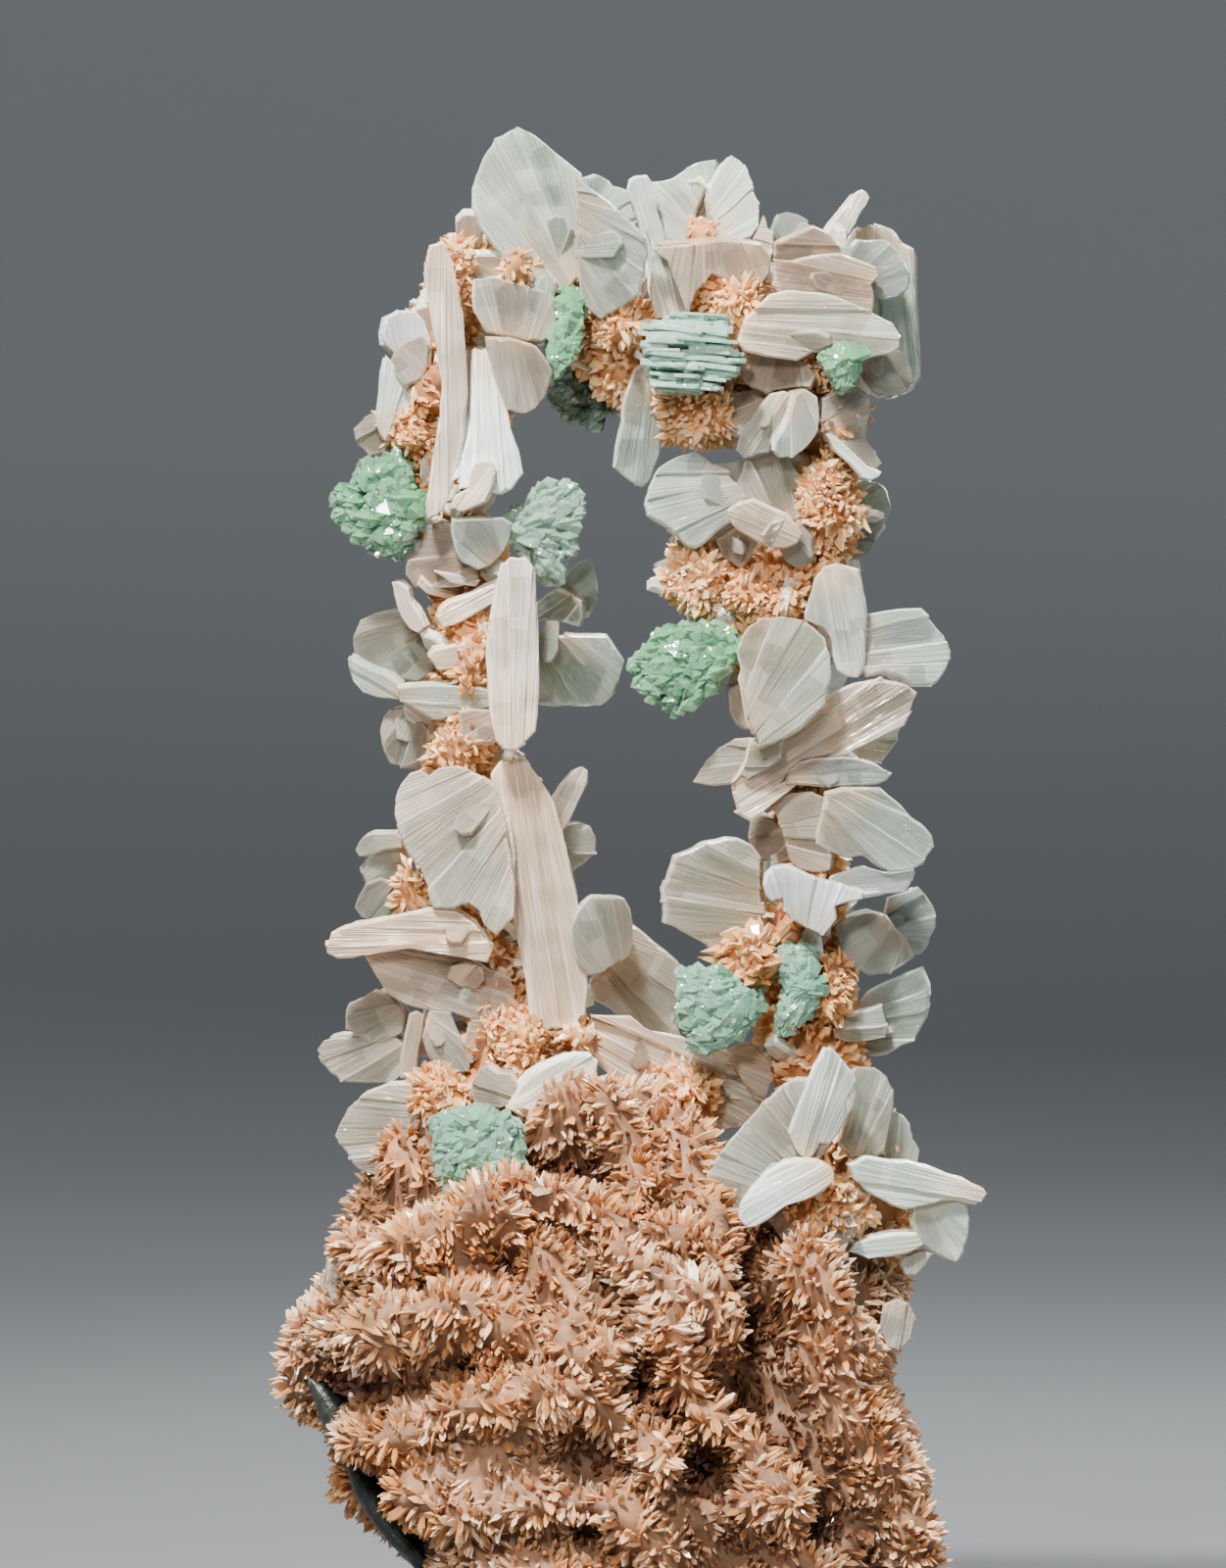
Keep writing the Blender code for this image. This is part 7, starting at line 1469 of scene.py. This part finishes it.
# ---- build: stilbite ---------------------------------------------------------
# tint (0 cool white, 0.35 greenish white, 0.6 cream, 0.8 peach, 1 orange) and
# milkiness (0 clear, 1 chalky) of the crystals of each piece, in table order
LOOK = {
    "stilbite_top_left_fan": [(0.22, 0.32), (0.30, 0.34), (0.25, 0.42), (0.1, 0.8)],
    "stilbite_edge_blade": [(0.62, 0.60)],
    # painted highlight: the first crystal's near-chalky white is partly its own milkiness, partly the bright reflection
    # of its broad face
    "stilbite_pearly_blade": [(0.05, 0.92), (0.5, 0.6)],
    "stilbite_left_tablets": [(0.5, 0.38), (0.5, 0.36), (0.3, 0.3)],
    "stilbite_left_shoulder": [(0.08, 0.85), (0.5, 0.4), (0.1, 0.8), (0.5, 0.3)],
    "stilbite_crest": [(0.12, 0.55), (0.25, 0.5), (0.35, 0.72), (0.7, 0.42), (0.6, 0.4)],
    "stilbite_crest_right": [(0.15, 0.25), (0.7, 0.35), (0.45, 0.6)],
    "stilbite_clear_plate": [(0.15, 0.08)],
    "stilbite_right_shoulder": [(0.2, 0.2), (0.62, 0.35), (0.45, 0.34), (0.72, 0.45), (0.4, 0.3)],
    "stilbite_hanging_finger": [(0.5, 0.35), (0.35, 0.65), (0.72, 0.55)],
    "stilbite_hanging_clear": [(0.2, 0.10)],
    "stilbite_right_arm": [(0.4, 0.25), (0.15, 0.8)],
    "stilbite_right_arm_clear": [(0.2, 0.1)],
    "stilbite_window_fan": [(0.12, 0.42), (0.68, 0.45), (0.4, 0.28), (0.45, 0.25), (0.6, 0.3), (0.3, 0.3)],
    "stilbite_wing": [(0.2, 0.26), (0.15, 0.26)],
    "stilbite_tablet_sheaf": [(0.4, 0.26), (0.5, 0.3), (0.5, 0.5), (0.6, 0.35), (0.5, 0.4), (0.4, 0.2)],
    "stilbite_white_polygon": [(0.1, 0.2), (0.3, 0.32), (0.6, 0.35), (0.6, 0.45)],
    "stilbite_dusky_fan": [(0.45, 0.26)],
    # painted highlight: the near-chalky white of these crystals is partly their own milkiness, partly the bright glint
    # of their striated faces
    "stilbite_striated_sheaf": [(0.05, 0.95), (0.05, 0.7)],
    "stilbite_low_clear": [(0.15, 0.2), (0.4, 0.35), (0.2, 0.3), (0.3, 0.35)],
    "stilbite_left_block": [(0.3, 0.42), (0.6, 0.32), (0.5, 0.5), (0.62, 0.45)],
    "stilbite_clear_bar": [(0.25, 0.1), (0.3, 0.18), (0.22, 0.12)],
    "stilbite_left_stack": [(0.35, 0.16), (0.25, 0.2), (0.3, 0.25), (0.6, 0.65), (0.6, 0.7), (0.45, 0.3), (0.5, 0.6), (0.4, 0.3)],
    "stilbite_big_sheaf": [(0.45, 0.46), (0.72, 0.5), (0.7, 0.5), (0.5, 0.42), (0.4, 0.25)],
    "stilbite_left_small": [(0.4, 0.25), (0.45, 0.28), (0.4, 0.25)],
    "stilbite_pink_blade": [(0.72, 0.5)],
    "stilbite_low_left_fan": [(0.62, 0.4), (0.5, 0.3), (0.45, 0.3), (0.5, 0.4), (0.6, 0.4), (0.7, 0.5), (0.8, 0.5)],
    "stilbite_rear_plates": [(0.4, 0.2), (0.5, 0.26), (0.62, 0.4), (0.85, 0.5)],
    "stilbite_foot_pair": [(0.5, 0.5), (0.42, 0.68)],
    "stilbite_foot_left_fan": [(0.45, 0.3), (0.35, 0.2)],
    "stilbite_foot_right_sheaf": [(0.42, 0.4), (0.2, 0.6), (0.15, 0.8), (0.6, 0.4)],
    "stilbite_foot_right_spray": [(0.36, 0.2), (0.3, 0.4), (0.15, 0.8), (0.2, 0.75), (0.2, 0.6), (0.3, 0.15), (0.5, 0.3)],
}
rows = {}
for row in STILBITE + THIN:
    rows.setdefault(row[0], []).append(row)
for row in SPRAY:
    rows.setdefault(row[0], [])
for piece in sorted(rows):
    pile = Pile()
    prng = np.random.default_rng(sum(ord(c) for c in piece))
    for at, (_, depth, thick, su, sv, outline) in enumerate(rows[piece]):
        looks = LOOK.get(piece, [])
        hue, milk = looks[at] if at < len(looks) else (0.45, 0.35)
        st = {"hue": hue, "milk": milk}
        crystal_plate(pile, prng, piece, depth, thick, su, sv, outline, st)
    for _, root, tip, w0, w1, th, roll in [q for q in SPRAY if q[0] == piece]:
        a, b = place(*root), place(*tip)
        axis = unit(b - a)
        sd = unit(np.cross(axis, [0.11, 0.23, 1.0]))
        up = np.cross(axis, sd)
        cr, sr = math.cos(math.radians(roll)), math.sin(math.radians(roll))
        sd, up = sd * cr + up * sr, up * cr - sd * sr
        L = np.linalg.norm(b - a) / MM
        poly = np.array([(-w0 * 0.8, 0), (w0 * 0.8, 0), (w1, 0.55 * L), (w1 * 0.96, 0.8 * L), (w1 * 0.5, 0.97 * L), (0, L), (-w1 * 0.5, 0.96 * L), (-w1 * 0.98, 0.78 * L), (-w1, 0.5 * L)])
        for k, off in enumerate((-0.32, 0.02, 0.34)):
            turn = (k - 1) * 0.09
            q = poly * np.array([1.0, 1.0 - 0.06 * abs(k - 1)])
            q = np.column_stack([q[:, 0] * math.cos(turn) - q[:, 1] * math.sin(turn), q[:, 0] * math.sin(turn) + q[:, 1] * math.cos(turn)])
            blade(pile, prng, q, a + up * off * th * MM, sd, axis, np.cross(sd, axis), th * 0.34, np.array([0.0, -L * 0.8]), 0.3, float(prng.uniform(0.25, 0.6)), float(prng.uniform(0.3, 0.6)))
    pile.make(piece + "_crystals", MILKY if piece.startswith("stilbite_back") else STILB, sharp=32, slot="stilbite", replaces=(piece,))

# Lesser tablets that crowd the stems behind and between the large crystals.
SHAPES = [row[5] for row in STILBITE + THIN]


def crowd(name, paths, count, seed):
    prng = np.random.default_rng(seed)
    pile = Pile()
    made = 0
    for _ in range(count * 12):
        if made >= count:
            break
        path = paths[int(prng.integers(len(paths)))] if prng.random() < 0.35 else paths[0]
        i = int(prng.integers(len(path) - 1))
        t = prng.random()
        u, v, y, r = [path[i][q] * (1 - t) + path[i + 1][q] * t for q in range(4)]
        back = prng.random() < 0.62
        theta = prng.uniform(0, 2 * math.pi)
        phi = prng.uniform(0.1, 1.35) if back else -prng.uniform(0.0, 0.75)
        d = np.array([math.cos(theta) * math.cos(phi), math.sin(phi), math.sin(theta) * math.cos(phi)])
        L = (prng.uniform(5.0, 10.0) if back else prng.uniform(4.0, 6.5)) + r * 0.8
        c = place(u, v, y)
        ok = True
        for f, need in ((0.7, True), (0.92, True), (1.0, True)):
            q = units((c + d * L * f * MM)[None])[0]
            hit = any(point_inside(q, o) for o in SHAPES) or near_path(q[None], [(a[0], a[1]) for a in path])[0] * 0.11 < r + 0.6
            if not hit:
                ok = False
                break
        if not ok or (c + d * L * MM)[2] < 0.04:
            continue
        side = unit(np.cross(d, prng.normal(size=3)))
        nz = np.cross(side, d)
        w = L * prng.uniform(0.16, 0.27)
        b, e = prng.uniform(0.2, 0.6), prng.uniform(0.66, 0.85)
        q = np.array([(-w * 0.55, 0.0), (w * 0.55, 0.0), (w, e * L), (w * 0.55, L * 0.97), (-w * b, L), (-w * 0.95, L * (e - 0.03))])
        blade(pile, prng, q, c, side, d, nz, prng.uniform(0.6, 1.3), np.array([0.0, -L * 0.9]), 0.18, float(np.clip(prng.normal(0.46, 0.16), 0, 1)), float(prng.uniform(0.25, 0.75)), 1, 0.05, 0.0, 1.15)
        made += 1
    pile.make(name, MILKY, sharp=32, slot="stilbite")


crowd("crowd_left", (LEFT_PILLAR,), 155, 501)
crowd("crowd_right", (RIGHT_PILLAR, WINDOW_STUB), 165, 502)
crowd("crowd_arch", (BRIDGE, BRIDGE_TOP), 100, 503)

# ---- build: fluorapophyllite ----------------------------------------------------
MINT = apophyllite_material("fluorapophyllite_mint", (0.52, 0.92, 0.68), (0.26, 0.72, 0.46), (0.40, 0.92, 0.62), 60.0, 0.66, 0.08)
GREEN = apophyllite_material("fluorapophyllite_green", (0.34, 0.80, 0.42), (0.13, 0.52, 0.22), (0.30, 0.85, 0.46), 80.0, 0.66, 0.10)
# painted shade: a darker copy of the green for the piece that sits behind the others, in shadow
SHADED_GREEN = apophyllite_material("fluorapophyllite_shaded", (0.20, 0.38, 0.26), (0.07, 0.18, 0.11), (0.25, 0.62, 0.40), 120.0, 0.60, 0.14)
PALE = apophyllite_material("fluorapophyllite_pale", (0.74, 0.97, 0.82), (0.46, 0.85, 0.60), (0.55, 0.95, 0.70), 35.0, 0.72, 0.08)
PEARL = apophyllite_material("fluorapophyllite_pearly", (0.78, 0.98, 0.88), (0.40, 0.80, 0.60), (0.55, 0.94, 0.74), 40.0, 0.55, 0.22)
KIND = {
    "apophyllite_upper_left": (GREEN, dict(rays=90, scales=330)),
    "apophyllite_pearly": (PEARL, dict(stack=True, scales=0, rays=0)),
    "apophyllite_window": (GREEN, dict(rays=90, scales=320)),
    "apophyllite_low_middle": (MINT, dict(rays=90, scales=300)),
    "apophyllite_foot": (MINT, dict(rays=90, scales=330)),
    "apophyllite_shaded": (SHADED_GREEN, dict(rays=90, scales=300)),
    "apophyllite_shoulder": (GREEN, dict(rays=60, scales=160)),
    "apophyllite_slim": (GREEN, dict(rays=60, scales=160)),
    "apophyllite_pale_fans": (PALE, dict(rays=90, scales=240)),
    "apophyllite_sparkling": (MINT, dict(rays=90, scales=300)),
}
for piece, outline, root, depth, thick, count in APOPHYLLITE:
    mat, style = KIND[piece]
    pile = Pile()
    prng = np.random.default_rng(sum(ord(c) for c in piece))
    if style.get("stack"):
        lamellae(pile, prng, outline, depth, thick, style)
    else:
        apophyllite(pile, prng, outline, root, depth, thick, style)
    pile.make(piece + "_crystals", mat, slot="fluorapophyllite", replaces=(piece,))


# ---- stage -------------------------------------------------------------------
def stage():
    """A pale round floor that rises to a wall far behind, seen from any side."""
    prof = [(0.0, 0.0), (0.25, 0.0), (0.5, 0.0)]
    for k in range(1, 25):
        a = math.pi / 2 * k / 24
        prof.append((0.5 + 2.1 * math.sin(a), 2.1 * (1 - math.cos(a))))
    prof.append((2.6, 3.2))
    n = 96
    verts, faces = [(0, 0, 0)], []
    for r, z in prof[1:]:
        for i in range(n):
            a = 2 * math.pi * i / n
            verts.append((r * math.cos(a), r * math.sin(a), z))
    for i in range(n):
        faces.append((0, 1 + i, 1 + (i + 1) % n))
    for j in range(len(prof) - 2):
        for i in range(n):
            k = (i + 1) % n
            faces.append((1 + j * n + i, 1 + (j + 1) * n + i, 1 + (j + 1) * n + k, 1 + j * n + k))
    mesh = bpy.data.meshes.new("studio_floor")
    mesh.from_pydata(verts, [], faces)
    mesh.polygons.foreach_set("use_smooth", np.ones(len(mesh.polygons), bool))
    obj = bpy.data.objects.new("studio_floor", mesh)
    obj.location = (0, 0, -0.0002)
    bpy.context.scene.collection.objects.link(obj)
    mat, tree, bsdf, out = new_material("studio_floor")
    co = object_coords(tree)
    sep = tree.nodes.new("ShaderNodeSeparateXYZ")
    tree.links.new(co, sep.inputs[0])
    rise = math_node(tree, "ADD", math_node(tree, "MULTIPLY", sep.outputs["Z"], 2.2), math_node(tree, "MULTIPLY", noise_node(tree, co, 2.0, 2.0), 0.06))
    col = ramp(tree, rise, [(0.0, (0.095, 0.102, 0.107)), (0.14, (0.145, 0.155, 0.163)), (0.45, (0.32, 0.340, 0.356)), (1.0, (0.44, 0.467, 0.489))])
    tree.links.new(col, bsdf.inputs["Base Color"])
    bsdf.inputs["Roughness"].default_value = 0.85
    mesh.materials.append(mat)


stage()


def area_light(name, at, target, size, power, colour):
    data = bpy.data.lights.new(name, "AREA")
    data.shape = "DISK"
    data.size = size
    data.energy = power
    data.color = colour
    obj = bpy.data.objects.new(name, data)
    obj.location = at
    obj.rotation_euler = (Vector(target) - Vector(at)).to_track_quat("-Z", "Y").to_euler()
    bpy.context.scene.collection.objects.link(obj)


mid = (0.0, 0.0, 0.09)
area_light("key", (-0.15, -0.33, 0.60), (0.0, 0.0, 0.12), 0.07, 14.5, (1.0, 0.985, 0.955))
area_light("front", (-0.13, -0.56, 0.36), (0.0, 0.0, 0.13), 0.09, 3.0, (1.0, 0.99, 0.97))
area_light("fill", (0.95, -0.70, 0.45), mid, 0.7, 1.6, (0.97, 0.98, 1.0))
area_light("rim", (0.14, 0.40, 0.52), (0.0, 0.0, 0.12), 0.22, 7.5, (1.0, 1.0, 1.0))

world = bpy.data.worlds.new("studio")
bpy.context.scene.world = world
world.use_nodes = True
bg = world.node_tree.nodes["Background"]
bg.inputs["Color"].default_value = (0.90, 0.95, 1.0, 1.0)
bg.inputs["Strength"].default_value = 0.24

cam = bpy.data.cameras.new("camera")
cam.lens = 184.1
cam.sensor_width = 36.0
cam.sensor_fit = "AUTO"
cam.clip_start, cam.clip_end = 0.01, 50.0
camera = bpy.data.objects.new("camera", cam)
camera.location = (X_MID, -VIEW, Z_MID)
camera.rotation_euler = (math.pi / 2, 0.0, 0.0)
bpy.context.scene.collection.objects.link(camera)
bpy.context.scene.camera = camera
